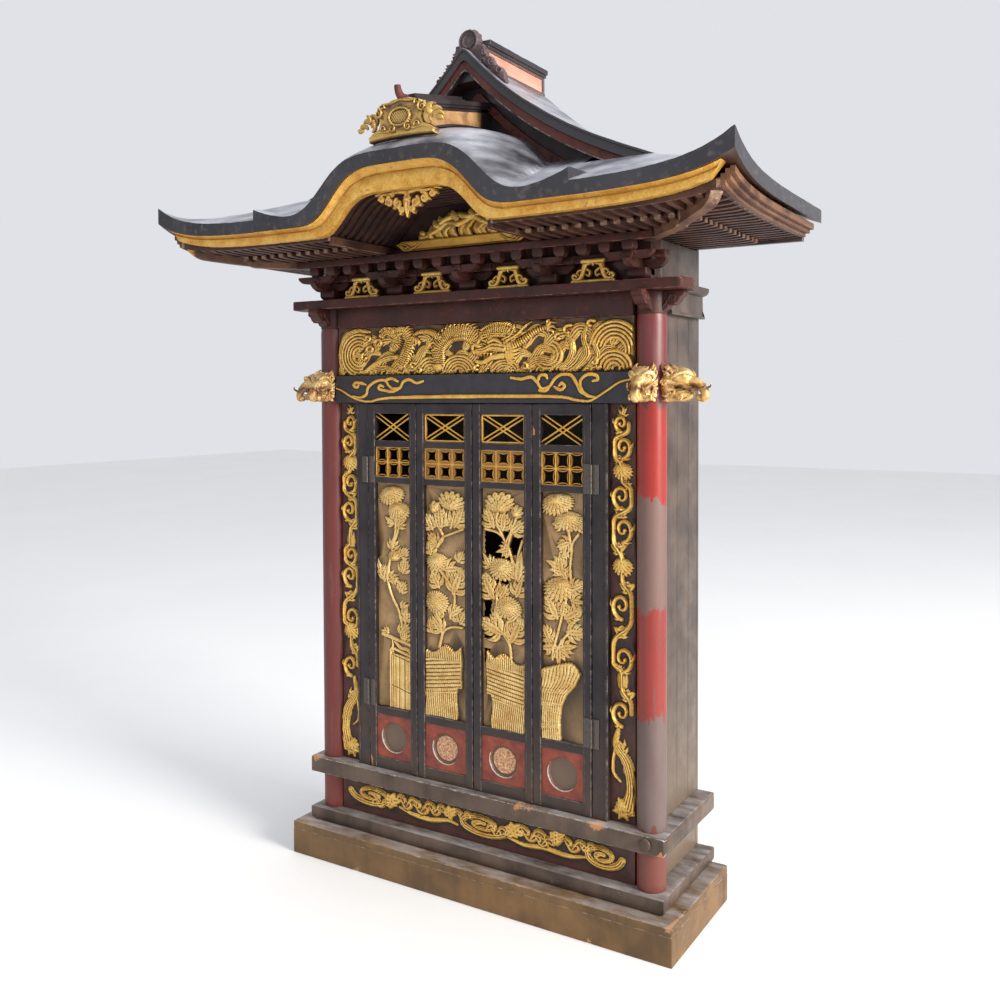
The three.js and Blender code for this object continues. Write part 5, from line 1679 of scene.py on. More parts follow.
@dataclass
class DoorLeaf:
    """One folding leaf: its frame, lattices, carved board and dished square.

    Attributes:
        side, leaf: Which leaf it is.
        stile: Width of its uprights.
        foot, head: Its heights.
        square_z, board_z, grid_z, lattice_z: Heights of the four fields between its rails.
        face, rear: y of its front and back.
    """

    side: Side
    leaf: Leaf
    stile: float = 20
    foot: float = 243
    head: float = 1132
    square_z: tuple[float, float] = (270.3, 374.7)
    board_z: tuple[float, float] = (394.3, 939.7)
    grid_z: tuple[float, float] = (955, 1027)
    lattice_z: tuple[float, float] = (1043, 1108)
    face: float = 2
    rear: float = 22

    @property
    def name(self) -> str:
        """The leaf's name in the frame."""
        return f"{self.side.word}_{self.leaf.value}"

    @property
    def span(self) -> tuple[float, float]:
        """x of its two edges."""
        near, far = (159, 302.5) if self.leaf is Leaf.OUTER else (1.5, 157)
        return (near, far) if self.side is Side.RIGHT else (-far, -near)

    def build(self, shop: Workshop) -> None:
        """Makes all pieces of the leaf."""
        self.frame(shop)
        self.lattice(shop)
        self.grid(shop)
        self.carving(shop)
        self.square(shop)
        self.fittings(shop)

    def frame(self, shop: Workshop) -> None:
        """Two stiles with a bead each, and five rails set a little back."""
        x0, x1 = self.span
        s, body = self.stile, f"leaf_{self.name}"
        broken = (Chip(x1 - 4, 12, 7, 1),) if self.name == "right_outer" else ()
        bitten = (Chip(250, 16, 6, 0),) if self.name == "left_outer" else ()
        nick = (Chip(1080, 9, 3, 0),) if self.name == "right_outer" else ()
        parts = [board(x0, x0 + s, self.face, self.rear, self.foot, self.head, 1.4, 0.45, [*bitten, *nick]),
                 board(x1 - s, x1, self.face, self.rear, self.foot, self.head, 1.4, 0.45)]
        for x in (x0 + s - 5.4, x1 - s + 1.4):
            parts.append(board(x, x + 4, self.face - 0.7, self.face + 1, self.foot + 22, self.head - 18, 0.7,
                               0.3))
        for low, high in ((self.foot, 270), (375, 394), (940, 955), (1027, 1043), (1108, self.head)):
            chips = broken if low == self.foot else ()
            parts.append(board(x0 + s - 1, x1 - s + 1, self.face + 1, self.rear - 1, low, high, 1.4, 0.5,
                               chips))
        if self.leaf is Leaf.MIDDLE:
            edge = x0 if self.side is Side.RIGHT else x1
            parts.append(board(edge - 0.6, edge + 0.6, self.face + 2, self.rear - 2, self.foot, self.head,
                               0.4))
        shop.publish(f"leaf_{self.name}_frame", parts, BLACK, [f"door_{self.name}"], body)

    def lattice(self, shop: Workshop) -> None:
        """Two pairs of crossed gilded slats, in a gilded border on the middle leaves."""
        x0, x1 = self.span
        left, right, low, high = x0 + self.stile, x1 - self.stile, *self.lattice_z
        y = self.face + 8
        parts = []
        for shift in (-9, 9):
            for a, b in ((low, high), (high, low)):
                line = np.array([[left - 2, y, a], [right + 2, y, b]]) + [shift, 0, 0]
                t = np.clip((np.array([left - 1, right + 1]) - line[0, 0]) / (line[1, 0] - line[0, 0]), 0, 1)
                line = line[0] + t[:, None] * (line[1] - line[0])
                parts.append(sweep(smooth(line, 8), [1.9], 6, 0.8))
                y += 0.4
        if self.leaf is Leaf.MIDDLE:
            border = [(left, left + 4, low, high), (right - 4, right, low, high), (left, right, low, low + 4),
                      (left, right, high - 4, high)]
            parts += [board(a, b, self.face + 5.5, self.face + 12, c, d, 1, 0.3) for a, b, c, d in border]
        whole = Shape.joined(parts)
        whole = whole.with_value("gilt", 1).with_value("hollow", 0.3)
        shop.publish(f"leaf_{self.name}_lattice", whole, GOLD, body=f"leaf_{self.name}")

    def grid(self, shop: Workshop) -> None:
        """A pierced plate of three by two openings whose sides bow inwards.

        An opening is where |u + v|^p + |u - v|^p stays under a limit; p below 1 gives its pointed corners.
        """
        x0, x1 = self.span
        left, right, low, high = x0 + self.stile, x1 - self.stile, *self.grid_z
        art = Carving(left, right, low, high, 0.75)
        x, z = art.x[:, None], art.z[None]
        wide, tall = (right - left) / 3, (high - low) / 2
        u = ((x - left) / wide) % 1 * 2 - 1
        v = ((z - low) / tall) % 1 * 2 - 1
        star = (np.abs(u + v) ** 0.62 + np.abs(u - v) ** 0.62) / 2
        opening = 0.66 - star
        if self.leaf is Leaf.OUTER:
            rim = np.minimum((0.93 - np.abs(u)), (0.93 - np.abs(v)))
            opening = np.minimum(rim, np.abs(star - 0.8) - 0.045)
        ridge = (np.exp(-(((1 - np.abs(u)) * wide / 2 / 1.6) ** 2))
                 + np.exp(-(((1 - np.abs(v)) * tall / 2 / 1.6) ** 2)))
        art.height = 3 + 1.5 * np.clip(ridge, 0, 1) + 0.8 * np.exp(-((opening / 0.12) ** 2))
        made = art.cut_out(self.face + 11, self.face + 13, keep=-opening)
        # Painted shade: the less the plate stands out, the darker it is.
        made.values["hollow"] = np.clip(0.75 - 0.16 * (13 - made.points[:, 1] - 3), 0.2, 0.8)
        shop.publish(f"leaf_{self.name}_grid", made, GOLD, body=f"leaf_{self.name}", sharp=60)

    def carving(self, shop: Workshop) -> None:
        """The tall board: a spray of chrysanthemums over a fence, a sheaf or a plank wall."""
        x0, x1 = self.span
        left, right = x0 + self.stile + 0.3, x1 - self.stile - 0.3
        art = Carving(left, right, *self.board_z, 1.15)
        spray = SPRAYS[(self.side, self.leaf)]
        for stem in spray.stems:
            art.stroke(smooth(stem, 40), [3.6, 3.2, 3, 3.2], [7.5, 7, 7.5], 1, 0.25)
        for x, z, angle, length, lobes in spray.leaves:
            art.leaf(x, z, angle, length * 1.12, 9.5 + 1.2 * math.sin(x + z), 1.0, lobes + 1)
        for b in spray.blooms:
            art.bloom(b.x, b.z, b.radius * 1.08, 12.5, b.petals, b.squash, b.turn, b.pole, 4)
        if self.name == "left_outer":
            self.planks(art)
        elif self.name == "right_outer":
            self.sheaf(art)
        else:
            self.fence(art, left, right)
        art.mottled(0.25, 4, 3)
        if self.name == "right_middle":
            made = art.cut_out(self.face + 12, self.face + 16, keep=self.holes(art))
        else:
            made = art.panel(self.face + 12, self.face + 16, 1.2)
        shop.publish(f"leaf_{self.name}_carving", made, GOLD_ON_WOOD,
                     [f"door_carving_{self.name}"], f"leaf_{self.name}", 65)

    @staticmethod
    def holes(art: Carving) -> np.ndarray:
        """Where the ground is broken out between the stems: rounded boxes with ragged sides, cut from 1."""
        x, z = art.x[:, None], art.z[None]
        ragged = 2.2 * ripple(z, 60, 1.0) + 1.6 * ripple(x, 40, 3.0)
        keep = np.full(art.height.shape, 1e3)
        for a, b, low, high in ((25, 100, 776, 846), (92, 126, 790, 834), (23, 44, 596, 704),
                                (50, 90, 724, 742), (24, 40, 536, 572)):
            away = np.maximum(np.maximum(a - x, x - b), np.maximum(low - z, z - high)) + ragged
            keep = np.minimum(keep, away)
        return np.maximum(keep, (art.height - 1.0) * 1.5)

    @staticmethod
    def planks(art: Carving) -> None:
        """The corner of a plank wall under a slanting rail."""
        part = art.window(-243, -179, 394, 540)
        x, z = art.at(part)
        slope = 528 - 0.12 * (x + 243)
        seam = 1 - 0.5 * np.exp(-((((x + 243) % 17) - 8.5) / 0.9) ** 2)
        line = 1 - 0.4 * np.exp(-(((z + 0.25 * x - 360) % 75 - 30) / 1.4) ** 2)
        art.leave(part, (z < slope) * (5.5 + 0.6 * np.sin(x / 2.1)) * seam * line)
        art.stroke([(-243, 396), (-243, 536)], [3.4], [7.5])
        art.stroke([(-268, 571), (-179, 552)], [4.6], [8.5], 1, 0.2)
        art.stroke([(-240, 540), (-179, 524)], [3.6], [7.5], 1, 0.2)
        art.stroke([(-237, 530), (-237, 560)], [2.4], [6])
        art.stroke(smooth([(-232, 556), (-214, 542), (-196, 540), (-184, 530)], 16), [4, 5, 4], [5, 6, 4], 2)

    @staticmethod
    def sheaf(art: Carving) -> None:
        """A sheaf of straw, tied three times: strands by a sine across a width that changes with height."""
        part = art.window(179, 282, 394, 582)
        x, z = art.at(part)
        right = np.interp(z, [394, 440, 470, 496, 520, 548, 576], [226, 224, 228, 240, 262, 276, 280])
        top = 546 + 0.32 * np.clip(x - 175, 0, 80) - 0.02 * np.clip(x - 240, 0, 60) ** 2
        top = top + 2.5 * np.abs(np.sin(x / 2.4))
        u = np.clip((x - 150) / (right - 150), 0, 1)
        strands = np.abs(np.sin(math.pi * (u * 15 + 0.12 * np.sin(z / 11) * (1 + np.cos(x / 9))))) ** 0.6
        tall = 6.5 + 3 * np.sqrt(np.clip(1 - ((u - 0.45) / 0.56) ** 2, 0, 1)) + 1.8 * strands
        for level, size in ((502, 5), (474, 4), (424, 5)):
            tie = level + 0.1 * (x - 200)
            tall = tall + 2.2 * np.exp(-((z - tie) / size) ** 4) * (0.7 + 0.3 * np.cos((x + z) * 1.1))
        art.leave(part, tall * (x < right) * (z < top))

    def fence(self, art: Carving, left: float, right: float) -> None:
        """A brushwood fence: upright sticks below, woven bands, and ragged tips above."""
        s = self.side.value
        part = art.window(left, right, 394, 582)
        x, z = art.at(part)
        w = s * x
        lean = 0.16 * (w - 80)
        edge = 30 + 5 * np.sin(z / 17) + 10 * np.exp(-((z - 505) / 26) ** 2) + 0.15 * (545 - z) * (z < 470)
        stick = np.floor((w + 0.05 * z) / 5.4)
        wave = np.abs(np.sin(math.pi * (w + 0.05 * z + 1.6 * np.sin(z / 23)) / 5.4)) ** 0.6
        jag = 0.5 + 0.5 * np.sin(stick * 12.98)
        top = 546 + 22 * jag * wave + np.clip(56 - w, 0, 40) * 1.1
        band = (z + lean) / 9.0
        weave = np.abs(np.sin(math.pi * band)) ** 0.5
        cross = 0.65 + 0.35 * np.abs(np.sin(math.pi * (w / 5.4 + 0.5 * (np.floor(band) % 2)))) ** 0.7
        woven = np.clip((z - 452) / 6, 0, 1) * np.clip((536 - z) / 5, 0, 1)
        tall = (5.4 + 3.4 * wave * (1 - 0.8 * woven) + woven * (4.2 * weave * cross)
                + 1.2 * np.sin(z / 31 + w / 19))
        rope = np.exp(-(((z + lean * 1.4) - 458) / 4) ** 4) + np.exp(-(((z + lean * 1.4) - 530) / 3.5) ** 4)
        tall = tall + 1.6 * rope * (0.75 + 0.25 * np.cos((x + 1.5 * z) * 0.9))
        art.leave(part, tall * (z < top) * (w > edge))

    def square(self, shop: Workshop) -> None:
        """The square board at the foot: a dish 7 mm deep, whose gilded disc is left on the middle leaves."""
        x0, x1 = self.span
        left, right = x0 + self.stile + 0.3, x1 - self.stile - 0.3
        art = Carving(left, right, *self.square_z, 1.0)
        x, z = art.x[:, None], art.z[None]
        cx, cz = (left + right) / 2, 322.5
        radius = np.hypot(x - cx, z - cz)
        angle = np.arctan2(z - cz, x - cx)
        inside = np.clip((36.5 - radius) / 1.6, 0, 1)
        lip = np.exp(-(((radius - 37) / 1.5) ** 2))
        art.height = -7 * inside + 0.8 * lip
        gilt = np.zeros_like(radius)
        if self.leaf is Leaf.MIDDLE:
            disc = np.clip((31 - radius) / 2, 0, 1)
            rose = (0.8 * np.cos(6 * angle + 3 * np.sin(radius / 5)) * np.sin(radius / 4.6)
                    + 0.6 * np.sin(radius / 2.3))
            art.height = art.height + disc * (3.4 + rose - 0.0012 * radius**2)
            gilt = disc
        made = art.panel(self.face + 4, self.face + 14, 1)
        extra = len(made.points) - gilt.size
        pad = np.zeros(extra)
        made.values["gilt"] = np.append(gilt.ravel(), pad)
        made.values["dish"] = np.append((inside * (1 - gilt)).ravel(), pad)
        made.values["wear"] = np.append((lip * np.clip(0.6 - (z - cz) / 60 - (x - cx) / 90, 0, 1)).ravel(),
                                        pad)
        shop.publish(f"leaf_{self.name}_square", made, DISH, [f"door_square_{self.name}"],
                     f"leaf_{self.name}", 60)

    def fittings(self, shop: Workshop) -> None:
        """Hinge plates let into the outer leaf's stile, and the fold hinges on the backs of the leaves."""
        outer = self.leaf is Leaf.OUTER
        parts = []
        hand = self.side.value
        for z in HINGE_HEIGHTS:
            if outer:
                jamb = sorted((hand * 285, hand * 300.6))
                parts.append(board(*jamb, self.face - 1.5, self.face + 0.3, z - HINGE_HALF, z + HINGE_HALF,
                                   0.8, 0.3))
                parts += [ball((hand * 292, self.face - 1.5, z + k), (2.2, 1, 2.2), 6, 10)
                          for k in (-22, 0, 22)]
            fold = sorted((hand * (159.4 if outer else 156.6), hand * (174 if outer else 142)))
            parts.append(board(*fold, self.rear - 0.3, self.rear + 1.4, z - 30, z + 30, 0.7, 0.3))
            if outer:
                parts.append(turned_post(hand * 158, 25.5, [(0.5, z - 30), (2.8, z - 29.6), (3, z + 29.6),
                                                             (0.5, z + 30)], 14))
        shop.publish(f"leaf_{self.name}_hinge_plates", parts, IRON, body=f"leaf_{self.name}")


DISH = DishPaint()


@dataclass
class JambHinges:
    """The knuckles and jamb plates of the four hinges that the doors hang from.

    Attributes:
        x, y: The axis.
        radius: The knuckles' radius.
    """

    x: float = 304
    y: float = -1.5
    radius: float = 3.4

    def build(self, shop: Workshop) -> None:
        """Makes the four hinges."""
        for side in Side:
            for word, z in zip(("lower", "upper"), HINGE_HEIGHTS):
                ends = np.linspace(z - HINGE_HALF, z + HINGE_HALF, 6)
                profile = [(0.4, ends[0])]
                for a, b in zip(ends, ends[1:]):
                    profile += [(self.radius - 0.6, a + 0.3), (self.radius, a + 1), (self.radius, b - 1),
                                (self.radius - 0.6, b - 0.3)]
                knuckle = turned_post(self.x, self.y, [*profile, (0.4, ends[-1])], 18)
                leaf = board(305.4, 321, 0.9, 3.8, ends[0], ends[-1], 0.8, 0.3)
                nails = [ball((313, 0.9, z + k), (2.2, 1, 2.2), 6, 10) for k in (-22, 0, 22)]
                shop.publish(f"jamb_hinge_{side.word}_{word}", [s.on(side) for s in (knuckle, leaf, *nails)],
                             IRON, [f"hinge_{side.word}_{word}"])


# ---------------------------------------------------------------- beams, frieze and heads


def gilded(parts: Sequence[Shape]) -> Shape:
    """Shapes as one, gilded all over."""
    return Shape.joined(parts).with_value("gilt", 1)


@dataclass
class Beams:
    """The rainbow beam, the dragon frieze, the head beam, the wall plate and the carved column heads.

    Attributes:
        bay: Half the clear width between the columns.
        plate_half: Half the wall plate's length.
    """

    bay: float = 399
    plate_half: float = 525

    def build(self, shop: Workshop) -> None:
        """Makes all the beams."""
        self.rainbow(shop)
        self.frieze(shop)
        chips = [Chip(-180, 12, 1.2, 3), Chip(220, 14, 1.2, 0)]
        shop.publish("head_beam_board", board(-self.bay, self.bay, 5, 40, 1317.6, 1364.7, 1.4, 0.4, chips),
                     UMBER, ["head_beam"])
        self.plate(shop)
        for side in Side:
            self.column_head(shop, side)

    def rainbow(self, shop: Workshop) -> None:
        """The black beam over the doors, with a gilded line that turns up at its ends and gilded scrolls."""
        art = Carving(-self.bay, self.bay, 1134.3, 1199.7, 1.2)
        line = smooth([(-399, 1170), (-378, 1163), (-352, 1150), (-322, 1140), (-290, 1137), (-262, 1143),
                       (-200, 1147), (0, 1149), (180, 1149), (240, 1147), (270, 1141), (300, 1139),
                       (318, 1146), (345, 1162), (372, 1178), (397, 1184)], 160)
        art.stroke(line, [2, 2.4, 3.2, 4.2, 4.2, 4, 4.2, 3.4, 2.4, 2], [1.6, 2, 2.4, 2.4, 2], flat=0.4)
        scrolls = [
            [(-345, 1150), (-322, 1147), (-303, 1154), (-296, 1172), (-272, 1186), (-246, 1188), (-234, 1176),
             (-222, 1168), (-200, 1170), (-190, 1184), (-172, 1189), (-152, 1181), (-132, 1185)],
            [(-303, 1178), (-318, 1182), (-336, 1183), (-342, 1176), (-331, 1172), (-326, 1177)],
            [(-205, 1165), (-226, 1161), (-246, 1164), (-264, 1168), (-260, 1176), (-250, 1173)],
            [(-246, 1188), (-225, 1192), (-206, 1185)],
            [(318, 1147), (298, 1150), (283, 1164), (281, 1182), (297, 1195), (318, 1193), (322, 1184),
             (310, 1181)],
            [(300, 1150), (281, 1158), (272, 1176), (258, 1194), (236, 1196), (218, 1186), (205, 1170),
             (186, 1166), (176, 1178), (160, 1191), (134, 1187), (108, 1190)],
            [(216, 1170), (232, 1163), (243, 1170), (236, 1177), (229, 1172)],
            [(176, 1180), (182, 1194), (196, 1195), (200, 1188)],
            [(205, 1170), (196, 1161), (180, 1162)],
        ]
        for path in scrolls:
            art.stroke(smooth(path, 12 * len(path)), [1.8, 4.0, 3.4, 3.4, 3.8, 2.8], [1.8, 2.6, 2.6, 1.8], 1,
                       0.3)
        body = art.panel(-3.2, 30, 1)
        shop.publish("rainbow_beam_carved", body, GOLD_ON_BLACK, ["rainbow_beam"], sharp=50)

    def frieze(self, shop: Workshop) -> None:
        """A scaled dragon that winds through breaking waves."""
        art = Carving(-self.bay, self.bay, 1200.3, 1317, 1.15)
        sea = DragonFrieze(art)
        sea.depths()
        sea.waves()
        sea.dragon()
        sea.foam()
        art.mottled(0.35, 4, 5)
        shop.publish("dragon_frieze_carved", art.panel(10, 28, 2), FRIEZE_GOLD, ["dragon_frieze"],
                     sharp=65)

    def plate(self, shop: Workshop) -> None:
        """The long plate on the column heads, its ends rounded in plan by half an ellipse."""
        h = self.plate_half
        chips = [Chip(-420, 16, 1.3, 3), Chip(60, 12, 1.2, 3), Chip(350, 14, 1.5, 3)]
        bar = board(-h, h, -30, 59.5, 1365, 1387, 2.2, 0.5, chips)

        def rounded(p: np.ndarray) -> np.ndarray:
            """Both ends drawn in by half an ellipse across the plate."""
            across = np.clip((p[:, 1] - 14.75) / 44.75, -1, 1)
            p[:, 0] -= np.sign(p[:, 0]) * 14 * (1 - np.sqrt(1 - across**2)) * (np.abs(p[:, 0]) > 490)
            return p

        shop.publish("wall_plate_board", bar.bent(rounded), UMBER, ["wall_plate"])

    def column_head(self, shop: Workshop, side: Side) -> None:
        """The top of a column, and the two scrolled beam ends that cross in it."""
        r = COLUMN.radius
        core = turned_post(COLUMN.x, COLUMN.y, [(r - 1.5, 1318), (r - 0.4, 1319), (r - 0.4, 1363.5),
                                                          (r - 1.5, 1364.7)], 48)
        out = self.nosing(74).moved(COLUMN.x, COLUMN.y, 1318)
        forward = self.nosing(80).turned(-90, "Z").moved(COLUMN.x, COLUMN.y, 1318)
        shop.publish(f"column_head_{side.word}", [s.on(side) for s in (core, out, forward)], UMBER,
                     [f"carved_end_{side.word}"])

    @staticmethod
    def nosing(reach: float) -> Shape:
        """A beam end that points along +x, cut to two bulges and a lip, with a scroll on both faces.

        The outline's underside climbs in two waves; the heights are the scroll's ridge on a flat cheek.
        """
        art = Carving(-1, reach + 1, -1, 47.7, 0.9)
        x, z = art.x[:, None], art.z[None]
        t = x / reach
        under = np.interp(t, [0, 0.3, 0.5, 0.56, 0.74, 0.84, 0.9, 1], [0, 1.5, 10, 17, 17.5, 24, 32, 36])
        tip = reach - 3.5 * (1 - np.clip((z - 30) / 8, 0, 1)) - 2 * np.clip((z - 42) / 5, 0, 1)
        rule = np.minimum(np.minimum(z - under, 46.3 - z), np.minimum(tip - x, x + 0.5))
        art.stroke(spiral(reach * 0.68, 31, 11, 2.5, -70, -1.3), [2.2, 1.8], [1.8, 1.6])
        art.stroke(smooth([(reach * 0.1, 8), (reach * 0.34, 12), (reach * 0.5, 24), (reach * 0.58, 38)], 20),
                   [2], [1.6])
        art.height = art.height + np.clip(rule / 2.5, 0, 1)
        return art.cut_out(-12, 12, keep=rule, thick=1)


FRIEZE_GOLD = Gilding("gilding_frieze", gold=paint(238, 202, 112), rich=paint(196, 142, 56),
                      cut=paint(52, 31, 18), ground=paint(64, 41, 24), ground_pale=paint(104, 70, 34),
                      shade=paint(30, 19, 12), worn=0.1)


@dataclass
class DragonFrieze:
    """The strokes of the frieze.

    Attributes:
        art: The carving that they are cut in.
    """

    art: Carving

    def arches(self, x: float, z: float, radii: Sequence[float], start: float, end: float, squash: float = 1,
               height: float = 10, width: float = 5.3) -> None:
        """Nested arcs of water, each rounded, the outer ones higher."""
        a = np.radians(np.linspace(start, end, 26))
        for k, r in enumerate(radii):
            line = np.stack([x + r * np.cos(a), z + squash * r * np.sin(a)], -1)
            tall = height * (0.72 + 0.28 * k / len(radii))
            self.art.stroke(line, [width * 0.7, width, width, width * 0.6],
                            [tall * 0.8, tall, tall, tall * 0.7], 2, 0.2)

    def swell(self, points: Points, width: float, height: float, grooves: int = 6) -> None:
        """A long body of water with grooves along it."""
        self.art.stroke(smooth(points, 40), [width * 0.6, width, width * 0.8, width * 0.35],
                        [height * 0.8, height, height * 0.9, height * 0.6], grooves, 0.42, flat=0.3)

    def depths(self) -> None:
        """Low crowded water that fills the board behind everything else."""
        for k in range(15):
            x = -372 + 53 * k
            z = 1212 + 7 * math.sin(1.9 * k)
            self.swell([(x - 30, z - 8), (x, z + 16 + 8 * math.sin(k)), (x + 22, z + 40), (x + 48, z + 34)],
                       15, 6, 5)
            self.swell([(x - 20, 1262), (x + 6, 1290 + 8 * math.cos(2 * k)), (x + 36, 1284), (x + 30, 1262)],
                       14, 5.6, 4)

    def hook(self, x: float, z: float, radius: float, angle: float, turn: int) -> None:
        """A breaking tip: a small curl that ends in a drop."""
        line = spiral(x, z, radius, radius * 0.35, angle, 0.62 * turn)
        self.art.stroke(line, [4.2, 3.4, 2.8], [10, 11, 10])
        self.art.stroke([line[-1], line[-1] + 0.1], [4], [12])

    def waves(self) -> None:
        """The sea: a great curl at the left, fans of water along the foot, stacked arches at the right."""
        self.arches(-332, 1250, (18, 26, 34, 42, 50), 60, 285, 1.02, 11)
        self.swell([(-384, 1206), (-388, 1250), (-374, 1292), (-340, 1309), (-300, 1306)], 10, 10, 4)
        for k in range(5):
            self.swell([(-322 + 12 * k, 1206 + 4 * k), (-280 + 8 * k, 1228 + 3 * k), (-236 + 8 * k, 1244 - k),
                        (-206 + 6 * k, 1226 - 6 * k)], 7, 9 + 0.4 * k, 3)
        self.swell([(-318, 1208), (-260, 1218), (-200, 1204)], 9, 9, 4)
        self.arches(-118, 1206, (12, 20, 28, 36), 20, 165, 0.9, 8.5)
        self.arches(-38, 1204, (14, 22, 30, 38, 46), 12, 172, 0.82, 9)
        self.arches(86, 1202, (14, 22, 30, 38), 10, 170, 0.72, 8)
        self.swell([(130, 1206), (172, 1228), (220, 1218), (262, 1206)], 12, 8, 5)
        self.arches(196, 1240, (16, 25, 34), 200, 430, 0.9, 8)
        self.swell([(228, 1208), (252, 1232), (256, 1262), (238, 1292)], 9, 9.5, 4)
        self.swell([(262, 1206), (292, 1238), (284, 1276), (296, 1308)], 10, 10, 4)
        self.swell([(288, 1206), (318, 1232), (306, 1272), (318, 1304)], 8, 9, 4)
        self.arches(354, 1206, (14, 23, 32, 40), 4, 176, 0.95, 10)
        self.arches(356, 1246, (26, 34, 42, 50, 58), -12, 165, 1.02, 11.5)
        for x, z, r, a, t in ((-294, 1262, 13, 180, -1), (-312, 1244, 11, 120, 1), (-268, 1276, 14, 160, -1),
                              (-300, 1288, 10, 150, -1), (246, 1290, 13, 60, 1), (300, 1302, 10, 40, 1),
                              (222, 1276, 9, 80, 1), (-168, 1222, 9, 30, 1), (310, 1222, 9, 60, -1),
                              (-150, 1210, 8, 60, -1), (12, 1212, 8, 70, 1), (140, 1214, 9, 100, -1)):
            self.hook(x, z, r, a, t)

    def coil(self, points: Points, width: float, crest: int) -> None:
        """A length of the dragon's body: scales over it, a ribbed belly on one side, spines on the other."""
        line = smooth(points, 46)
        way = np.gradient(line, axis=0)
        out = np.stack([-way[:, 1], way[:, 0]], -1) / (np.hypot(*way.T)[:, None] + 1e-9)
        self.art.stroke(line, [width * 0.8, width, width, width * 0.8], [12, 13.2, 13.2, 12], scales=5.4,
                        cut=0.4)
        belly = line - crest * out * width * 0.72
        self.art.stroke(belly, [width * 0.34], [12.4, 13.4, 12.4], ribs=4.6, cut=0.5)
        for k in range(2, len(line) - 2, 2):
            foot = line[k] + crest * out[k] * width * 0.82
            self.art.stroke([foot, foot + crest * out[k] * width * 0.42 + way[k] * 1.4], [2.4, 0.5],
                            [12.5, 8])

    def dragon(self) -> None:
        """The tail in loops at the left, two arches of the body, and the head that looks down to the left."""
        self.coil([(-262, 1296), (-244, 1306), (-220, 1296), (-214, 1276), (-230, 1264)], 10, 1)
        self.coil([(-222, 1306), (-190, 1306), (-176, 1280), (-190, 1246), (-204, 1222)], 14, 1)
        self.coil([(-96, 1222), (-94, 1262), (-64, 1291), (-20, 1297), (10, 1282), (18, 1256)], 20, 1)
        self.coil([(30, 1284), (58, 1297), (92, 1295), (108, 1280)], 17, 1)
        leg = smooth([(-88, 1286), (-120, 1300), (-152, 1300), (-166, 1290)], 20)
        self.art.stroke(leg, [9, 8, 6, 5], [12, 12, 11, 10], scales=4.6, cut=0.4)
        for k in range(4):
            self.claw(-166 + 4 * k, 1290 - 2 * k, 200 + 26 * k, 17)
        arm = smooth([(108, 1262), (136, 1274), (166, 1292), (196, 1300)], 24)
        self.art.stroke(arm, [11, 9, 8, 6], [12, 13, 12.5, 11], ribs=6, cut=0.45)
        for k in range(4):
            self.claw(198, 1302 - 3 * k, 62 - 34 * k, 20)
        self.claw(-122, 1262, 20, 26)
        self.claw(-110, 1256, -10, 24)
        self.head()

    def claw(self, x: float, z: float, angle: float, length: float) -> None:
        """A hooked claw."""
        a = math.radians(angle)
        tip = (x + length * math.cos(a), z + length * math.sin(a))
        mid = (x + length * 0.6 * math.cos(a + 0.5), z + length * 0.6 * math.sin(a + 0.5))
        self.art.stroke(smooth([(x, z), mid, tip], 10), [3.6, 3.2, 0.6], [11.5, 12, 7])

    def head(self) -> None:
        """Snout, jaws, brow, eye, mane, whiskers and horns."""
        art = self.art
        art.stroke(smooth([(86, 1258), (58, 1262), (34, 1254), (14, 1252)], 24), [15, 13, 10, 9],
                   [13, 13.8, 13.4, 12.5], 3, 0.2)
        art.stroke(smooth([(84, 1240), (54, 1236), (30, 1226), (12, 1228)], 24), [8, 7, 6, 5],
                   [12.5, 12.5, 12, 11], 1)
        art.stroke(smooth([(20, 1262), (10, 1266), (4, 1258), (8, 1248)], 14), [5.5, 6, 5], [14, 14, 13])
        art.stroke(smooth([(46, 1270), (62, 1276), (80, 1268)], 12), [5, 6, 4], [13.6, 14, 13])
        art.stroke([(66, 1264), (66.2, 1264)], [4.6], [14])
        for k in range(4):
            art.stroke([(26 + 9 * k, 1246), (24 + 9 * k, 1239)], [2, 0.7], [12.5, 11])
        for k in range(11):
            a = math.radians(-62 + 15 * k)
            root = (88 + 6 * math.cos(a), 1254 + 14 * math.sin(a))
            tip = (root[0] + 34 * math.cos(a * 0.8), root[1] + 26 * math.sin(a) + 5)
            mid = (root[0] + 18 * math.cos(a), root[1] + 16 * math.sin(a) - 3)
            art.stroke(smooth([root, mid, tip], 12), [4.4, 4, 0.6], [13, 12, 7], 1, 0.3)
        art.stroke(smooth([(84, 1276), (104, 1284), (112, 1300), (110, 1310)], 14), [3.4, 3, 2, 0.8],
                   [14, 13.5, 12, 9])
        art.stroke(smooth([(94, 1272), (122, 1286), (142, 1304), (156, 1313)], 18), [4, 3.6, 3, 1],
                   [14, 14, 13, 10])
        for hand in (0, 1):
            art.stroke(smooth([(14, 1262), (30, 1280 + 6 * hand), (70, 1286 + 4 * hand),
                               (112, 1278 + 9 * hand), (140, 1290)], 30), [1.8, 2, 1.2], [13, 13, 10])

    def foam(self) -> None:
        """Small fingers of spray along the foot and the head of the board."""
        for k in range(46):
            x = -380 + 16.6 * k
            z = 1204 + 3 * math.sin(k * 2.3)
            self.art.stroke(smooth([(x, z), (x + 4, z + 6), (x + 9, z + 5 + 2 * math.sin(k))], 6),
                            [3.2, 2.4, 1.4], [7, 8, 6])


BEAST_GOLD = Gilding("gilding_beast", gold=paint(240, 222, 170), rich=paint(208, 158, 74),
                     cut=paint(78, 44, 22), worn=0.24)


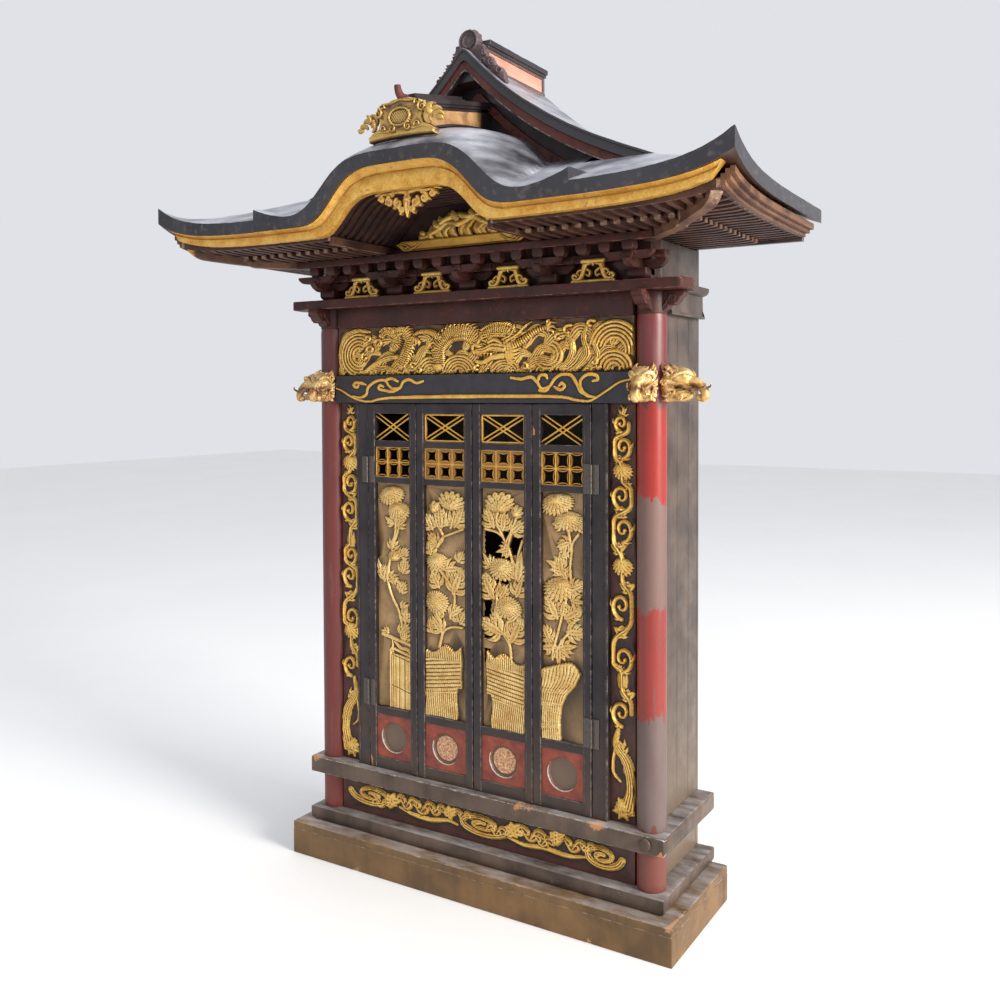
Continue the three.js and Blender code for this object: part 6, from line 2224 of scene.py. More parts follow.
@dataclass
class Beasts:
    """The four gilded long-nosed beasts' heads on the columns.

    Attributes:
        level: Height of the heads' middle.
        front_reach, side_reach: How far the heads stand out.
    """

    level: float = 1172
    front_reach: float = 60
    side_reach: float = 96

    def build(self, shop: Workshop) -> None:
        """Makes the four heads."""
        for side in Side:
            forward = self.head(self.front_reach, 27)
            forward = forward.moved(COLUMN.x - 2, COLUMN.y - COLUMN.radius + 5, self.level)
            shop.publish(f"beast_head_front_{side.word}", forward.on(side), BEAST_GOLD,
                         [f"beast_front_{side.word}"], sharp=70)
            out = self.head(self.side_reach, 25).turned(90, "Z")
            out = out.moved(COLUMN.x + COLUMN.radius - 4, COLUMN.y, self.level)
            shop.publish(f"beast_head_side_{side.word}", out.on(side), BEAST_GOLD,
                         [f"beast_side_{side.word}"], sharp=70)

    @staticmethod
    def head(reach: float, half: float) -> Shape:
        """One head that looks along -y: neck, skull, curled trunk, tusks, ears, curls and mane."""
        r = reach
        parts = [
            ball((0, -0.14 * r, -2), (half * 0.95, 0.2 * r, 34), 14, 22),
            ball((0, -0.38 * r, 12), (half * 0.82, 0.3 * r, 24), 16, 24),
            ball((0, -0.34 * r, -14), (half * 0.78, 0.26 * r, 17), 14, 22),
            sweep(smooth([(0, -0.42 * r, 10), (0, -0.66 * r, 7), (0, -0.82 * r, -3), (0, -0.92 * r, -17),
                          (0, -0.9 * r, -27), (0, -0.8 * r, -27), (0, -0.78 * r, -20)], 42),
                  [half * 0.62, half * 0.46, half * 0.4, half * 0.36, half * 0.36, half * 0.3, half * 0.2],
                  18, 0.92, (6, 0.05)),
            sweep(smooth([(0, -0.3 * r, -22), (0, -0.52 * r, -24), (0, -0.66 * r, -20)], 14),
                  [half * 0.5, half * 0.42, half * 0.2], 14, 0.6),
        ]
        for hand in (-1, 1):
            x = hand * half
            parts += [
                ball((x * 0.66, -0.52 * r, 17), (4.6, 4.6, 4.8), 8, 12),
                sweep(smooth([(x * 0.3, -0.66 * r, 19), (x * 0.66, -0.56 * r, 25), (x * 0.92, -0.38 * r, 22),
                              (x * 0.98, -0.26 * r, 12)], 18), [2.5, 4.6, 4.2, 2], 10, 1, (3, 0.14)),
                sweep(smooth([(x * 0.5, -0.6 * r, -6), (x * 0.62, -0.8 * r, -10), (x * 0.6, -0.97 * r, -4),
                              (x * 0.56, -0.985 * r, 3)], 16), [3.4, 2.9, 2.0, 0.8], 10),
                sweep(smooth([(x * 0.9, -0.18 * r, 2), (x * 0.86, -0.42 * r, 0), (x * 0.66, -0.62 * r, -7),
                              (x * 0.4, -0.74 * r, -8)], 18), [2.4, 4.2, 3.6, 2.4], 10, 1, (3, 0.16)),
                sweep(smooth([(x * 0.84, -0.16 * r, -18), (x * 0.8, -0.4 * r, -20),
                              (x * 0.55, -0.62 * r, -19)], 14), [2.6, 3.8, 2.4], 10, 1, (3, 0.16)),
            ]
            for cy, cz, size, turn in ((-0.2, 20, 11, 1), (-0.24, -12, 12, -1), (-0.08, 3, 8, 1),
                                       (-0.44, -26, 7, 1)):
                a = np.linspace(0, 2.6 * math.pi, 34)
                roll = size * (1 - 0.78 * a / a[-1])
                curl = np.stack([x * (0.86 + 0.06 * a / a[-1]), cy * r + roll * np.cos(a * turn) * 0.9,
                                 cz + roll * np.sin(a * turn)], -1)
                parts.append(sweep(curl, [2.6, 2.8, 2.2, 2.6], 8))
            for k in range(7):
                a = math.radians(-70 + 27 * k)
                root = np.array([x * 0.62 + x * 0.3 * math.cos(a), -0.2 * r, 31 * math.sin(a)])
                mid = root + [x * 0.12, 0.06 * r, 5 * math.sin(a) + 2]
                tip = root + [x * 0.02, 0.17 * r, 9 * math.sin(a) + 5]
                parts.append(sweep(smooth([root + [0, -0.16 * r, -2], root, mid, tip], 14),
                                   [1.6, 4.0, 3.2, 0.7], 8, 0.8, (3, 0.18)))
        for k in range(3):
            a = math.radians(60 + 30 * k)
            root = np.array([half * 0.7 * math.cos(a), -0.26 * r, 32 + 2 * math.sin(a)])
            parts.append(sweep(smooth([root + [0, -0.16 * r, -5], root, root + [0, 0.2 * r, 4]], 12),
                               [1.6, 4.4, 1], 8, 0.8, (3, 0.18)))
        whole = gilded(parts)
        # Painted shade in the "hollow" value: darker at the band between snout and jaw, in stripes like
        # grooves, and towards the underside.
        low = np.exp(-(((np.abs(whole.points[:, 2] + 4)) / 9) ** 2)) * (whole.points[:, 1] < -0.3 * r)
        lines = ripple(whole.points[:, 2] + 0.5 * whole.points[:, 1], 8.5, 1.0)
        under = np.clip((6 - whole.points[:, 2]) / 60, 0, 0.2)
        deep = np.clip(0.36 + 0.3 * low + under + 0.3 * np.clip(lines, -0.4, 1), 0, 1)
        return whole.with_value("hollow", deep)


# ---------------------------------------------------------------- brackets


@dataclass
class Brackets:
    """The bracket sets, the purlin, their back board and the gilded frog-leg struts.

    Attributes:
        foot: Height of the wall plate's top.
        head: Top of the purlin.
        sets: x of the bracket sets.
    """

    foot: float = 1387.3
    head: float = 1477.4
    sets: tuple[float, ...] = (-416, -207, 0, 207, 416)

    def build(self, shop: Workshop) -> None:
        """Makes the bracket band."""
        parts = [board(-420, 420, 20, 32, self.foot, self.head, 0.8),
                 board(-470, 470, -62, -38, 1462, self.head, 1.6),
                 board(-418, 418, -2, 14, 1431, 1447, 1.4)]
        parts += [board(side.value * 421 - 17, side.value * 421 + 17, 8, 59.5, self.foot, self.head, 1.2)
                  for side in Side]
        for x in self.sets:
            parts += self.bracket(x)
        for x in np.linspace(-416, 416, 17):
            parts.append(bearing_block(x, -50, 1441, 25, 21))
        shop.publish("bracket_sets", parts, UMBER, ["bracket_band"])
        for word, x in (("far_left", -312), ("mid_left", -103), ("mid_right", 103), ("far_right", 312)):
            self.frog_leg(shop, word, x)

    def bracket(self, x: float) -> list[Shape]:
        """One set: base block, crossing arms with their own blocks, and a beaked nose to the front."""
        f = self.foot
        parts = [bearing_block(x, 6, f, 44, 24), bracket_arm(x, 6, f + 23, 116, 18),
                 bracket_arm(x, -50, f + 38, 106, 16)]
        parts += [bearing_block(x + k, 6, f + 41, 25, 18) for k in (-46, 0, 46)]
        nose = bracket_arm(0, 0, f + 23, 96, 17).turned(90, "Z").moved(x, -18)
        parts.append(nose)
        for y in (-50, -14):
            parts.append(bearing_block(x, y, f + 38 if y < -30 else f + 40, 24, 15))
        return parts

    def frog_leg(self, shop: Workshop, word: str, x: float) -> None:
        """Two spread legs with curled toes under a cap, on a thin foot."""
        z = self.foot
        art = Carving(x - 51, x + 51, z, z + 51.4, 0.7)
        for hand in (-1, 1):
            outline = ((7, 44), (17, 41), (22, 30), (25, 18), (31, 10), (40, 8), (46, 11), (47, 17), (42, 19),
                       (39, 15))
            leg = [(x + hand * a, z + b) for a, b in outline]
            art.stroke(smooth(leg, 60), [5.4, 5.8, 5.2, 4.4, 3.6, 2.8], [7, 8, 8, 7], 1, 0.25)
            art.stroke(smooth([(x + hand * 21, z + 27), (x + hand * 31, z + 28), (x + hand * 37, z + 22),
                               (x + hand * 33, z + 18)], 14), [3.2, 3.2, 2.6, 2.2], [6.5, 6.5, 6])
            art.stroke(smooth([(x + hand * 15, z + 30), (x + hand * 7, z + 24), (x + hand * 9, z + 15),
                               (x + hand * 15, z + 18)], 14), [2.8, 2.8, 2.4, 2.6], [6.5, 6.5, 6])
        art.stroke([(x - 24, z + 46), (x + 24, z + 46)], [4.8], [9], flat=0.2)
        art.stroke([(x - 48, z + 4), (x + 48, z + 4)], [3.8], [7], flat=0.2)
        art.stroke([(x, z + 44), (x, z + 37)], [5, 1.5], [7, 5])
        shop.publish(f"frog_leg_{word}_carved", art.cut_out(-4, 2, level=1.2), GOLD_WORN,
                     [f"frog_leg_{word}"], sharp=60)


# ---------------------------------------------------------------- roof


@dataclass
class RoofForm:
    """Heights of the roof, in millimetres.

    Attributes:
        span: Half the roof's length.
        front, back: y of the front eave and of the back.
        eave: Height of the eaves' top.
        lift, reach: How far the front corners turn up, and over what distance.
        band: Thickness of the roof's edge.
        wave: Half the length of the waving gable.
        seat: Height of the main ridge's seat.
    """

    span: float = 712
    front: float = -280
    back: float = 280
    eave: float = 1546
    lift: float = 60
    reach: float = 80
    band: float = 30
    wave: float = 398
    seat: float = 1887

    def inset(self, x: np.ndarray, y: np.ndarray) -> tuple[np.ndarray, np.ndarray]:
        """Distances in from the side eave and from the front eave."""
        return self.span - np.abs(x), y - self.front

    def corner(self, x: np.ndarray, y: np.ndarray) -> np.ndarray:
        """Upturn of the front corners: lift times e to minus the summed insets over reach."""
        side, fore = self.inset(x, y)
        return self.lift * np.exp(-(side + fore) / self.reach)

    def slope(self, inward: np.ndarray) -> np.ndarray:
        """Concave slope: the eave plus 0.352 of the way in, plus its fourth power."""
        return self.eave + 0.352 * inward + 5.3e-10 * inward**4

    def edge(self, x: np.ndarray, y: np.ndarray) -> np.ndarray:
        """Thickness of the edge, greater towards the corners."""
        return self.band + 11 * self.corner(x, y) / self.lift

    def long_side(self, x: np.ndarray, y: np.ndarray) -> np.ndarray:
        """The two long slopes, up to the ridge's seat."""
        return np.minimum(self.slope(self.inset(x, y)[0]) + self.corner(x, y), self.seat)

    def hip(self, x: np.ndarray, y: np.ndarray) -> np.ndarray:
        """The hipped slopes: the lower of the side's and the front's."""
        return self.slope(np.minimum(*self.inset(x, y))) + self.corner(x, y)

    def crest(self, x: np.ndarray, y: np.ndarray) -> np.ndarray:
        """The waving gable: a crown e to minus (|x| / 212)^5, upturned ends, rising towards the back."""
        far = np.clip((np.abs(x) - 290) / 108, 0, None)
        line = self.eave + 112 * np.exp(-((np.abs(x) / 212) ** 5)) + 25 * far**1.7
        return line + 100 * np.exp(-((x / 230) ** 2)) * (1 - np.exp(-(y - self.front) / 135))

    def lower_top(self, x: np.ndarray, y: np.ndarray) -> np.ndarray:
        """Top of the lower roof: the hip, or the waving gable where that is higher."""
        return np.where(np.abs(x) < self.wave, np.maximum(self.hip(x, y), self.crest(x, y)), self.hip(x, y))

    def lower_foot(self, x: np.ndarray, y: np.ndarray) -> np.ndarray:
        """Underside of the lower roof."""
        risen = self.crest(x, y) - self.crest(x, 0 * y + self.front)
        arch = self.eave - self.band + 2 + 108 * np.exp(-((np.abs(x) / 186) ** 5)) + 0.8 * risen
        plain = self.hip(x, y) - self.edge(x, y)
        return np.where(np.abs(x) < self.wave, np.maximum(arch, plain), plain)

    @staticmethod
    def vault(x: np.ndarray) -> np.ndarray:
        """Underside of the vault behind the waving gable."""
        return 1490 + 92 * np.exp(-((np.abs(x) / 178) ** 6))

    def board_foot(self, x: np.ndarray) -> np.ndarray:
        """Lower edge of the gilded board."""
        return 1493 + self.corner(x, self.front) * 0.9 + 82 * np.exp(-((np.abs(x) / 170) ** 6))


FORM = RoofForm()
# Distance over which a roof's edge is eased down.
EASE = 2.5


def stations(stops: Sequence[float], pitch: float) -> np.ndarray:
    """Places through all stops, at most a pitch apart."""
    runs = [np.linspace(a, b, max(int(abs(b - a) / pitch), 1), endpoint=False)
            for a, b in zip(stops, stops[1:])]
    return np.append(np.concatenate(runs), stops[-1])


def worn_rim(slab: Shape, rims: Callable[[np.ndarray], np.ndarray]) -> Shape:
    """Wear where a rule says that a rim is near; dents of the upper sheet follow it."""
    return slab.with_value("wear", np.clip(rims(slab.points), 0, 1) * 0.75)


@dataclass
class Roof:
    """The two roofs, the barge boards of the upper gable and the board behind them, and the gilded board.

    Attributes:
        barge_y: Front and back of the upper gable's barge boards.
        half: Half the upper gable's length.
        peak: Its apex.
    """

    barge_y: tuple[float, float] = (-29, -9.3)
    half: float = 480
    peak: float = 1927

    def build(self, shop: Workshop) -> None:
        """Makes the roofs."""
        self.lower(shop)
        self.main(shop)
        self.gable(shop)
        self.gilded_board(shop)

    @staticmethod
    def lower(shop: Workshop) -> None:
        """The front roof with its waving gable."""
        w, span, front = FORM.wave, FORM.span, FORM.front
        xs = stations([-span, -w - 0.2, -w + 0.2, w - 0.2, w + 0.2, span], 7)
        ys = stations([front, front + 6, -29.3, 41.7], 8)

        def rims(p: np.ndarray) -> np.ndarray:
            """Nearness of the eaves and of the waving gable's ends."""
            side, fore = FORM.inset(p[:, 0], p[:, 1])
            near = np.minimum(np.minimum(side, fore), np.abs(np.abs(p[:, 0]) - w))
            return np.exp(-near / 4)

        def top(x: np.ndarray, y: np.ndarray) -> np.ndarray:
            """The roof's top, eased at its edges and a little uneven."""
            side, fore = FORM.inset(x, y)
            eased = 2.2 * np.exp(-fore / EASE) + 1.6 * np.exp(-side / EASE)
            return FORM.lower_top(x, y) - eased - 0.5 * (1 + ripple(x + 0.6 * y, 90, 2.0))

        slab = sheet_between(xs, ys, top, FORM.lower_foot, lambda x, y: (y < -29) | (np.abs(x) < 300))
        shop.publish("roof_lower_shell", worn_rim(slab, rims), ROOF, ["roof_lower"],
                     sharp=BOARD_EDGE)

    def main(self, shop: Workshop) -> None:
        """The long slopes behind."""
        span, back = FORM.span, FORM.back
        xs = stations([-span, -self.half - 0.2, -42, 42, self.half + 0.2, span], 11)
        ys = stations([-29, -9, 60, back - 6, back], 14)

        def top(x: np.ndarray, y: np.ndarray) -> np.ndarray:
            """The slopes' top, eased at its edges and a little uneven."""
            eased = 1.6 * np.exp(-(span - np.abs(x)) / EASE) + 1.2 * np.exp(-(back - y) / EASE)
            return FORM.long_side(x, y) - eased - 0.5 * (1 + ripple(x - 0.4 * y, 110, 5.0))

        slab = sheet_between(xs, ys, top, lambda x, y: FORM.long_side(x, y) - FORM.edge(x, y),
                             lambda x, y: (y > -9) | (np.abs(x) > self.half))
        worn = worn_rim(slab, lambda p: np.exp(-np.minimum(span - np.abs(p[:, 0]), back - p[:, 1]) / 5))
        shop.publish("roof_main_shell", worn, ROOF, ["roof_main"], sharp=BOARD_EDGE)

    def strip(self, above: float, below: float, y0: float, y1: float, half: float,
              wear: float = 0.6) -> Shape:
        """A board that follows the upper gable, between two depths below its slope."""
        xs = stations([-half, 0, half], 9)
        top = np.minimum(FORM.slope(FORM.span - np.abs(xs)), self.peak)
        ring = np.zeros((len(xs), 6, 3))
        section = ((y0 + 1.2, above), (y0, above + 1.2), (y0, below - 1), (y0 + 1, below), (y1, below),
                   (y1, above))
        for k, (y, depth) in enumerate(section):
            ring[:, k] = np.stack([xs, np.full_like(xs, y), top - depth], -1)
        made = capped(patch(ring, close_v=True), len(xs), 6).outward()
        return made.with_value("wear",
                               np.append(np.tile([wear, wear, wear, wear, 0, 0], len(xs)), [0.9, 0.9]))

    def gable(self, shop: Workshop) -> None:
        """Three stepped boards along the upper gable, then the inner boards on the closed wall."""
        y0, y1 = self.barge_y
        shop.publish("gable_barge_outer",
                     [self.strip(0, 7, y0, y1, self.half), self.strip(6, 27, y0 + 2.5, y1, self.half)],
                     ROOF, ["gable_barge"], sharp=BOARD_EDGE)
        shop.publish("gable_barge_inner", self.strip(26.5, 47, y0 + 7, y1, self.half - 6), GABLE_RED,
                     sharp=BOARD_EDGE)
        shop.publish("gable_barge_fillet", self.strip(46.5, 50, y0 + 6, y1, self.half - 8, 1), BLACK,
                     sharp=BOARD_EDGE)
        xs = stations([-298, -42, 42, 298], 8)
        head = np.minimum(FORM.long_side(xs, 0 * xs) - FORM.edge(xs, 0 * xs), FORM.seat - FORM.band) - 1
        wall = closed_pair(
            np.concatenate([np.stack([xs, 0 * xs + 44, 0 * xs + 1641], -1),
                            np.stack([xs, 0 * xs + 44, head], -1)]),
            np.concatenate([np.stack([xs, 0 * xs + 54, 0 * xs + 1641], -1),
                            np.stack([xs, 0 * xs + 54, head], -1)]),
            np.stack([np.arange(len(xs) - 1), np.arange(1, len(xs)), np.arange(1, len(xs)) + len(xs),
                      np.arange(len(xs) - 1) + len(xs)], -1), "wear")
        shop.publish("gable_wall_board", wall.with_value("wear", 0), BLACK, ["gable_wall"])
        inner = [self.strip(84, 104, 34, 42, 255), self.strip(103, 108, 32.5, 42, 250, 0.9)]
        shop.publish("gable_inner_boards", inner, GABLE_RED, sharp=BOARD_EDGE)

    @staticmethod
    def gilded_board(shop: Workshop) -> None:
        """The stepped board under the front eave; its ends lean outward towards the top."""
        u = np.linspace(-1, 1, 441)
        steps = np.array([(0.0, -244), (0.0, -260), (0.03, -261.6), (0.08, -262), (0.3, -262), (0.58, -261.6),
                          (0.61, -260.4), (0.63, -259.4), (0.66, -259.6), (0.7, -261), (0.78, -264.4),
                          (0.86, -268), (0.92, -270.4), (0.97, -271.6), (1.0, -272), (1.0, -244)])
        grid = np.zeros((len(u), len(steps), 3))
        for k, (share, y) in enumerate(steps):
            x = u * (661 + 24 * share)
            foot = FORM.board_foot(x)
            head = FORM.lower_foot(x, 0 * x + min(y, -262)) - 0.6
            drop = 0.52 * (1 + ripple(x, 34, 3.0)) * (share < 0.02)
            grid[:, k] = np.stack([x, 0 * x + y, foot + drop + share * (head - foot)], -1)
        body = gilded([capped(patch(grid, close_v=True), *grid.shape[:2]).outward()])
        share = np.append(np.tile(steps[:, 0], len(u)), [0.5, 0.5])
        x = body.points[:, 0]
        level = body.points[:, 2] - FORM.board_foot(x)
        streaks = 0.16 * ripple(x * 0.1 + 9 * level, 30, 4.0) + 0.12 * ripple(x * 0.22 - 7 * level, 22, 8.0)
        # Painted shade at the step and on the recessed upper strip, which lies under the roof's edge; the
        # streaks are dark wear marks.
        painted_step_shade = 0.3 * np.exp(-(((share - 0.63) / 0.05) ** 2)) + 0.08 * (share > 0.66)
        shop.publish("gilded_barge_board",
                     body.with_value("hollow", np.clip(0.36 + streaks + painted_step_shade, 0, 1)),
                     GOLD_BOARD, ["gilded_barge"], sharp=BOARD_EDGE)


GABLE_RED = Lacquer("gable_red_lacquer", deep=paint(74, 36, 32), pale=paint(98, 52, 46),
                    worn=paint(150, 112, 104), under=paint(54, 34, 34), flecks=0.2, gloss=0.42, dust=0.2)
GOLD_BOARD = Gilding("gilding_board", gold=paint(228, 188, 96), rich=paint(190, 130, 44),
                     cut=paint(122, 66, 24), worn=0.15)


# ---------------------------------------------------------------- eaves


@dataclass
class Eaves:
    """The two tiers of rafters with their boards, the vault with its ribs, mouldings and corner rafters.

    Attributes:
        outer, tier, wall: Insets of the eaves' edge, of the upper tier's foot and of the walls.
        pitch: Distance between rafters.
        width: A rafter's width.
    """

    outer: float = 38.6
    tier: float = 139
    wall: float = 274
    pitch: float = 28
    width: float = 12.5

    def build(self, shop: Workshop) -> None:
        """Makes everything under the eaves."""
        shop.publish("eaves_rafters", [*self.rafters(True), *self.rafters(False)], RAFTER,
                     ["eaves"], sharp=BOARD_EDGE)
        shop.publish("eaves_boards", self.boards(), RAFTER, sharp=BOARD_EDGE)
        shop.publish("eaves_vault", self.vault(), VAULT, sharp=50)
        shop.publish("eaves_mouldings", self.mouldings(), MOULDING, sharp=BOARD_EDGE)
        shop.publish("eaves_corner_rafters", self.corners(), MOULDING, sharp=BOARD_EDGE)

    @staticmethod
    def rise(x: np.ndarray, y: np.ndarray) -> np.ndarray:
        """How far the eaves climb towards a front corner."""
        return 0.9 * FORM.corner(x, y)

    def rafters(self, upper: bool) -> list[Shape]:
        """One tier of rafters, from its own edge in to the wall or to the corner rafter."""
        start, stop, top, height = self.outer, self.tier + 12, 1499.5, 12.5
        if not upper:
            start, stop, top, height = self.tier - 13, self.wall, 1491, 13.3
        made = []
        count = int((FORM.span - start - 20 - 212) / self.pitch)
        across = 212 + self.pitch * np.arange(count + 1)
        ends = np.minimum(stop, FORM.span - across - 13)
        keep = ends > start + 14
        across, ends = across[keep], ends[keep]
        t = np.linspace(0, 1, 7)
        for side in (-1, 1):
            x = side * across[:, None] + 0 * t
            y = FORM.front + start + (ends[:, None] - start) * t
            z = top + self.rise(x, y)
            made.append(bars(np.stack([x, y, z], -1), self.width, height, 0.86))
        along = np.arange(FORM.front + start + 26, 262, self.pitch)
        ends = np.minimum(stop, along - FORM.front - 13)
        keep = ends > start + 14
        along, ends = along[keep], ends[keep]
        for side in (-1, 1):
            inward = start + (ends[:, None] - start) * t
            x = side * (FORM.span - inward)
            y = along[:, None] + 0 * t
            made.append(bars(np.stack([x, y, top + self.rise(x, y)], -1), self.width, height, 0.86))
        return made

    def boards(self) -> list[Shape]:
        """The boards over both tiers, the fascias between them, and the sills beside the vault."""
        front = FORM.front
        xs = stations([-673, -210, 210, 673], 12)
        ys = stations([-241.4, -200, 60, 266.6], 12)
        made = [sheet_between(xs, ys,
                              lambda x, y: 1505.6 + self.rise(x, y), lambda x, y: 1499 + self.rise(x, y),
                              lambda x, y: (np.abs(x) > 210) | (y > -10)),
                sheet_between(stations([-570, 570], 12), stations([-141, 266.6], 12),
                              lambda x, y: 1499.2 + self.rise(x, y), lambda x, y: 1490.6 + self.rise(x, y),
                              lambda x, y: (np.abs(x) > 210) | (y > -10))]
        for side in (-1, 1):
            for inward, foot, head, thick in ((self.tier, 1485, 1499.4, 13),
                                              (self.outer - 0.4, 1489, 1503, 8)):
                x = side * stations([210, FORM.span - inward - thick], 14)
                y = front + inward + thick / 2
                made.append(bars(np.stack([x, 0 * x + y, head + self.rise(x, y)], -1)[None], thick,
                                 head - foot))
                y = stations([front + inward, 266], 14)
                x = side * (FORM.span - inward - thick / 2)
                made.append(bars(np.stack([0 * y + x, y, head + self.rise(x, y)], -1)[None], thick,
                                 head - foot))
            made.append(board(side * 204 - 6, side * 204 + 6, -241.2, -8.5, 1479, 1496, 1.2, 0.9))
        made.append(board(-200, 200, -22, -9, 1479, 1492, 1, 0.8))
        return [m if "wear" in m.values else m.with_value("wear", 0.1) for m in made]

    @staticmethod
    def vault() -> list[Shape]:
        """The vault's boards, and the ribs that follow its curve at even distances."""
        x = np.linspace(-206, 206, 61)
        z = FORM.vault(x)
        y = np.array([-241.4, -8.6])

        def sheet(lift: float) -> np.ndarray:
            """Both edges of a sheet, so far over the vault's underside."""
            return np.stack([np.repeat(x, 2), np.tile(y, 61), np.repeat(z + lift, 2)], -1)

        k = 2 * np.arange(60)
        faces = np.stack([k, k + 2, k + 3, k + 1], -1)
        parts = [closed_pair(sheet(13.6), sheet(8), faces, "wear").with_value("wear", 0.0)]
        for place in np.arange(-232, -12, 24.0):
            path = np.stack([x, 0 * x + place, z + 8.5], -1)
            parts.append(bars(path[None], 11, 8.4).with_value("wear", 0.5))
        back = np.stack([x, 0 * x - 12, z + 8.4], -1)
        foot = np.stack([x, 0 * x - 12, 0 * x + 1479], -1)
        wall = closed_pair(np.concatenate([foot, back]), np.concatenate([foot, back]) + [0, 3, 0],
                           np.stack([np.arange(60), np.arange(1, 61), np.arange(1, 61) + 61,
                                     np.arange(60) + 61], -1), "wear")
        return [*parts, wall.with_value("wear", 0.0)]

    @staticmethod
    def mouldings() -> list[Shape]:
        """Three steps under the side edges, each further out and higher."""
        y = stations([-241.6, -60, 266.8], 9)
        steps = ((673.6, 682.5, 1490, 1508), (682, 691.5, 1497, 1513), (691, 699.8, 1504.5, 1514))
        made = []
        for side in (-1, 1):
            for x0, x1, foot, head in steps:
                x = side * (x0 + x1) / 2 + 0 * y
                top = head + FORM.corner(x, y) * 0.97
                made.append(bars(np.stack([x, y, top], -1)[None], x1 - x0,
                                 head - foot + 0.1 * FORM.corner(x, y).max()))
        return [m.with_value("wear", 0.62) for m in made]

    @staticmethod
    def corners() -> list[Shape]:
        """A diagonal rafter under each tier's corner, its end cut to an upturned nose."""
        made = []
        upper = ((500, -68), (664, -232), 1492.5, 1514, 25, 28)
        lower = ((440, -8), (572, -140), 1490, 1492, 27, 26)
        section = ((-1, 0.05), (-0.9, 0), (0.9, 0), (1, 0.05), (0.9, 1), (-0.9, 1))
        for side in Side:
            for start, end, z0, z1, width, depth in (upper, lower):
                t = np.linspace(0, 1, 22)
                x = start[0] + (end[0] - start[0]) * t
                y = start[1] + (end[1] - start[1]) * t
                top = z0 + (z1 - z0) * t**1.5
                turn = np.clip((t - 0.84) / 0.16, 0, 1)
                grid = np.zeros((22, 6, 3))
                way = np.array([1, 1]) / math.sqrt(2) * width / 2
                for k, (across, low) in enumerate(section):
                    lift = low * (depth - 0.55 * depth * turn**2) - 2 * turn * (1 - low)
                    grid[:, k] = np.stack([x + across * way[0], y + across * way[1], top - lift], -1)
                bar = capped(patch(grid, close_v=True), 22, 6).outward()
                wear = np.append(np.repeat(0.35 + 0.65 * np.clip((t - 0.7) / 0.3, 0, 1), 6), [0.5, 1])
                bar = bar.with_value("wear", wear)
                bare = np.append(np.repeat(0.9 * np.clip((t - 0.9) / 0.08, 0, 1), 6), [0, 0.9])
                made.append(bar.with_value("bare", bare * (side is Side.LEFT) * (depth > 27)).on(side))
        return made


VAULT = Timber("vault_wood", dark=paint(44, 26, 22), light=paint(70, 42, 34), along="Y",
               stain=paint(40, 22, 22), cover=0.5)


# ---------------------------------------------------------------- ridges and ornaments


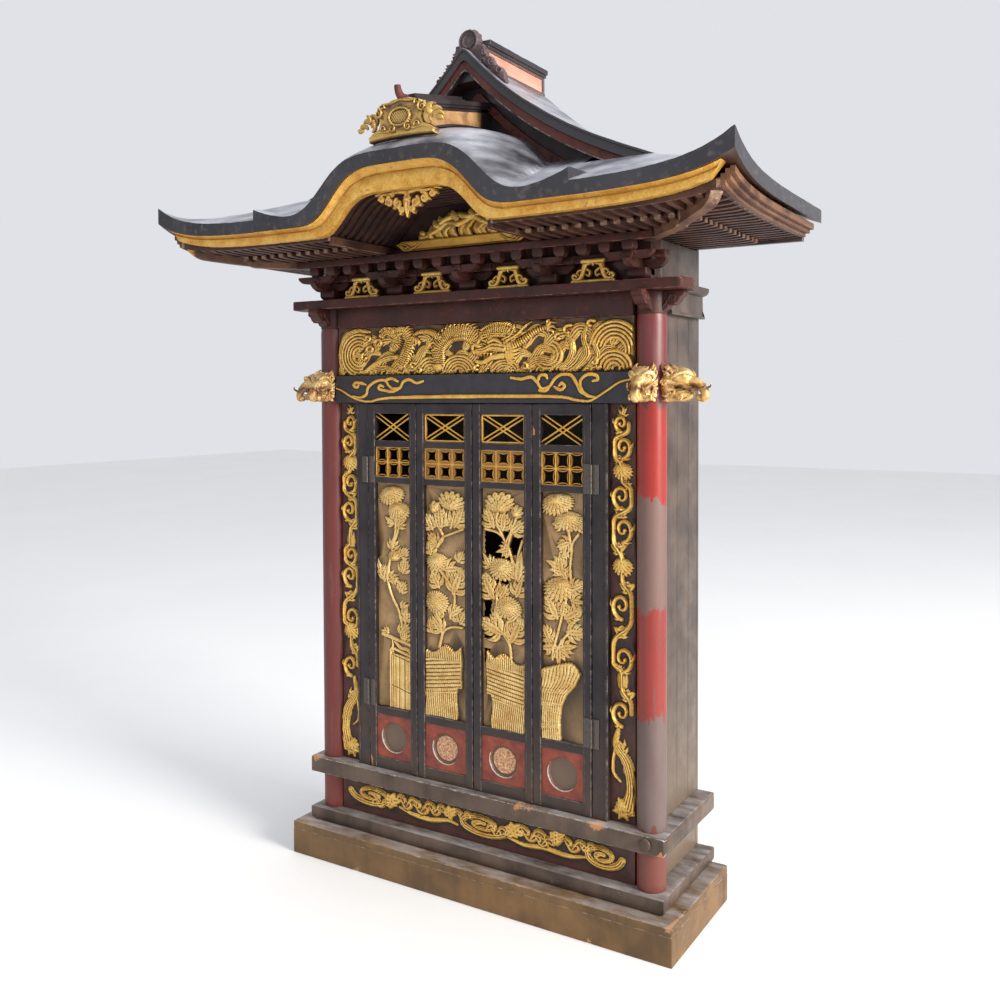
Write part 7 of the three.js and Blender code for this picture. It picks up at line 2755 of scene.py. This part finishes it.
@dataclass
class Ridges:
    """Both ridges, their end tiles, the pendant, and the gilded beam and carving deep in the vault.

    Attributes:
        ridge_foot, ridge_head: Heights of the main ridge's foot and head.
        tile_rear: y of the main end tile's back.
    """

    ridge_foot: float = 1887.4
    ridge_head: float = 1950
    tile_rear: float = 11.6

    def build(self, shop: Workshop) -> None:
        """Makes the ridges and ornaments."""
        self.main_ridge(shop)
        self.front_ridge(shop)
        self.main_tile(shop)
        self.front_tile(shop)
        self.pendant(shop)
        self.vault_beam(shop)

    def main_ridge(self, shop: Workshop) -> None:
        """A black cap that overhangs a frame with salmon-coloured panels."""
        y0, y1 = 12.2, 280
        caps = [board(-47, 47, y0, y1, 1938, self.ridge_head, 1.6, 0.8),
                board(-43.5, 43.5, y0, y1 - 3, 1931, 1938.4, 1, 0.6)]
        shop.publish("ridge_main_cap", caps, ROOF, ["ridge_main"])
        frame = [board(-41, 41, y0, y1 - 4, self.ridge_foot, 1894, 1.2, 0.8),
                 board(-40, 40, y0, y1 - 5, 1925.5, 1931.2, 1, 0.7)]
        frame += [board(-40, 40, y, y + 9, 1893.8, 1925.8, 1, 0.7) for y in (y0, y1 - 14)]
        shop.publish("ridge_main_frame", frame, MAUVE)
        shop.publish("ridge_main_panels", board(-36.5, 36.5, y0 + 4, y1 - 9, 1893, 1926, 1, 0.2), SALMON)

    @staticmethod
    def front_ridge(shop: Workshop) -> None:
        """Its caps climb a little to the back; the foot follows the roof's crown."""

        def cap(y: np.ndarray) -> np.ndarray:
            """The line that the caps climb along."""
            return 1748 + 0.2 * (y + 238)

        def seat(x: np.ndarray, y: np.ndarray) -> np.ndarray:
            """The roof's crown under the ridge."""
            return np.maximum(FORM.lower_top(0 * x, y), FORM.lower_top(0 * x + 36, y)) + 1.2

        def slab(half: float, y0: float, y1: float, low: float | None, high: float) -> Shape:
            """A slab along the ridge, down to its seat where no lower edge is given."""
            foot = (lambda x, y: cap(y) + low) if low is not None else seat
            made = sheet_between(np.array([-half, half]), stations([y0, y1], 14), lambda x, y: cap(y) + high,
                                 foot)
            return made.with_value("wear", 0.7 * made.values["top"])

        caps = [slab(38, -237.6, 41, 2.5, 12), slab(34, -237, 41, -3, 3), slab(26, -237.8, -60, 11.5, 17),
                slab(21, -237, -62, 16.5, 24)]
        frame = [slab(29, -237, 41, -9, -2), slab(29, -237, -226, None, -2), slab(29, 6, 41, None, -2)]
        foot = sheet_between(np.array([-30, 30]), stations([-237, 41], 14), lambda x, y: seat(x, y) + 5, seat)
        shop.publish("ridge_front_cap", caps, BLACK, ["ridge_front"])
        shop.publish("ridge_front_frame", [*frame, foot.with_value("wear", 0.6)], BLACK)
        shop.publish("ridge_front_panels", slab(25.5, -230, 12, None, -8), TAN)

    def main_tile(self, shop: Workshop) -> None:
        """A disc with a scalloped rim and an inner ring, over wings of rolled clouds."""
        art = Carving(-96, 96, 1843, 1978.6, 0.8)
        x, z = np.meshgrid(art.x, art.z, indexing="ij")
        seat = np.minimum(FORM.slope(FORM.span - np.abs(x)), FORM.seat) + 1.2
        middle = 1948.5
        angle = np.arctan2(z - middle, x)
        disc = 27.4 + 1.2 * np.cos(12 * angle) - np.hypot(x, z - middle)
        wing = np.interp(np.abs(x), [0, 36, 42, 48, 58, 64, 70, 84, 92, 94.5],
                         [1944, 1938, 1922, 1909, 1906, 1894, 1886, 1878, 1866, 1850]) - z
        keep = np.minimum(np.maximum(disc, wing), z - seat)
        art.height = art.height + 3.5 * np.clip(keep / 2, 0, 1)
        t = np.linspace(0, 2 * math.pi, 61)
        for r, w, h in ((23.4, 2.4, 9), (15, 1.6, 8), (7, 7, 6.5)):
            ring = np.stack([r * np.cos(t), middle + r * np.sin(t)], -1)
            art.stroke(ring if r > 8 else [(0, 1948), (0, 1949)], [w], [h])
        for k in range(12):
            a = math.radians(30 * k)
            art.stroke([(25.4 * math.cos(a), middle + 25.4 * math.sin(a))] * 2, [3.2], [8])
        for hand in (-1, 1):
            for cx, cz, r, a, turns in ((44, 1917, 10, 90, 1.3), (62, 1893, 12, 80, 1.35),
                                        (82, 1872, 11, 60, 1.3), (38, 1898, 8, 250, -1.2),
                                        (66, 1872, 7, 200, -1.2)):
                art.stroke(spiral(hand * cx, cz, r, r * 0.2, a if hand > 0 else 180 - a, turns * hand),
                           [3, 2.6, 2], [8, 7.5, 7])
        art.stroke([(-26, 1893), (26, 1893)], [2.4], [7])
        art.stroke([(-24, 1902), (24, 1902)], [1.6], [6])
        made = art.cut_out(0, self.tile_rear, keep=keep)
        shop.publish("ogre_tile_main_carved", made, MAUVE, ["ogre_tile_main"], sharp=65)

    @staticmethod
    def front_tile(shop: Workshop) -> None:
        """A shouldered shield with eared scrolls, a ringed oval, leaf wings, and a bent horn over it."""
        art = Carving(-116, 116, 1677, 1764, 0.75)
        x, z = np.meshgrid(art.x, art.z, indexing="ij")
        seat = np.maximum(FORM.lower_top(x, 0 * x - 266), FORM.lower_top(x, 0 * x - 244)) + 1.5
        head = np.interp(np.abs(x), [0, 22, 34, 46, 50, 60, 68, 70, 60, 64, 70],
                         [1761, 1760, 1756, 1751, 1750, 1748, 1742, 1730, 1720, 1712, 1698])
        shield = np.minimum(head - z,
                            np.interp(z, [1684, 1704, 1716, 1728, 1736, 1745],
                                      [74, 58, 54, 58, 68, 62]) - np.abs(x))
        foot = np.minimum(np.interp(np.abs(x), [0, 56, 72, 84], [1712, 1706, 1699, 1690]) - z, 84 - np.abs(x))
        keep = np.minimum(np.maximum(shield, foot), z - seat)
        art.height = art.height + 5 * np.clip(keep / 3, 0, 1)
        t = np.linspace(0, 2 * math.pi, 61)
        art.stroke(np.stack([26 * np.cos(t), 1722 + 17.5 * np.sin(t)], -1), [3], [11])
        art.stroke([(-8, 1722), (8, 1722)], [17], [8.5], flat=0.35)
        for k in range(-3, 4):
            art.stroke([(6 * k - 8, 1712), (6 * k + 8, 1732)], [1.2], [9.6])
            art.stroke([(6 * k + 8, 1712), (6 * k - 8, 1732)], [1.2], [9.6])
        for hand in (-1, 1):
            for cx, cz, r, a, turns, w in ((56, 1735, 11, 100, 1.3, 3.2), (46, 1747, 8, 200, -1.1, 2.6),
                                           (20, 1700, 9, 80, 1.4, 2.8), (44, 1702, 7, 200, -1.3, 2.4)):
                art.stroke(spiral(hand * cx, cz, r, r * 0.2, a if hand > 0 else 180 - a, turns * hand),
                           [w, w, w * 0.7], [11, 10, 9])
            art.stroke([(hand * 6, 1702)] * 2, [2.4], [9])
            art.stroke(smooth([(hand * 30, 1696), (hand * 56, 1698), (hand * 70, 1693), (hand * 82, 1688)],
                              16),
                       [4, 3.6, 2], [9, 8, 6], 1)
        art.stroke(smooth([(-44, 1752), (-20, 1752), (0, 1756), (20, 1752), (44, 1752)], 24), [3], [10])
        made = art.cut_out(-255, -241, keep=keep).with_value("gilt", 1)
        wings = []
        for side, size in ((Side.LEFT, 0.95), (Side.RIGHT, 1.15)):
            for k, (cx, cz, reach, lean) in enumerate(((80, 1712, 40, 60), (90, 1706, 36, 35),
                                                       (98, 1700, 28, 15), (84, 1702, 34, 100),
                                                       (104, 1695, 16, 0), (90, 1716, 26, 90))):
                a = np.radians(lean + np.linspace(0, 150, 16))
                curl = np.linspace(1, 0.35, 16) * reach * size * 0.5
                path = np.stack([cx - 6 + curl * np.cos(a), np.full(16, -252.0 - 1.8 * k) - 3 * np.sin(a),
                                 cz + 6 + curl * np.sin(a)], -1)
                path[:, 0] = np.minimum(path[:, 0], 118)
                wings.append(sweep(path, [1.6, 5.6, 5, 4, 2.4], 12, 0.9, (3, 0.22)).on(side))
        shop.publish("ogre_tile_front_carved", [made, gilded(wings).with_value("hollow", 0.45)], TAN_GOLD,
                     ["ogre_tile_front"], sharp=65)
        horn = sweep(smooth([(0, -240.5, 1763), (0, -252, 1762), (0, -262, 1768), (0, -267, 1777),
                             (0, -268, 1784)], 24),
                     [9.5, 9, 8, 7.2, 6.6], 18)
        shop.publish("ogre_tile_horn", horn.with_value("wear", 0.6), GABLE_RED)

    @staticmethod
    def pendant(shop: Workshop) -> None:
        """A pierced hanging of leaves: a pointed drop between two wings of scrolls."""
        art = Carving(-86, 86, 1518, 1581, 0.6)
        for hand in (-1, 1):
            stem = smooth([(hand * 4, 1572), (hand * 24, 1575), (hand * 50, 1572), (hand * 70, 1575),
                           (hand * 83, 1573)], 40)
            art.stroke(stem, [4.4, 4, 3.6, 2], [6, 7, 6, 4], 1)
            for cx, cz, r, a, turns in ((22, 1551, 10, 60, 1.35), (44, 1557, 9.5, 80, 1.3),
                                        (64, 1564, 7, 80, 1.2), (12, 1538, 6.5, 40, 1.1)):
                art.stroke(spiral(hand * cx, cz, r, r * 0.2, a if hand > 0 else 180 - a, -turns * hand),
                           [4.2, 3.8, 2.8], [8, 8, 7], 1, 0.3)
            for root, angle, size in (((30, 1546), -40, 9), ((52, 1556), -30, 8), ((15, 1533), -60, 8),
                                      ((70, 1566), -20, 9), ((36, 1566), 60, 10)):
                art.leaf(hand * root[0], root[1], angle if hand > 0 else 180 - angle, size, 7, 1, 3)
        art.stroke(smooth([(0, 1576), (0, 1556), (0, 1540), (0, 1521)], 20), [4, 9, 8, 1], [7, 10, 9, 4], 2,
                   0.3)
        art.bloom(0, 1557, 11, 10, 8)
        shop.publish("gable_pendant_carved", art.cut_out(-236, -230.6, level=1), GOLD_WORN,
                     ["gable_pendant"], sharp=65)

    @staticmethod
    def vault_beam(shop: Workshop) -> None:
        """A tie beam with shaped ends and engraved scrolls, and a knot of leaping waves and leaves on it."""
        art = Carving(-179, 179, 1481, 1509, 0.8)
        x, z = np.meshgrid(art.x, art.z, indexing="ij")
        reach = np.interp(z, [1482, 1487, 1493, 1500, 1504, 1508], [152, 163, 170, 178, 170, 164])
        keep = np.minimum(np.minimum(reach - np.abs(x), z - 1482.2), 1507.8 - z)
        art.height = art.height + 3 * np.clip(keep / 3, 0, 1)
        for hand in (-1, 1):
            for points in ([(176, 1500), (160, 1502), (146, 1496), (134, 1490), (120, 1494), (108, 1502)],
                           [(150, 1488), (136, 1487), (122, 1490)], [(158, 1495), (150, 1491), (142, 1494)]):
                art.stroke(smooth([(hand * a, b) for a, b in points], 26), [1.6, 2.2, 1.6], [5, 5.4, 4.6])
        art.stroke([(-146, 1485), (146, 1485)], [1.4], [4.6])
        beam = art.cut_out(-41, -16.4, keep=keep).with_value("gilt", 1)
        shop.publish("vault_beam", beam, GOLD, ["vault_carving"], sharp=60)
        knots = []
        rng = np.random.default_rng(11)
        for k in range(17):
            t = k / 16
            x0 = -104 + 208 * t
            tall = 50 * math.sin(math.pi * (0.08 + 0.84 * t)) + 6
            lean = rng.uniform(-16, 22)
            y = -31 + 5 * math.sin(2.4 * k)
            path = smooth([(x0, y, 1507), (x0 + lean * 0.2 - 7, y - 3, 1507 + tall * 0.35),
                           (x0 + lean * 0.7 + 6, y + 2, 1507 + tall * 0.7),
                           (x0 + lean, y - 2, 1507 + tall * 0.98), (x0 + lean + 9, y - 4, 1507 + tall * 0.84),
                           (x0 + lean + 5, y - 5, 1507 + tall * 0.7)], 40)
            path[:, 0] = np.clip(path[:, 0], -112, 112)
            knots.append(sweep(path, [5.2, 7.4, 6.4, 5.2, 4.0, 1.4], 12, 0.7, (3, 0.25)))
        for points in ([(-106, -34, 1512), (-70, -38, 1524), (-40, -32, 1540), (-6, -38, 1536),
                        (30, -33, 1548), (60, -38, 1536), (100, -33, 1516)],
                       [(-84, -30, 1520), (-50, -36, 1546), (-14, -31, 1556), (20, -37, 1550),
                        (56, -31, 1552), (84, -36, 1526)]):
            knots.append(sweep(smooth(points, 80), [3, 6.4, 7, 6.4, 3], 12, 0.85, (5, 0.12)))
        whole = gilded(knots)
        # Painted shade: the foliage is darker towards the back.
        deep = 0.42 + 0.3 * np.clip((whole.points[:, 1] + 32) / 10, -0.5, 1)
        shop.publish("vault_foliage", whole.with_value("hollow", deep), GOLD_WORN, sharp=70)


MAUVE = Timber("mauve_wood", dark=paint(66, 54, 56), light=paint(104, 88, 88), along="Y",
               stain=paint(78, 64, 66), cover=0.5)
SALMON = Timber("salmon_panel", dark=paint(176, 118, 100), light=paint(206, 152, 132), along="Y",
                stain=paint(190, 140, 124), cover=0.3)
TAN = Timber("tan_panel", dark=paint(150, 112, 70), light=paint(192, 152, 100), along="Y",
             stain=paint(120, 84, 56), cover=0.3)
TAN_GOLD = Gilding("gilding_tan", gold=paint(204, 172, 100), rich=paint(168, 130, 66), cut=paint(76, 52, 30),
                   worn=0.06)


# ---------------------------------------------------------------- studio


@dataclass
class Studio:
    """Floor, lights and camera.

    Attributes:
        eye: The camera's place in millimetres.
        yaw: How far it looks towards -x from +y, in degrees.
        pitch, roll: Its tilt down and its turn, in degrees.
        lens: Focal length for a sensor 36 mm wide.
        shift: Its vertical shift.
    """

    eye: tuple[float, float, float] = (1277.07, -1941.4, 1152.66)
    yaw: float = 31.72
    pitch: float = -1.58
    roll: float = -0.2
    lens: float = 36.7
    shift: float = -0.0772

    def build(self) -> None:
        """Sets up everything round the object."""
        self.camera()
        self.floor()
        self.sky()
        self.lamp("key", (6.4, -0.75, 2.84), (0, 0, 0.8), 2.4, 720, (1.0, 0.96, 0.9))
        self.lamp("front", (-1.6, -4.2, 2.4), (0, 0, 1.0), 2.8, 12, (1.0, 0.98, 0.95))
        self.lamp("top", (0.2, -0.6, 4.6), (0, 0, 1.6), 2.6, 30, (0.93, 0.96, 1.0))

    def camera(self) -> None:
        """The camera: its axes are the forward way from yaw and pitch, and right and up turned by roll."""
        yaw, pitch, roll = (math.radians(a) for a in (self.yaw, self.pitch, self.roll))
        forward = Vector((-math.sin(yaw) * math.cos(pitch), math.cos(yaw) * math.cos(pitch), math.sin(pitch)))
        right = Vector((math.cos(yaw), math.sin(yaw), 0))
        up = right.cross(forward)
        right, up = (right * math.cos(roll) + up * math.sin(roll),
                     up * math.cos(roll) - right * math.sin(roll))
        data = bpy.data.cameras.new("camera")
        data.lens, data.sensor_width, data.shift_y = self.lens, 36, self.shift
        data.clip_end = 50
        made = bpy.data.objects.new("camera", data)
        place = Matrix((right, up, -forward)).transposed().to_4x4()
        place.translation = Vector(self.eye) * METRES
        made.matrix_world = place
        bpy.context.scene.collection.objects.link(made)
        bpy.context.scene.camera = made

    @staticmethod
    def floor() -> None:
        """A pale floor, 28 m square."""
        mesh = bpy.data.meshes.new("floor")
        half = 14
        mesh.from_pydata([(-half, -half, 0), (half, -half, 0), (half, half, 0), (-half, half, 0)], [],
                         [(0, 1, 2, 3)])
        g = Graph("floor_paint")
        g.finish(g.mix(g.noise(900, 3), paint(238, 238, 238), paint(245, 245, 244)), 0.75)
        mesh.materials.append(g.material)
        made = bpy.data.objects.new("floor", mesh)
        bpy.context.scene.collection.objects.link(made)
        made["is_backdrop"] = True

    @staticmethod
    def sky() -> None:
        """An even pale surrounding."""
        world = bpy.data.worlds.new("studio")
        world.use_nodes = True
        background = world.node_tree.nodes["Background"]
        background.inputs[0].default_value = (0.93, 0.95, 1.0, 1)
        background.inputs[1].default_value = 0.8
        bpy.context.scene.world = world
        bpy.context.scene.view_settings.view_transform = "Standard"

    @staticmethod
    def lamp(name: str, place: Points, aim: Points, size: float, power: float, colour: Points) -> None:
        """A square soft light."""
        data = bpy.data.lights.new(name, "AREA")
        data.size, data.energy, data.color = size, power, colour
        made = bpy.data.objects.new(name, data)
        made.location = place
        made.rotation_euler = (Vector(aim) - Vector(place)).to_track_quat("-Z", "Y").to_euler()
        bpy.context.scene.collection.objects.link(made)


def corners(box: Sequence[Vector]) -> list[list[float]]:
    """A box as plain numbers."""
    return [[float(c) for c in corner] for corner in box]


def main() -> None:
    """Builds the shrine round its frame, then the studio."""
    logging.basicConfig(level=logging.INFO, format="%(name)s: %(message)s")
    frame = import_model()
    cad_box = corners(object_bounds())
    shop = Workshop()
    sections: list[object] = [Base(), Cabinet(), *(DoorLeaf(side, leaf) for side in Side for leaf in Leaf),
                              JambHinges(), Beams(), Beasts(), Brackets(), Roof(), Eaves(), Ridges()]
    for section in sections:
        section.build(shop)
    LOG.info("%d triangles in all", shop.triangles)
    left_showing = [n for n, o in frame["nodes"].items() if not o.hide_render]
    LOG.info("frame nodes left showing: %s", left_showing)
    Studio().build()
    {"cad": cad_box, "visual": corners(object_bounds())}


if __name__ == "__main__":
    main()
